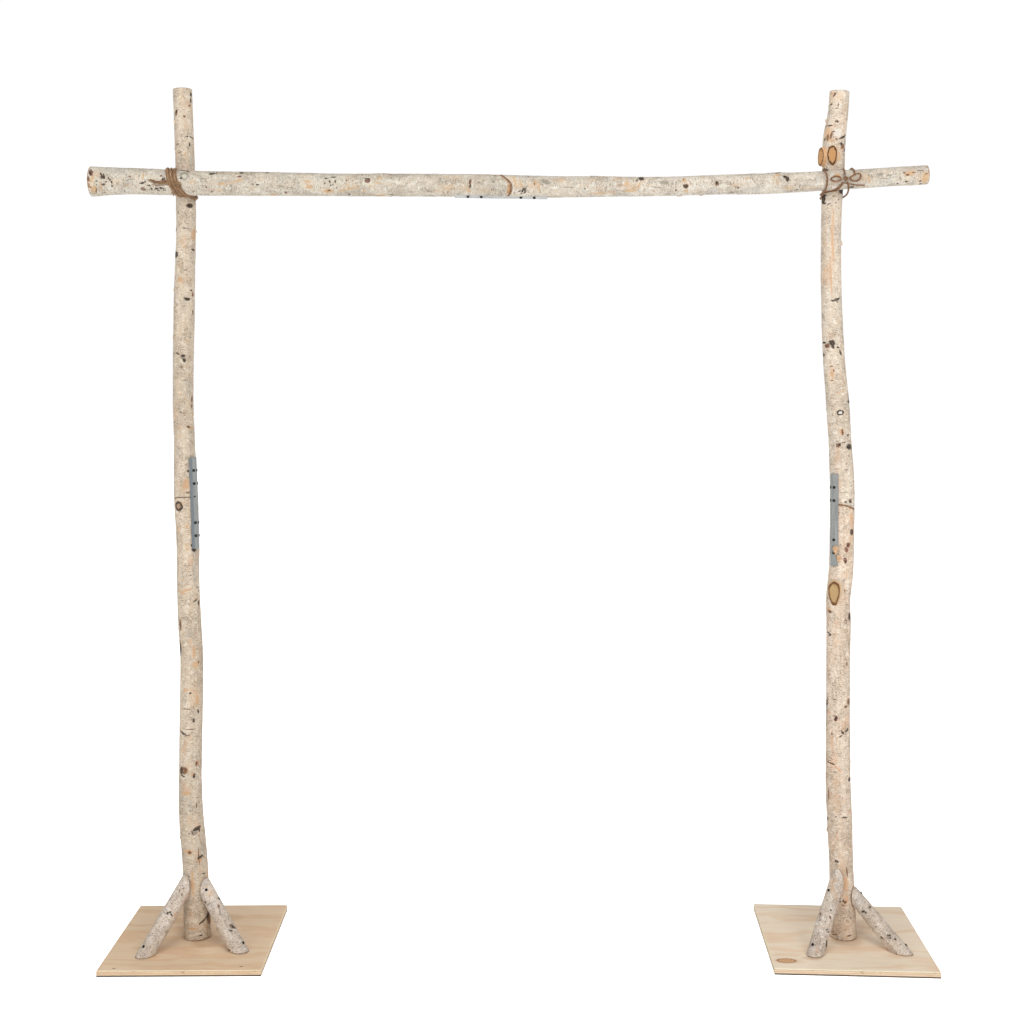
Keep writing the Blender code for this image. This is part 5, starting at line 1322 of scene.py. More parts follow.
POLES = [
    # name, pole, s0, s1, seed, r0, low plane, tints, rims, low shift, high shift, seat
    # the tints are partly painted shade: they darken the left-hand pieces more than the right
    ("left_post_lower", POST_L, BOARD_THICK + GAP, POST_SEAM_LEFT - GAP / 2, 11, 0.0345, "level",
     dict(warm=0.25, grey=0.15, tint=(0.88, 0.875, 0.90)), [(0, 0.0030, BAND, 0.0016), (1, 0.0012, RUST, 0.0012)], None, seam_left, None),
    ("left_post_upper", POST_L, POST_SEAM_LEFT + GAP / 2, LEFT_POST[-1][0] * MM, 23, 0.0300, None,
     dict(warm=0.2, grey=0.0, tint=(0.82, 0.82, 0.845)), [(0, 0.0010, RUST, 0.0010), (1, 0.0018, BAND, 0.0004)], seam_left, None, None),
    ("right_post_lower", POST_R, BOARD_THICK + GAP, POST_SEAM_RIGHT - GAP / 2, 37, 0.0360, "level",
     dict(warm=0.35, grey=-0.3, tint=(1.0, 0.975, 1.02)), [(0, 0.0030, BAND, 0.0016), (1, 0.0060, SAW_TAN, 0.0020)], None, seam_right, None),
    ("right_post_upper", POST_R, POST_SEAM_RIGHT + GAP / 2, RIGHT_POST[-1][0] * MM, 41, 0.0320, None,
     dict(warm=0.1, grey=-0.2, tint=(0.93, 0.945, 1.01)), [(0, 0.0024, BAND, 0.0012), (1, 0.0018, BAND, 0.0004)], seam_right, None, None),
    ("crossbar_left_half", BAR, CROSSBAR[0][0] * MM, BAR_SEAM - GAP / 2, 53, 0.0345, None,
     dict(warm=0.0, grey=0.22, cool=0.7, tint=(0.80, 0.835, 0.82)), [(0, 0.0050, BAND, 0.0004), (1, 0.0110, SAW_TAN, 0.0026)], None, seam_bar, bar_seat),
    ("crossbar_right_half", BAR, BAR_SEAM + GAP / 2, CROSSBAR[-1][0] * MM, 67, 0.0290, None,
     dict(warm=-0.1, grey=0.15, cool=0.8, tint=(0.86, 0.895, 0.88)), [(0, 0.0040, SAW_TAN, 0.0020), (1, 0.0050, BAND, 0.0004)], seam_bar, None, bar_seat),
]

for name, pole, s0, s1, seed, r0, low, tints, rims, low_shift, high_shift, seat in POLES:
    marks = placed_marks(name, pole, seed, s0, s1)
    mat = bark_material("bark_" + name, pole, marks, seed, r0=r0, rims=rims, **tints)
    pole_mesh(name + "_pole", pole, marks, s0, s1, seed, [mat, SAWN], name,
              1.0, 1.0, r0, low_plane=low, low_shift=low_shift, high_shift=high_shift, seat=seat)

# ----------------------------------------------------------------- braces
for index, (name, (foot, head, fd, hd, side)) in enumerate(BRACES.items()):
    pole = BRACE_POLES[name]
    post = POST_L if side == "L" else POST_R
    foot_p = np.array(foot) * MM
    flat = unit(np.array((pole.axis[0], pole.axis[1], 0.0)))
    heights = 0.10 + 0.012 * np.arange(13)
    pc, pr = post.at(heights)
    reach = float(((pc - foot_p) @ flat - pr).min()) - GAP
    low = (np.array((0.0, 0.0, BOARD_THICK + GAP)), np.array((0.0, 0.0, 1.0)))
    high = (foot_p + flat * reach, flat)
    # the axis meets the two planes here
    s_hi = reach / float(pole.axis @ flat)
    seed = 71 + index * 6
    marks = placed_marks(name, pole, seed, 0.0, s_hi)
    mat = bark_material("bark_" + name, pole, marks, seed, warm=-0.5, grey=0.1, speckle=1.0, r0=0.0235, cool=0.8,
                        rims=[(0, 0.0020, BAND, 0.0014)])
    pole_mesh(name + "_pole", pole, marks, 0.0, s_hi, seed, [mat, SAWN_PALE], name,
              1.0, 1.0, 0.0235, low_plane=low, high_plane=high, step=0.0024, sides=80)

# ----------------------------------------------------------- pruned stubs
def collar_material():
    """Bark that thickens and darkens towards the saw cut."""
    k = Look("stub_collar")
    co = k.attr("bark")
    x, y, z = k.parts(co)
    n = k.noise(co, 5.0, 5.0, 0.7)
    n2 = k.noise(k.scaled(co, (1, 1, 2.5), (3.0, 1.0, 2.0)), 16.0, 4.0, 0.65)
    base = k.mix(k.span(n2, 0.42, 0.60), srgb(222, 205, 181), srgb(176, 155, 128))
    tan = k.mix(k.span(n, 0.40, 0.62), srgb(196, 148, 104), srgb(214, 178, 138))
    colour = k.mix(k.span(k.math("MULTIPLY_ADD", n, 0.7, z), 0.62, 0.95), base, tan)
    # painted shade: the bark by the lip of the cut goes dark brown
    colour = k.mix(k.span(k.math("MULTIPLY_ADD", n2, 0.30, z), 1.02, 1.12), colour, srgb(74, 50, 36))
    height = k.math("ADD", k.math("MULTIPLY", n, 0.5), k.math("MULTIPLY", n2, 0.5))
    return k.finish(colour, 0.75, k.bump(height, 0.0012, 0.8), specular=0.3)


def knot_face_material(name, tone, edge, seed):
    """A pruned branch's face: rings, stained towards the edge."""
    k = Look(name)
    co = k.attr("bark")
    x, y, z = k.parts(co)
    warp = k.noise(k.vmath("ADD", k.join(x, y, 0.0), (seed, 2 * seed, 0.0)), 3.0, 4.0, 0.65)
    r = k.math("MULTIPLY_ADD", k.math("SUBTRACT", warp, 0.5), 0.55, k.vmath("LENGTH", k.join(x, y, 0.0)))
    rings = k.span(k.math("SINE", k.math("MULTIPLY", r, 34.0)), -0.5, 1.0)
    grit = k.noise(k.join(x, y, seed), 26.0, 3.0, 0.7)
    dark = tuple(c * 0.62 for c in tone[:3]) + (1.0,)
    colour = k.mix(k.math("MULTIPLY", rings, 0.45), tone, dark)
    colour = k.mix(k.math("MULTIPLY", k.span(grit, 0.45, 0.68), 0.45), colour, srgb(226, 186, 140))
    colour = k.mix(k.span(r, 0.66, 0.98), colour, edge)
    colour = k.mix(k.span(k.math("MULTIPLY_ADD", grit, 0.3, r), 0.16, 0.05), colour, srgb(92, 60, 38))
    height = k.math("ADD", k.math("MULTIPLY", rings, 0.4), k.math("MULTIPLY", grit, 0.6))
    return k.finish(colour, 0.8, k.bump(height, 0.0008, 0.8), specular=0.25)


COLLAR = collar_material()
FACE_TAN = knot_face_material("stub_face_tan", srgb(208, 158, 108), srgb(150, 100, 62), 1.3)
FACE_DARK = knot_face_material("stub_face_worn", srgb(196, 146, 96), srgb(70, 46, 32), 4.1)
FACE_LOW = knot_face_material("stub_face_healed", srgb(190, 158, 112), srgb(112, 74, 44), 7.7)


def stub_piece(name, pole, height, turn, out, half_height, half_width, seed, face, wobble=0.05, skew=0.0, dish=0.0012):
    centre, radius = (w[0] for w in pole.at(height))
    f = np.array((-math.sin(math.radians(turn)), -math.cos(math.radians(turn)), 0.0))
    up = np.array((0.0, 0.0, 1.0))
    side = np.cross(f, up)
    cols = 56
    phi = np.arange(cols) / cols * 2 * math.pi
    # `skew` makes the lower end narrower than the upper one
    narrow = 1 + skew * -np.cos(phi) * 1.6 if skew else np.ones(cols)
    shape = (1 + wobble * np.sin(2 * phi + seed) + wobble * 0.8 * np.sin(3 * phi + 2.1 * seed)
             + 0.02 * np.sin(7 * phi + seed * 3.3))
    rows = [(radius * 0.74, 1.42, 0.0), (radius * 0.86, 1.30, 0.15), (radius * 0.95, 1.18, 0.35)]
    lip = max(out - 0.0012, radius * 0.97)
    rows += [(radius * 0.96 + (lip - radius * 0.96) * w, 1.12 - 0.08 * w, 0.45 + 0.35 * w) for w in (0.25, 0.5, 0.75)]
    rows += [(lip, 1.03, 0.90), (out - 0.0004, 1.00, 0.97), (out, 0.965, 1.0)]
    verts, bark = [], []
    for d, scale, w in rows:
        rough = 1 + 0.030 * noise3(np.c_[np.cos(phi) * 2.4, np.sin(phi) * 2.4, np.full(cols, d * 260 + seed)], seed)
        v = half_height * scale * shape * rough * np.cos(phi)
        h = half_width * scale * shape * rough * np.sin(phi) * narrow
        verts.append(centre + f * d + up * v[:, None] + side * h[:, None])
        bark.append(np.c_[np.cos(phi) * 2, np.sin(phi) * 2, np.full(cols, w)])
    n_side = len(rows)
    for frac in (0.93, 0.84, 0.70, 0.55, 0.40, 0.25, 0.12):
        v = half_height * 0.965 * shape * frac * np.cos(phi)
        h = half_width * 0.965 * shape * frac * np.sin(phi) * narrow
        pit = out - dish * (1 - frac ** 3) - 0.0003 * noise3(
            np.c_[v * 500, h * 500, np.full(cols, seed)], seed + 2)
        verts.append(centre + f * pit[:, None] + up * v[:, None] + side * h[:, None])
        bark.append(np.c_[frac * np.cos(phi), frac * np.sin(phi), np.full(cols, 1.0)])
    total = len(verts)
    verts.append((verts[-1].mean(0))[None])
    bark.append(np.array([[0.0, 0.0, 1.0]]))
    q = grid_quads(total, cols)
    j = np.arange(cols)
    tri = np.c_[(total - 1) * cols + j, (total - 1) * cols + (j + 1) % cols, np.full(cols, total * cols)]
    q_side, q_face = q[:(n_side - 1) * cols], q[(n_side - 1) * cols:]
    obj = build_mesh(name, np.concatenate(verts), [q_side, q_face, tri], [COLLAR, face], [0, 1, 1],
                     bark=np.concatenate(bark))
    bm = bmesh.new()
    bm.from_mesh(obj.data)
    bmesh.ops.recalc_face_normals(bm, faces=bm.faces)
    # the open back lies inside the stem: normals must look away from the stem
    middle = Vector(centre)
    if sum((fc.calc_center_median() - middle).dot(fc.normal) for fc in bm.faces) < 0:
        bmesh.ops.reverse_faces(bm, faces=bm.faces)
    bm.to_mesh(obj.data)
    bm.free()
    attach(obj, "root")
    return obj


stub_piece("right_post_stub_left", POST_R, 2.308, 70, 0.0447, 0.0255, 0.0145, 3, FACE_TAN)
stub_piece("right_post_stub_front", POST_R, 2.310, 20, 0.0362, 0.0285, 0.0125, 5, FACE_DARK)
stub_piece("right_post_stub_low", POST_R, 1.037, 34, 0.0387, 0.0320, 0.0175, 8, FACE_LOW, 0.05, -0.10, 0.0022)


# ----------------------------------------------------------- steel and screws
def steel_material(name, shade_from=None, tone=(0.60, 0.61, 0.60)):
    """Dull punched zinc-plated steel: rolling streaks, smudges and scuffs, and with shade_from a painted dark
    reflection on the legs away from the corner.
    """
    k = Look(name)
    co = k.attr("bark")
    x, y, z = k.parts(co)
    streak = k.noise(k.scaled(co, (1, 1, 0.035)), 420.0, 3.0, 0.6)
    smudge = k.noise(k.scaled(co, (1, 1, 0.4)), 60.0, 4.0, 0.6)
    spangle = k.voronoi(co, 260.0, output="Color")
    grey = k.mix(k.span(streak, 0.38, 0.62), (*(c * 0.80 for c in tone), 1.0), (*(min(1.0, c * 1.12) for c in tone), 1.0))
    grey = k.mix(k.math("MULTIPLY", k.parts(spangle)[0], 0.10), grey, (0.42, 0.45, 0.48, 1.0))
    grey = k.mix(k.math("MULTIPLY", k.span(smudge, 0.52, 0.72), 0.40), grey, (0.30, 0.31, 0.32, 1.0))
    # painted dark reflection: past shade_from from the corner, each leg turns dark blue-grey
    if shade_from is not None:
        far = k.math("MAXIMUM", x, y)
        grey = k.mix(k.math("MULTIPLY", k.span(k.math("MULTIPLY_ADD", smudge, 0.003, far),
                                               shade_from, shade_from + 0.0045), 0.78), grey, (0.16, 0.185, 0.21, 1.0))
    rough = k.span(smudge, 0.35, 0.70, 0.36, 0.58)
    height = k.math("ADD", k.math("MULTIPLY", streak, 0.5), k.math("MULTIPLY", smudge, 0.5))
    return k.finish(grey, rough, k.bump(height, 0.0002, 0.5), metallic=0.90, specular=0.5)


def rounded(outline, radii, steps=5):
    """Round the corners of a closed outline."""
    out = []
    n = len(outline)
    for i, (p, r) in enumerate(zip(outline, radii)):
        p = np.array(p, float)
        a = unit(np.array(outline[i - 1], float) - p)
        b = unit(np.array(outline[(i + 1) % n], float) - p)
        p0, p1, centre = p + a * r, p + b * r, p + (a + b) * r
        for k in range(steps):
            w = k / (steps - 1) * math.pi / 2
            out.append(centre + (p0 - centre) * math.cos(w) + (p1 - centre) * math.sin(w))
    return np.array(out)


def apply_cut(obj, cutter):
    """Cut the holes for good."""
    mod = obj.modifiers.new("holes", "BOOLEAN")
    mod.object = cutter
    mod.operation = "DIFFERENCE"
    mod.solver = "EXACT"
    bpy.context.view_layer.update()
    deps = bpy.context.evaluated_depsgraph_get()
    mesh = bpy.data.meshes.new_from_object(obj.evaluated_get(deps))
    obj.modifiers.clear()
    old = obj.data
    obj.data = mesh
    mesh.name = obj.name
    bpy.data.meshes.remove(old)
    cut_mesh = cutter.data
    bpy.data.objects.remove(cutter, do_unlink=True)
    bpy.data.meshes.remove(cut_mesh)


def angle_piece(name, mat, other_holes, seed):
    pole, middle, facing, holes, inset = ANGLES[name]
    o, x, y, z = angle_frame(name)
    leg, th, half = ANGLE_LEG, ANGLE_THICK, ANGLE_LENGTH / 2
    ring = rounded([(0, 0), (leg, 0), (leg, th), (th, th), (th, leg), (0, leg)],
                   [0.0016, 0.0005, 0.0005, 0.0009, 0.0005, 0.0005])
    count = len(ring)
    mid = ring.mean(0)
    heights = np.r_[-half, -half + 0.0003, np.linspace(-half + 0.004, half - 0.004, 43), half - 0.0003, half]
    rows = []
    for i, h in enumerate(heights):
        r = ring.copy()
        if i in (0, len(heights) - 1):      # a broken edge at the cut ends
            normal = unit(np.roll(ring, -1, 0) - np.roll(ring, 1, 0))
            r = ring + np.c_[-normal[:, 1], normal[:, 0]] * 0.0003
        rows.append(np.c_[r, np.full(count, h)])
    local = np.concatenate(rows)
    bm = bmesh.new()
    vs = [bm.verts.new(Vector(p)) for p in local]
    for q in grid_quads(len(heights), count):
        bm.faces.new([vs[i] for i in q])
    bm.faces.new([vs[i] for i in range(count)][::-1])
    bm.faces.new([vs[(len(heights) - 1) * count + i] for i in range(count)])
    bmesh.ops.recalc_face_normals(bm, faces=bm.faces)
    mesh = bpy.data.meshes.new(name + "_steel")
    bm.to_mesh(mesh)
    bm.free()
    obj = bpy.data.objects.new(name + "_steel", mesh)
    COLLECTION.objects.link(obj)
    bm = bmesh.new()
    for k in range(6):
        h = -half + ANGLE_PITCH * (k + 1)
        if k in holes:
            for spin in (Matrix.Translation((leg * ANGLE_LINE, 0, h)) @ Matrix.Rotation(math.pi / 2, 4, "X"),
                         Matrix.Translation((0, leg * ANGLE_LINE, h)) @ Matrix.Rotation(math.pi / 2, 4, "Y")):
                bmesh.ops.create_cone(bm, cap_ends=True, segments=28, radius1=ANGLE_HOLE / 2,
                                      radius2=ANGLE_HOLE / 2, depth=th * 4, matrix=spin)
    cut_mesh = bpy.data.meshes.new("holes")
    bm.to_mesh(cut_mesh)
    bm.free()
    cutter = bpy.data.objects.new("holes", cut_mesh)
    COLLECTION.objects.link(cutter)
    apply_cut(obj, cutter)
    mesh = obj.data
    n = len(mesh.vertices)
    co = np.empty(n * 3)
    mesh.vertices.foreach_get("co", co)
    co = co.reshape(n, 3)
    attr = mesh.attributes.new("bark", "FLOAT_VECTOR", "POINT")
    attr.data.foreach_set("vector", co.astype(np.float32).ravel())
    world_co = o + co[:, :1] * x + co[:, 1:2] * y + co[:, 2:] * z
    mesh.vertices.foreach_set("co", world_co.astype(np.float32).ravel())
    mesh.update()
    mesh.materials.clear()
    mesh.materials.append(mat)
    mesh.shade_smooth()
    mesh.set_sharp_from_angle(angle=math.radians(28))
    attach(obj, "root")
    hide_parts(name)
    # the screws
    for k in range(6):
        h = -half + ANGLE_PITCH * (k + 1)
        if k in (2, 3) or k not in holes:
            continue
        add_screw(o + x * leg * ANGLE_LINE + z * h, -y, 0.0044, k * 1.1 + seed)
        if k in other_holes:
            add_screw(o + y * leg * ANGLE_LINE + z * h, -x, 0.0044, k * 0.7 + seed)
    return obj


SCREWS = Parts()


def add_screw(place, normal, head, turn, shank=0.009, height=None):
    """A pan-head screw with a cross recess, its head on `place`."""
    normal = unit(normal)
    ref = np.array((0.0, 0.0, 1.0)) if abs(normal[2]) < 0.8 else np.array((1.0, 0.0, 0.0))
    u = unit(np.cross(ref, normal))
    w = np.cross(normal, u)
    height = height or head * 0.58
    cols = 32
    phi = np.arange(cols) / cols * 2 * math.pi
    c, s = np.abs(np.cos(phi)), np.abs(np.sin(phi))
    arm, wide = head * 0.46, head * 0.13
    with np.errstate(divide="ignore"):
        cross = np.maximum(np.minimum(arm / np.maximum(c, 1e-6), wide / np.maximum(s, 1e-6)),
                           np.minimum(arm / np.maximum(s, 1e-6), wide / np.maximum(c, 1e-6)))
    rows = [(np.full(cols, head * 0.05), -shank), (np.full(cols, head * 0.36), -shank * 0.7),
            (np.full(cols, head * 0.42), -0.0002), (np.full(cols, head * 0.90), 0.0001),
            (np.full(cols, head), height * 0.22), (np.full(cols, head * 0.985), height * 0.42),
            (np.full(cols, head * 0.90), height * 0.70), (np.full(cols, head * 0.72), height * 0.92),
            (np.full(cols, head * 0.54), height), (cross, height * 1.0), (cross * 0.9, height * 0.45)]
    verts = []
    for r, d in rows:
        verts.append(place + normal * d + u * (r * np.cos(phi + turn * 0))[:, None] * math.cos(turn)
                     + w * (r * np.cos(phi))[:, None] * math.sin(turn)
                     - u * (r * np.sin(phi))[:, None] * math.sin(turn) + w * (r * np.sin(phi))[:, None] * math.cos(turn))
    n = len(verts)
    verts = np.concatenate(verts + [(place - normal * (shank + 0.0012))[None], (place + normal * height * 0.40)[None]])
    q = grid_quads(n, cols)
    j = np.arange(cols)
    jn = (j + 1) % cols
    tri = np.r_[np.c_[jn, j, np.full(cols, n * cols)],
                np.c_[(n - 1) * cols + j, (n - 1) * cols + jn, np.full(cols, n * cols + 1)]]
    SCREWS.add(verts, q, tri)


def screw_material():
    k = Look("black_screw")
    co = k.obj()
    n = k.noise(co, 900.0, 3.0, 0.6)
    n2 = k.noise(co, 260.0, 3.0, 0.6)
    colour = k.mix(k.span(n, 0.42, 0.66), srgb(24, 24, 25), srgb(46, 45, 45))
    colour = k.mix(k.math("MULTIPLY", k.span(n2, 0.58, 0.72), 0.4), colour, srgb(92, 88, 84))
    return k.finish(colour, k.span(n2, 0.35, 0.65, 0.42, 0.60), k.bump(n, 0.0001, 0.4), metallic=0.35, specular=0.5)


# one steel in three tones: pale on the crossbar's angle as painted reflection of the bright floor, dark on the posts'
# angles as painted shade
angle_piece("left_post_splice_angle", steel_material("steel_left", 0.0105, (0.275, 0.285, 0.280)), (0, 1, 4, 5), 1)
angle_piece("right_post_splice_angle", steel_material("steel_right", None, (0.275, 0.285, 0.278)), (4, 5), 2)
angle_piece("crossbar_splice_angle", steel_material("steel_bar", None, (0.62, 0.63, 0.62)), (0, 1, 4, 5), 3)


def screw_at(pole, u, v, head=0.0042, tip=0.0):
    """A screw in a pole, where the camera's view through a point meets it."""
    s, angle, facing, depth = pole.hit(u, v)
    c, r = (w[0] for w in pole.at(s))
    t, n, b = (w[0] for w in pole.axes(s))
    out = n * math.cos(angle) + b * math.sin(angle)
    add_screw(c + out * (r + 0.0002), unit(out + t * tip), head, u, shank=0.012, height=head * 0.45)


for key, spots in {
    "left_post_brace_left": [(143.6, 946.6)],
    "left_post_brace_right": [(206.3, 889.9), (243.2, 942.8)],
    "right_post_brace_left": [(828.7, 890.2), (812.8, 944.6)],
    "right_post_brace_right": [(861.2, 892.9), (906.0, 945.0)],
}.items():
    for spot in spots:
        screw_at(BRACE_POLES[key], *spot)
for key in ("left_post_brace_back", "right_post_brace_back"):
    pole = BRACE_POLES[key]
    for s in (0.034, pole.length * 0.80):
        c, r = (w[0] for w in pole.at(s))
        out = unit(np.array((0.0, 1.0, 0.55)) - pole.axis * (np.array((0.0, 1.0, 0.55)) @ pole.axis))
        add_screw(c + out * (r + 0.0002), out, 0.0042, s * 9, shank=0.012, height=0.0019)
screws = SCREWS.make("black_screws", [screw_material()], sharp=40)
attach(screws, "root")


# ----------------------------------------------------------------- twine
def through(keys, spacing, closed):
    """Even points on a smooth curve through the keys."""
    keys = [np.asarray(p, float) for p in keys]
    n = len(keys)
    dense = []
    for i in range(n if closed else n - 1):
        p1, p2 = keys[i], keys[(i + 1) % n]
        p0 = keys[(i - 1) % n] if closed or i > 0 else p1 * 2 - p2
        p3 = keys[(i + 2) % n] if closed or i + 2 < n else p2 * 2 - p1
        for w in np.arange(24) / 24:
            dense.append(0.5 * (2 * p1 + (p2 - p0) * w + (2 * p0 - 5 * p1 + 4 * p2 - p3) * w * w
                                + (3 * p1 - p0 - 3 * p2 + p3) * w ** 3))
    dense.append(keys[0] if closed else keys[-1])
    dense = np.array(dense)
    run = np.r_[0.0, np.cumsum(np.linalg.norm(np.diff(dense, axis=0), axis=1))]
    count = max(4, round(run[-1] / spacing))
    at = run[-1] * np.arange(count + (0 if closed else 1)) / count
    return np.stack([np.interp(at, run, dense[:, i]) for i in range(3)], 1)


def clear(points, post, room):
    """Push points out until they clear the post and the crossbar by `room`."""
    p = points.copy()
    for _ in range(6):
        c, r = post.at(p[:, 2])
        flat = p[:, :2] - c[:, :2]
        length = np.maximum(np.linalg.norm(flat, axis=1), 1e-9)
        push = np.maximum(r + room - length, 0.0)
        p[:, :2] += flat / length[:, None] * push[:, None]
        c, r = BAR.at(p[:, 0])
        flat = p[:, 1:] - c[:, 1:]
        length = np.maximum(np.linalg.norm(flat, axis=1), 1e-9)
        push = np.maximum(r + room - length, 0.0)
        p[:, 1:] += flat / length[:, None] * push[:, None]
    return p


def pulled(keys, post, cord, closed, pull=4, spacing=0.009, lift=0.0):
    room = cord / 2 + GAP + lift
    points = through(keys, spacing, closed)
    for _ in range(pull):
        moved = (np.roll(points, 1, 0) + np.roll(points, -1, 0)) / 4 + points / 2
        if not closed:
            moved[0], moved[-1] = points[0], points[-1]
        points = clear(moved, post, room)
    return points


def frames(p, closed):
    """Tangents and a pair of steady side directions along a path."""
    n = len(p)
    t = unit(np.roll(p, -1, 0) - np.roll(p, 1, 0)) if closed else unit(np.gradient(p, axis=0))
    ref = np.array((0.0, 0.0, 1.0)) if abs(t[0, 2]) < 0.9 else np.array((1.0, 0.0, 0.0))
    u = unit(ref - t[0] * (ref @ t[0]))
    us = [u]
    for k in range(1, n):
        u = us[-1] - t[k] * (us[-1] @ t[k])
        us.append(u / np.linalg.norm(u))
    us = np.array(us)
    if closed:
        last = us[-1] - t[0] * (us[-1] @ t[0])
        last /= np.linalg.norm(last)
        turn = math.atan2(np.cross(us[0], last) @ t[0], us[0] @ last)
        ang = -turn * np.arange(n) / n
        vs = np.cross(t, us)
        us = us * np.cos(ang)[:, None] + vs * np.sin(ang)[:, None]
    return t, us, np.cross(t, us)


def twine(parts, path, radius, closed, seed, pitch=None, strands=3, fine=0.0013, hairs=0.9, sides=9, mat=0):
    """Laid twine of `radius` along a path: its strands wind round each other, and
    stray fibres stand out of it."""
    path = through(path, fine, closed)
    t, u, v = frames(path, closed)
    step = np.linalg.norm(np.diff(path, axis=0), axis=1)
    run = np.r_[0.0, np.cumsum(step)]
    total = run[-1] + (np.linalg.norm(path[0] - path[-1]) if closed else 0.0)
    pitch = pitch or radius * 6.5
    turns = max(1, round(total / pitch))
    thin = radius / (1 + 2 / math.sqrt(3)) if strands == 3 else radius / 2
    lay = (radius - thin) * 0.96
    rng = np.random.default_rng(seed)
    for k in range(strands):
        a = 2 * math.pi * (turns * run / total + k / strands) + seed
        wave = 1 + 0.07 * noise3(np.c_[run * 320, np.full(len(run), k * 3.0), np.full(len(run), seed)], seed + k)
        if closed:
            wave = 1 + (wave - 1) * np.minimum(1.0, np.minimum(run, total - run) / 0.01)
        p = path + (u * np.cos(a)[:, None] + v * np.sin(a)[:, None]) * (lay * wave)[:, None]
        verts, q, tr, tt, uu = sweep(p, thin * 1.06 * wave, sides, closed)
        m = len(p)
        along = np.repeat(run, sides)
        round_ = np.tile(np.arange(sides) / sides, m)
        mark = np.c_[along, round_, np.full(m * sides, k + seed * 0.37)]
        if len(verts) > m * sides:
            mark = np.r_[mark, [[0.0, 0.0, k + seed * 0.37]], [[total, 0.0, k + seed * 0.37]]]
        parts.add(verts, q, tr, mat, mark)
    # stray fibres
    count = int(total * 1000 * hairs)
    for _ in range(count):
        i = int(rng.integers(2, len(path) - 2))
        a = rng.uniform(0, 2 * math.pi)
        side = u[i] * math.cos(a) + v[i] * math.sin(a)
        length = rng.uniform(0.0020, 0.0060)
        lean = rng.uniform(-1.0, 1.0)
        bend = rng.uniform(-0.5, 0.5)
        w = np.linspace(0, 1, 5)[:, None]
        p = (path[i] + side * radius * 0.80 + side * (w * length * 0.45)
             + t[i] * (w * length * lean) + np.cross(t[i], side) * (w ** 2 * length * bend))
        verts, q, tr, _, _ = sweep(p, np.array((0.00013, 0.00012, 0.00010, 0.00008, 0.00005)), 3)
        parts.add(verts, q, tr, mat, np.tile((run[i], 0.3, seed * 0.37 + 5), (len(verts), 1)))


def twine_material(name, light, dark, seed):
    """Brown jute: fibres that run along each strand."""
    k = Look(name)
    x, y, z = k.parts(k.attr("bark"))
    along = k.math("MULTIPLY", x, 150.0)
    fibre = k.noise(k.join(along, k.math("MULTIPLY", y, 14.0), k.math("MULTIPLY_ADD", z, 3.0, seed)), 1.0, 4.0, 0.7)
    patch = k.noise(k.join(k.math("MULTIPLY", x, 46.0), y, z), 1.0, 3.0, 0.6)
    speck = k.noise(k.obj(), 1500.0, 2.0, 0.6)
    colour = k.mix(k.span(fibre, 0.34, 0.66), dark, light)
    colour = k.mix(k.math("MULTIPLY", k.span(patch, 0.52, 0.70), 0.55), colour, srgb(206, 170, 132))
    colour = k.mix(k.math("MULTIPLY", k.span(patch, 0.44, 0.30), 0.45), colour, srgb(84, 56, 38))
    colour = k.mix(k.math("MULTIPLY", k.span(speck, 0.55, 0.70), 0.25), colour, srgb(60, 40, 28))
    height = k.math("ADD", fibre, k.math("MULTIPLY", speck, 0.4))
    return k.finish(colour, 0.92, k.bump(height, 0.0004, 0.9), specular=0.12)


TWINE_LEFT = twine_material("twine_left", srgb(182, 150, 118), srgb(112, 84, 62), 1.0)
TWINE_RIGHT = twine_material("twine_right", srgb(158, 120, 90), srgb(104, 72, 52), 2.0)

# left: three wraps side by side, slanting down to the right across the bar
CORD_LEFT = 0.0064
(LX, _, _), LEFT_R = (w[0] for w in POST_L.at(2.223))
(_, LBY, LBZ), LBR = (w[0] for w in BAR.at(LX))


def left_keys(top, mid, low, right_z, left_z, thick=CORD_LEFT):
    c = thick / 2 + GAP
    rb, rp = LBR + c, LEFT_R + c
    keys = [(mid, LBY - rb, 0), (mid * 0.5 + low * 0.5, LBY - 0.75 * rb, -0.66 * rb),
            (low, LBY - 0.1 * rb, -rb), (low + 0.006, LBY + 0.72 * rb, -0.72 * rb),
            (rp * 0.97, -0.012, right_z), (rp * 0.75, rp * 0.66, right_z * 0.6 + left_z * 0.4),
            (0, rp, (right_z + left_z) / 2), (-rp * 0.75, rp * 0.66, right_z * 0.4 + left_z * 0.6),
            (-rp * 0.97, -0.012, left_z), (top - 0.006, LBY + 0.72 * rb, 0.72 * rb),
            (top, LBY - 0.1 * rb, rb), (top * 0.6 + mid * 0.4, LBY - 0.75 * rb, 0.66 * rb)]
    return [(LX + x, y, LBZ + z) for x, y, z in keys]


def lashing_piece(name, nodes, build, mat):
    parts = Parts()
    build(parts)
    obj = parts.make(name, [mat])
    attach(obj, "root")
    if nodes:
        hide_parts(*nodes)
    return obj


def left_wrap(index, *places):
    path = pulled(left_keys(*places), POST_L, CORD_LEFT, True)

    def build(parts):
        twine(parts, path, CORD_LEFT / 2, True, 10 + index, pitch=0.021)
        for n, (off, thick) in enumerate(((0.0046, 0.0034), (-0.0044, 0.0030))):
            top, mid, low, right_z, left_z = places
            keys = left_keys(top + off, mid + off * 1.1, low + off, right_z + off * 0.9, left_z + off * 0.9, thick)
            twine(parts, pulled(keys, POST_L, thick, True), thick / 2, True, 20 + 2 * index + n, strands=2, fine=0.0020, sides=7)
    lashing_piece(f"left_lashing_twine_{index}", [f"left_lashing_wrap_{index}"], build, TWINE_LEFT)


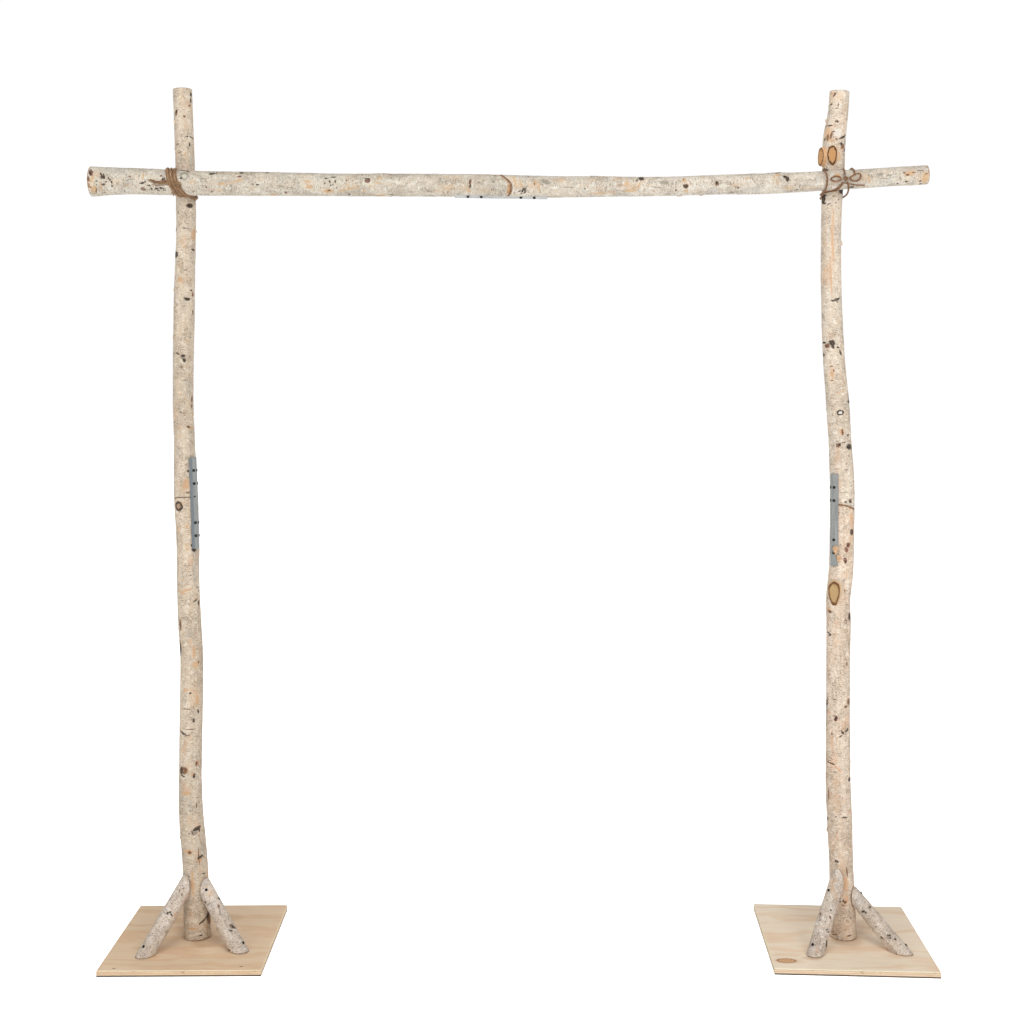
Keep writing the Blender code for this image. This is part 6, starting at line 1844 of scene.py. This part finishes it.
left_wrap(1, -0.034, -0.0225, -0.002, -0.041, 0.001)
left_wrap(2, -0.024, -0.0135, 0.0095, -0.023, 0.017)
left_wrap(3, -0.013, -0.0045, 0.021, -0.007, 0.033)


def on_bar(u, v, lift):
    """The place on the crossbar behind a point of the frame, `lift` above the bark."""
    s, angle, facing, depth = BAR.hit(u, v)
    c, r = (w[0] for w in BAR.at(s))
    t, n, b = (w[0] for w in BAR.axes(s))
    return c + (n * math.cos(angle) + b * math.sin(angle)) * (r + lift)


def left_ends(parts):
    """The two frayed ends and the hitch, lying on the bar beside the wraps."""
    tail = [on_bar(*p, 0.0016) for p in ((172.0, 184.2), (166.0, 183.4), (160.0, 183.6), (154.5, 182.6), (149.0, 180.8))]
    twine(parts, tail, 0.0015, False, 31, strands=2, hairs=2.2, sides=7)
    tail = [on_bar(*p, 0.0015) for p in ((171.0, 182.6), (164.0, 182.0), (158.0, 181.4), (153.0, 181.6))]
    twine(parts, tail, 0.0011, False, 32, strands=2, hairs=2.6, sides=7)
    tail = [on_bar(*p, 0.0016) for p in ((174.4, 184.0), (173.4, 187.0), (172.7, 190.4), (172.2, 193.2))]
    twine(parts, tail, 0.0014, False, 33, strands=2, hairs=2.0, sides=7)
    for n, line in enumerate((((179.4, 183.6), (176.4, 187.4), (174.6, 190.6), (173.4, 194.0)),
                              ((181.0, 184.4), (178.4, 188.0), (176.8, 190.4), (175.8, 193.8)),
                              ((171.6, 183.8), (165.0, 182.8), (157.0, 182.4), (148.0, 179.6)),
                              ((171.4, 185.0), (165.0, 185.0), (158.0, 185.0), (151.6, 184.4)),
                              ((171.6, 181.4), (166.0, 180.6), (160.4, 180.2)))):
        tail = [on_bar(*p, 0.0013 if n > 1 else 0.0060) for p in line]
        twine(parts, tail, 0.0011 if n > 1 else 0.0014, False, 35 + n, strands=2, hairs=2.6, sides=7)
    # a hitch over the wraps
    knot = [on_bar(*p, h) for p, h in (((171.6, 180.0), 0.0020), ((173.5, 182.6), 0.0085), ((177.0, 183.6), 0.0090),
                                       ((180.6, 182.4), 0.0080), ((181.6, 186.0), 0.0088), ((178.2, 187.4), 0.0085),
                                       ((174.6, 185.6), 0.0060), ((172.4, 183.2), 0.0022))]
    twine(parts, knot, 0.0016, False, 34, strands=2, hairs=1.6, sides=7)


lashing_piece("left_lashing_ends", [], left_ends, TWINE_LEFT)

# right: one thinner cord in two turns, tied at the front in a small bow
CORD_RIGHT = 0.0050
(RX, _, _), RIGHT_R = (w[0] for w in POST_R.at(2.232))
(_, RBY, RBZ), RBR = (w[0] for w in BAR.at(RX))
RB, RP = RBR + CORD_RIGHT / 2 + GAP, RIGHT_R + CORD_RIGHT / 2 + GAP
RF = RBY - RB


def right_path(keys, closed=False, pull=4, lift=0.0, spacing=0.0085):
    return pulled([(RX + x, y, RBZ + z) for x, y, z in keys], POST_R, CORD_RIGHT, closed, pull, spacing, lift)


UPPER_TURN = right_path([
    (0.013, RF - 0.001, 0.010), (0.0145, RBY - 0.7 * RB, 0.71 * RB), (0.016, RBY, RB),
    (0.024, RBY + 0.75 * RB, 0.66 * RB), (RP * 0.98, -0.006, 0.015), (RP * 0.7, RP * 0.7, 0.014),
    (0, RP, 0.013), (-RP * 0.7, RP * 0.7, 0.014), (-RP * 0.98, -0.006, 0.016),
    (-0.039, RBY + 0.75 * RB, 0.66 * RB), (-0.042, RBY, RB), (-0.040, RBY - 0.7 * RB, 0.71 * RB),
    (-0.036, RF, 0.0), (-0.037, RBY - 0.7 * RB, -0.71 * RB), (-0.041, RBY + 0.1 * RB, -RB - 0.002),
    (-0.040, -0.034, -0.039), (-RP * 0.97, -0.004, -0.043), (-RP * 0.7, RP * 0.7, -0.043),
    (0, RP, -0.042), (RP * 0.7, RP * 0.7, -0.041), (RP * 0.98, -0.004, -0.040),
    (0.034, -0.034, -0.036), (0.031, RBY, -RB - 0.001), (0.026, RBY - 0.75 * RB, -0.66 * RB),
    (0.021, RBY - 0.98 * RB - 0.001, -0.009)])
LOWER_TURN = right_path([
    (0.008, RF - 0.001, -0.011), (0.004, RBY - 0.75 * RB, -0.66 * RB), (-0.010, RBY - 0.3 * RB, -0.97 * RB),
    (-0.024, RBY + 0.3 * RB, -RB - 0.001), (-0.030, -0.030, -0.031), (-RP * 0.97, -0.004, -0.033),
    (-RP * 0.7, RP * 0.7, -0.030), (0, RP, -0.020), (RP * 0.7, RP * 0.7, -0.008),
    (RP * 0.99, -0.004, 0.001), (0.037, RBY + 0.8 * RB, 0.6 * RB), (0.039, RBY, RB),
    (0.042, RBY - 0.7 * RB, 0.71 * RB), (0.043, RF, 0.010)])
LEFT_LOOP = right_path([
    (0.0035, RF - 0.003, 0.000), (-0.008, RF - 0.003, 0.006), (-0.021, RF - 0.002, 0.004),
    (-0.028, RF - 0.001, -0.002), (-0.021, RF - 0.002, -0.008), (-0.006, RF - 0.003, -0.008)],
    closed=True, pull=1, lift=0.0005, spacing=0.005)
RIGHT_LOOP = right_path([
    (0.0255, RF - 0.003, 0.000), (0.033, RF - 0.003, -0.006), (0.047, RF - 0.002, -0.008),
    (0.058, RF - 0.001, 0.002), (0.056, RF - 0.006, 0.012), (0.044, RF - 0.0085, 0.012),
    (0.032, RF - 0.007, 0.006)],
    closed=True, pull=1, lift=0.0005, spacing=0.005)
for index, (name, node, path, closed) in enumerate((
        ("right_lashing_twine_upper", "right_lashing_upper_turn", UPPER_TURN, False),
        ("right_lashing_twine_lower", "right_lashing_lower_turn", LOWER_TURN, False),
        ("right_bow_twine_left", "right_bow_left_loop", LEFT_LOOP, True),
        ("right_bow_twine_right", "right_bow_right_loop", RIGHT_LOOP, True))):
    lashing_piece(name, [node], lambda parts: twine(parts, path, CORD_RIGHT / 2, closed, 40 + index, pitch=0.016),
                  TWINE_RIGHT)


def right_knot(parts):
    """Turns of the cord drawn tight over each other."""
    centre = np.array((RX + 0.0145, RF - 0.0035, RBZ - 0.0005))
    w = np.arange(14) / 14 * 2 * math.pi
    for k, (tilt, rx, rz, off) in enumerate(((0.55, 0.0056, 0.0046, -0.0018), (-0.45, 0.0054, 0.0050, 0.0006),
                                             (1.25, 0.0050, 0.0040, 0.0016))):
        x, z = rx * np.cos(w), rz * np.sin(w)
        y = -0.0016 * np.cos(2 * w + k) + off * 0.5
        ring = np.c_[x * math.cos(tilt) - z * math.sin(tilt), y, x * math.sin(tilt) + z * math.cos(tilt)]
        twine(parts, centre + ring * 0.92, 0.0018, True, 50 + k, pitch=0.010, fine=0.0009, sides=8, hairs=2.0)
    # two short ends lie along the bar
    ends = [((843.5, 182.4), (849.0, 183.6), (856.0, 184.6), (864.5, 184.9)),
            ((842.6, 183.0), (839.8, 187.2), (835.6, 190.2), (830.5, 191.6), (824.5, 193.0))]
    for k, row in enumerate(ends):
        path = [on_bar(u, v, 0.0022 if 0 < i else 0.0050) for i, (u, v) in enumerate(row)]
        twine(parts, path, 0.0018, False, 60 + k, strands=2, hairs=2.2, sides=8)


lashing_piece("right_knot_twine", ["right_lashing_knot"], right_knot, TWINE_RIGHT)


# ----------------------------------------------------------------- boards
def on_board(u, v, place):
    """Where the camera sees the top of a board, in the board's own directions."""
    d = view_ray(u, v)
    p = EYE + d * ((BOARD_THICK - EYE[2]) / d[2])
    x, y, turn = place
    c, s = math.cos(turn), math.sin(turn)
    return ((p[0] - x) * c + (p[1] - y) * s, -(p[0] - x) * s + (p[1] - y) * c)


def board_top_material(name, tone, seed, marks, knots=(), shade=()):
    """Sanded plywood face: wide flowing figure, fine pores, and this board's marks, some of them painted shadows."""
    k = Look(name)
    co = k.attr("bark")
    x, y, z = k.parts(co)
    for (kx, ky), a, b in knots:      # the grain flows round a knot
        dx, dy = k.math("SUBTRACT", x, kx), k.math("SUBTRACT", y, ky)
        d = k.vmath("LENGTH", k.join(k.math("DIVIDE", dx, a * 2.4), k.math("DIVIDE", dy, b * 2.4), 0.0))
        y = k.math("ADD", y, k.math("MULTIPLY", k.math("MULTIPLY", dy, -0.75), k.span(d, 1.3, 0.2)))
    flat = k.join(x, y, seed)
    drift = k.noise(k.scaled(flat, (2.2, 9.0, 1.0)), 1.0, 3.0, 0.5)
    lines = k.math("SINE", k.math("MULTIPLY", k.math("ADD", k.math("MULTIPLY", y, 9.0), k.math("MULTIPLY", drift, 4.2)), 6.2))
    fibre = k.noise(k.scaled(flat, (7.0, 420.0, 1.0)), 1.0, 4.0, 0.62)
    pore = k.noise(k.scaled(flat, (60.0, 900.0, 1.0)), 1.0, 2.0, 0.6)
    cloud = k.noise(flat, 7.0, 3.0, 0.55)
    light = srgb(*tone)
    warm_ = srgb(*(c * f for c, f in zip(tone, (0.975, 0.935, 0.89))))
    deep = srgb(*(c * f for c, f in zip(tone, (0.90, 0.85, 0.78))))
    colour = k.mix(k.span(lines, -0.2, 1.0), light, warm_)
    colour = k.mix(k.math("MULTIPLY", k.span(fibre, 0.44, 0.70), 0.50), colour, deep)
    colour = k.mix(k.math("MULTIPLY", k.span(pore, 0.62, 0.74), 0.40), colour, srgb(*(c * 0.72 for c in tone)))
    colour = k.mix(k.math("MULTIPLY", k.span(cloud, 0.40, 0.72), 0.35), colour, srgb(*(min(255, c * 1.06) for c in tone)))
    ox, oy, _ = k.parts(co)
    ragged = k.noise(co, 240.0, 3.0, 0.6)
    for (kx, ky), a, b in knots:
        d = k.vmath("LENGTH", k.join(k.math("DIVIDE", k.math("SUBTRACT", ox, kx), a),
                                     k.math("DIVIDE", k.math("SUBTRACT", oy, ky), b), 0.0))
        d = k.math("ADD", d, k.math("MULTIPLY", k.math("SUBTRACT", ragged, 0.5), 0.5))
        ring = k.span(k.math("SINE", k.math("MULTIPLY", d, 15.0)), -0.6, 1.0)
        colour = k.mix(k.math("MULTIPLY", k.span(d, 1.9, 0.9), 0.50), colour, srgb(226, 180, 134))
        colour = k.mix(k.math("MULTIPLY", k.span(d, 1.05, 0.85), 0.85), colour,
                       k.mix(ring, srgb(222, 170, 122), srgb(200, 146, 98)))
        colour = k.mix(k.math("MULTIPLY", k.span(k.math("ABSOLUTE", k.math("SUBTRACT", d, 1.0)), 0.22, 0.06), 0.75),
                       colour, srgb(150, 98, 60))
    # some of the marks are painted shadows round the foot of the post
    for (kx, ky), a, b, tint, amount in marks:
        d = k.vmath("LENGTH", k.join(k.math("DIVIDE", k.math("SUBTRACT", ox, kx), a),
                                     k.math("DIVIDE", k.math("SUBTRACT", oy, ky), b), 0.0))
        d = k.math("ADD", d, k.math("MULTIPLY", k.math("SUBTRACT", ragged, 0.5), 0.9))
        colour = k.mix(k.math("MULTIPLY", k.span(d, 1.15, 0.55), amount), colour, tint)
    height = k.math("ADD", k.math("MULTIPLY", fibre, 0.6), k.math("MULTIPLY", pore, 0.4))
    rough = k.span(fibre, 0.35, 0.70, 0.58, 0.74)
    return k.finish(colour, rough, k.bump(height, 0.0003, 0.6), specular=0.35)


def board_edge_material(name, tone, seed):
    """The layers of plywood: long grain and end grain by turns, and dark glue lines; a painted highlight along the top
    and painted shadow along the bottom.
    """
    k = Look(name)
    x, y, z = k.parts(k.attr("bark"))
    layer = k.math("MULTIPLY", z, 7.0 / BOARD_THICK)
    run = k.math("ADD", x, y)
    wander = k.noise(k.join(k.math("MULTIPLY", x, 22.0), k.math("MULTIPLY", y, 22.0), seed), 1.0, 2.0, 0.5)
    layer = k.math("ADD", layer, k.math("MULTIPLY", k.math("SUBTRACT", wander, 0.5), 0.22))
    part = k.math("FRACT", layer)
    odd = k.math("GREATER_THAN", k.math("FRACT", k.math("MULTIPLY", layer, 0.5)), 0.5)
    long_ = k.noise(k.join(k.math("MULTIPLY", x, 16.0), k.math("MULTIPLY", y, 16.0), k.math("MULTIPLY", z, 900.0)), 1.0, 3.0, 0.6)
    end = k.noise(k.join(k.math("MULTIPLY", x, 700.0), k.math("MULTIPLY", y, 700.0), k.math("MULTIPLY", z, 260.0)), 1.0, 3.0, 0.7)
    light = srgb(*tone)
    mid = srgb(*(c * f for c, f in zip(tone, (0.93, 0.89, 0.84))))
    deep = srgb(*(c * f for c, f in zip(tone, (0.87, 0.82, 0.76))))
    a = k.mix(k.span(long_, 0.38, 0.66), light, mid)
    b = k.mix(k.span(end, 0.38, 0.62), mid, deep)
    colour = k.mix(odd, a, b)
    glue = k.span(k.math("ABSOLUTE", k.math("SUBTRACT", part, 0.5)), 0.44, 0.49)
    colour = k.mix(k.math("MULTIPLY", glue, 0.50), colour, srgb(150, 116, 84))
    patch = k.noise(k.join(k.math("MULTIPLY", x, 40.0), k.math("MULTIPLY", y, 40.0), k.math("MULTIPLY", z, 160.0)), 1.0, 3.0, 0.6)
    colour = k.mix(k.math("MULTIPLY", k.span(patch, 0.60, 0.68), 0.60), colour, srgb(160, 116, 80))
    # painted highlight: the top of the edge is made lighter
    colour = k.mix(k.span(z, BOARD_THICK * 0.90, BOARD_THICK * 0.97), colour, srgb(*(min(255, c * 1.10) for c in tone)))
    # painted shadow: the lowest few millimetres of the edge go nearly black, as the shade under the board
    colour = k.mix(k.math("MULTIPLY", k.span(z, 0.0052, 0.0034), 0.92), colour, srgb(66, 56, 48))
    height = k.math("SUBTRACT", k.math("MULTIPLY", end, 0.6), k.math("MULTIPLY", glue, 0.8))
    return k.finish(colour, 0.80, k.bump(height, 0.0004, 0.7), specular=0.25)


def board_piece(name, node, place, seed, mats):
    px, py, turn = place
    n = 60
    half, thick = BOARD_SIDE / 2, BOARD_THICK
    edge = np.linspace(-1, 1, n + 1)
    square = np.concatenate([np.c_[edge[:-1], np.full(n, -1.0)], np.c_[np.full(n, 1.0), edge[:-1]],
                             np.c_[edge[::-1][:-1], np.full(n, 1.0)], np.c_[np.full(n, -1.0), edge[::-1][:-1]]])
    cols = len(square)
    z_rows, inset = [0.0, 0.0005], [0.0007, 0.0002]
    ply = thick / 7
    for i in range(7):
        if i:
            z_rows += [i * ply - 0.00022, i * ply, i * ply + 0.00022]
            inset += [0.0, 0.00030, 0.0]
        z_rows.append((i + 0.5) * ply)
        inset.append(0.0)
    z_rows += [thick - 0.0007, thick - 0.0002, thick]
    inset += [0.0001, 0.0004, 0.0009]
    verts, bark = [], []
    for z, ins in zip(z_rows, inset):
        rough = np.zeros(cols)
        if 0.0006 < z < thick - 0.0008:
            layer = int(z / ply)
            rough = 0.00010 * (1 + noise3(np.c_[square * 30.0, np.full(cols, layer * 5.0 + seed)], seed))
        side = half - ins - rough
        p = np.c_[square[:, 0] * side, square[:, 1] * side, np.full(cols, z)]
        verts.append(p)
    rings = len(verts)
    ring_v = np.concatenate(verts)
    quads = grid_quads(rings, cols)
    inner = half - inset[-1]
    g = np.linspace(-inner, inner, n + 1)
    gx, gy = np.meshgrid(g, g, indexing="xy")
    flat = np.c_[gx.ravel(), gy.ravel()]
    from_edge = np.minimum(inner - np.abs(flat[:, 0]), inner - np.abs(flat[:, 1]))
    dip = 0.00022 * (1 + fbm(np.c_[flat * 9.0, np.full(len(flat), seed * 1.0)], seed, 3)) * smoothstep(0.0, 0.02, from_edge)
    top = np.c_[flat, thick - dip]
    grid = grid_quads(n + 1, n + 1, wrap=False)
    low = top.copy()
    low_half = half - inset[0]
    low[:, :2] *= low_half / inner
    low[:, 2] = 0.0
    a = len(ring_v)
    b = a + len(top)
    all_v = np.concatenate([ring_v, top, low])
    # grid_quads leaves row-major cells: keep only those that don't wrap
    faces = [quads, grid + a, grid[:, ::-1] + b]
    c, s = math.cos(turn), math.sin(turn)
    world_v = np.c_[all_v[:, 0] * c - all_v[:, 1] * s + px, all_v[:, 0] * s + all_v[:, 1] * c + py, all_v[:, 2]]
    obj = build_mesh(name, world_v, faces, mats, [1, 0, 0], bark=all_v)
    bm = bmesh.new()
    bm.from_mesh(obj.data)
    bmesh.ops.remove_doubles(bm, verts=bm.verts, dist=0.000004)
    bmesh.ops.recalc_face_normals(bm, faces=bm.faces)
    bm.to_mesh(obj.data)
    bm.free()
    obj.data.set_sharp_from_angle(angle=math.radians(35))
    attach(obj, "root")
    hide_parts(node)
    return obj


DASH = srgb(92, 70, 52)
board_piece("left_board_plywood", "left_base_board", LEFT_BOARD, 5, [
    board_top_material("plywood_left", (236, 210, 180), 2.0, [
        (on_board(241, 966.5, LEFT_BOARD), 0.0060, 0.0035, DASH, 0.75),
        (on_board(114, 968.5, LEFT_BOARD), 0.0055, 0.0035, DASH, 0.75),
        (on_board(150, 957.0, LEFT_BOARD), 0.0300, 0.0140, srgb(232, 178, 130), 0.55),
        # painted shadows: the next two patches, round the post's foot and between the post and its right brace
        (on_board(206, 941.0, LEFT_BOARD), 0.0500, 0.0500, srgb(176, 140, 104), 0.40),
        (on_board(225, 918.0, LEFT_BOARD), 0.0600, 0.0400, srgb(196, 164, 126), 0.35),
    ]),
    board_edge_material("plywood_left_edge", (246, 224, 196), 1.0)])
board_piece("right_board_plywood", "right_base_board", RIGHT_BOARD, 9, [
    board_top_material("plywood_right", (252, 234, 212), 6.0, [
        # painted shadow beside the post, towards its right brace
        (on_board(870, 925.0, RIGHT_BOARD), 0.0550, 0.0500, srgb(196, 158, 120), 0.45),
        (on_board(812, 958.0, RIGHT_BOARD), 0.0300, 0.0160, srgb(206, 164, 122), 0.45),
        # painted shadow round the post's foot
        (on_board(848, 941.0, RIGHT_BOARD), 0.0480, 0.0450, srgb(190, 152, 116), 0.40),
    ], knots=[(on_board(786.4, 960.6, RIGHT_BOARD), 0.0250, 0.0130)]),
    board_edge_material("plywood_right_edge", (252, 234, 210), 3.0)])


# ------------------------------------------------------- curls of loose bark
def peel_material():
    """The thin outer layer: cream outside, tan and peach inside."""
    k = Look("bark_curl")
    x, y, z = k.parts(k.attr("bark"))
    n = k.noise(k.obj(), 240.0, 4.0, 0.65)
    dash = k.noise(k.scaled(k.obj(), (1, 1, 5.0)), 120.0, 2.0, 0.5)
    outer = k.mix(k.span(n, 0.40, 0.64), srgb(238, 226, 206), srgb(204, 186, 160))
    inner = k.mix(k.span(n, 0.40, 0.62), srgb(216, 182, 148), srgb(184, 144, 108))
    colour = k.mix(k.span(z, 0.4, 0.6), outer, inner)
    colour = k.mix(k.math("MULTIPLY", k.span(dash, 0.60, 0.68), 0.6), colour, srgb(128, 94, 66))
    return k.finish(colour, 0.72, k.bump(n, 0.0005, 0.7), specular=0.3)


CURLS = Parts()


def curl(pole, s, angle, tall, wide, tight, seed, way=1, stick=0.35, lift=0.0004):
    """A strip of bark that has let go along one edge and rolled outwards."""
    c, r = (w[0] for w in pole.at(s))
    t, n, b = (w[0] for w in pole.axes(s))
    rows, cols = 9, 12
    w = np.linspace(0, 1, cols)
    flat_len = wide * stick
    roll_len = wide - flat_len
    path = []
    for q in w:
        d = q * wide
        if d <= flat_len:
            path.append((d, lift))
        else:
            e = (d - flat_len) / tight
            path.append((flat_len + tight * math.sin(e), lift + tight * (1 - math.cos(e))))
    path = np.array(path)
    h = np.linspace(-0.5, 0.5, rows)
    rng = np.random.default_rng(seed)
    low_cut, high_cut = rng.uniform(0.55, 1.0, 2)
    verts_out, verts_in, marks_o, marks_i = [], [], [], []
    for i, hh in enumerate(h):
        for j, (d, up_) in enumerate(path):
            frac = w[j]
            scale = 1 - (1 - (low_cut if hh < 0 else high_cut)) * frac
            ragged = 0.10 * math.sin(7 * frac + seed) * abs(hh) * 2
            along = hh * tall * (scale + ragged)
            a = angle + way * d / r
            out = n * math.cos(a) + b * math.sin(a)
            cc, rr = (q[0] for q in pole.at(s + along))
            lifted = up_ * (0.75 + 0.5 * (0.5 + 0.5 * math.sin(3 * hh + seed)))
            p = cc + out * (rr + 0.0002 + lifted)
            verts_out.append(p + out * 0.00014)
            verts_in.append(p - out * 0.00014)
            marks_o.append((frac, hh, 0.0))
            marks_i.append((frac, hh, 1.0))
    size = rows * cols
    verts = np.array(verts_out + verts_in)
    grid = grid_quads(rows, cols, wrap=False)
    rim = [j for j in range(cols)] + [i * cols + cols - 1 for i in range(1, rows)]
    rim += [(rows - 1) * cols + j for j in range(cols - 2, -1, -1)] + [i * cols for i in range(rows - 2, 0, -1)]
    rim = np.array(rim)
    nxt = np.roll(rim, -1)
    walls = np.c_[rim, nxt, nxt + size, rim + size]
    quads = np.concatenate([grid[:, ::-1], grid + size, walls]) if way > 0 else \
        np.concatenate([grid, grid[:, ::-1] + size, walls[:, ::-1]])
    CURLS.add(verts, quads, (), 0, np.array(marks_o + marks_i))


for index, (pole, s0, s1, count) in enumerate(((POST_L, 0.10, 2.44, 26), (POST_R, 0.10, 2.44, 26), (BAR, -1.15, 1.14, 26))):
    rng = np.random.default_rng(900 + index)
    for k in range(count):
        s = s0 + (s1 - s0) * (k + rng.uniform(0.1, 0.9)) / count
        angle = rng.uniform(-math.pi, math.pi)
        if pole is BAR and (-0.18 < s < 0.11 or abs(s + 0.956) < 0.09 or abs(s - 0.932) < 0.10):
            continue
        if pole is not BAR and (abs(s - 2.23) < 0.07 or 1.10 < s < 1.46 or 0.98 < s < 1.09 or s < 0.26):
            continue
        curl(pole, s, angle, rng.uniform(0.006, 0.017), rng.uniform(0.005, 0.010), rng.uniform(0.0009, 0.0019),
             300 + 40 * index + k, 1 if rng.random() < 0.5 else -1, rng.uniform(0.2, 0.5))
for name, pole in BRACE_POLES.items():
    rng = np.random.default_rng(len(name) * 7 + int(pole.a[0] * 1000) % 97)
    for k in range(3):
        curl(pole, rng.uniform(0.06, pole.length * 0.75), rng.uniform(-math.pi, math.pi), rng.uniform(0.005, 0.010),
             rng.uniform(0.004, 0.006), rng.uniform(0.0008, 0.0014), 700 + k + len(name),
             1 if rng.random() < 0.5 else -1)
bm_peel = peel_material()
curls = CURLS.make("bark_curls", [bm_peel])
bm = bmesh.new()
bm.from_mesh(curls.data)
bmesh.ops.recalc_face_normals(bm, faces=bm.faces)
bm.to_mesh(curls.data)
bm.free()
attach(curls, "root")


def flap_on_angle():
    """Two peach flakes of bark that hang over the lower end of the right angle."""
    parts = Parts()
    o, x, y, z = angle_frame("right_post_splice_angle")
    for index, (u, v, hw, hh) in enumerate(((835.6, 549.8, 2.7, 4.2), (838.6, 558.0, 2.2, 3.4))):
        d = view_ray(u, v)
        depth = float((o - y * 0.0008 - EYE) @ -y) / float(d @ -y)
        centre = EYE + d * depth
        rows, cols = 11, 11
        gu, gv = np.meshgrid(np.linspace(-1, 1, cols), np.linspace(-1, 1, rows))
        gu, gv = gu.ravel(), gv.ravel()
        a = np.arctan2(gv, gu)
        m = np.maximum(np.abs(gu), np.abs(gv))
        rad = m * (1 + 0.16 * np.sin(3 * a + index) + 0.10 * np.sin(7 * a + 2 * index))
        px = depth / FOCAL_PX
        side = -x if (-x)[0] > 0 else x
        lift = 0.0004 + 0.0022 * smoothstep(0.2, 1.0, m) * (0.5 + 0.5 * np.sin(2 * a + 1.0 + index))
        p = (centre + side * (rad * np.cos(a) * hw * px)[:, None] + z * (rad * np.sin(a) * hh * px)[:, None]
             - y * lift[:, None])
        size = rows * cols
        verts = np.concatenate([p - y * 0.00014, p + y * 0.00014])
        grid = grid_quads(rows, cols, wrap=False)
        rim = [j for j in range(cols)] + [i * cols + cols - 1 for i in range(1, rows)]
        rim += [(rows - 1) * cols + j for j in range(cols - 2, -1, -1)] + [i * cols for i in range(rows - 2, 0, -1)]
        rim = np.array(rim)
        nxt = np.roll(rim, -1)
        walls = np.c_[rim, nxt, nxt + size, rim + size]
        parts.add(verts, np.concatenate([grid, grid[:, ::-1] + size, walls]), (), 0,
                  np.c_[np.tile(gu, 2), np.tile(gv, 2), np.full(2 * size, 1.0)])
    obj = parts.make("right_post_bark_flakes", [bm_peel])
    bm = bmesh.new()
    bm.from_mesh(obj.data)
    bmesh.ops.recalc_face_normals(bm, faces=bm.faces)
    bm.to_mesh(obj.data)
    bm.free()
    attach(obj, "root")


flap_on_angle()


# ------------------------------------------------------------------ light
scene = bpy.context.scene
scene.view_settings.view_transform = "Standard"
world = bpy.data.worlds.new("studio")
scene.world = world
world.use_nodes = True
wn = world.node_tree
wn.nodes.clear()
w_out = wn.nodes.new("ShaderNodeOutputWorld")
w_seen = wn.nodes.new("ShaderNodeBackground")
w_seen.inputs[0].default_value = (1.0, 1.0, 1.0, 1.0)
w_seen.inputs[1].default_value = 1.02
w_lit = wn.nodes.new("ShaderNodeBackground")
w_lit.inputs[0].default_value = (1.0, 0.99, 0.975, 1.0)
w_lit.inputs[1].default_value = 0.36
w_path = wn.nodes.new("ShaderNodeLightPath")
w_mix = wn.nodes.new("ShaderNodeMixShader")
wn.links.new(w_path.outputs["Is Camera Ray"], w_mix.inputs[0])
wn.links.new(w_lit.outputs[0], w_mix.inputs[1])
wn.links.new(w_seen.outputs[0], w_mix.inputs[2])
wn.links.new(w_mix.outputs[0], w_out.inputs[0])


def softbox(name, place, target, size, power, colour=(1.0, 0.985, 0.96)):
    lamp = bpy.data.lights.new(name, "AREA")
    lamp.shape = "RECTANGLE"
    lamp.size, lamp.size_y = size
    lamp.energy = power
    lamp.color = colour
    obj = bpy.data.objects.new(name, lamp)
    obj.location = place
    obj.rotation_euler = (Vector(target) - Vector(place)).to_track_quat("-Z", "Y").to_euler()
    scene.collection.objects.link(obj)


softbox("key", (2.6, -5.4, 3.6), (0.2, 0.0, 1.3), (3.0, 3.0), 118.0)
softbox("fill", (-3.4, -5.2, 3.2), (-0.2, 0.0, 1.2), (3.0, 3.0), 88.0)
softbox("top", (0.0, -1.6, 5.4), (0.0, 0.0, 0.6), (4.5, 3.0), 62.0)

softbox("back", (0.4, 5.6, 3.0), (0.0, 0.0, 1.1), (4.0, 3.0), 58.0)

# ------------------------------------------------------------------ floor
k = Look("floor_paper")
spot = k.vmath("LENGTH", k.obj())
paper = k.mix(k.span(k.noise(k.obj(), 30.0, 4.0, 0.6), 0.3, 0.7), (0.93, 0.93, 0.93, 1.0), (0.95, 0.95, 0.95, 1.0))
floor_mat = k.finish(paper, 0.9, specular=0.1)
glow = k.span(spot, 1.2, 7.0, 0.30, 0.9)
seen = k.node("ShaderNodeLightPath").outputs["Is Camera Ray"]
k.bsdf.inputs["Emission Color"].default_value = (1.0, 1.0, 1.0, 1.0)
k.put(k.bsdf.inputs["Emission Strength"], k.math("MAXIMUM", glow, seen))
mesh = bpy.data.meshes.new("floor")
bm = bmesh.new()
bmesh.ops.create_grid(bm, x_segments=8, y_segments=8, size=40.0)
bm.to_mesh(mesh)
bm.free()
mesh.materials.append(floor_mat)
floor = bpy.data.objects.new("floor", mesh)
scene.collection.objects.link(floor)
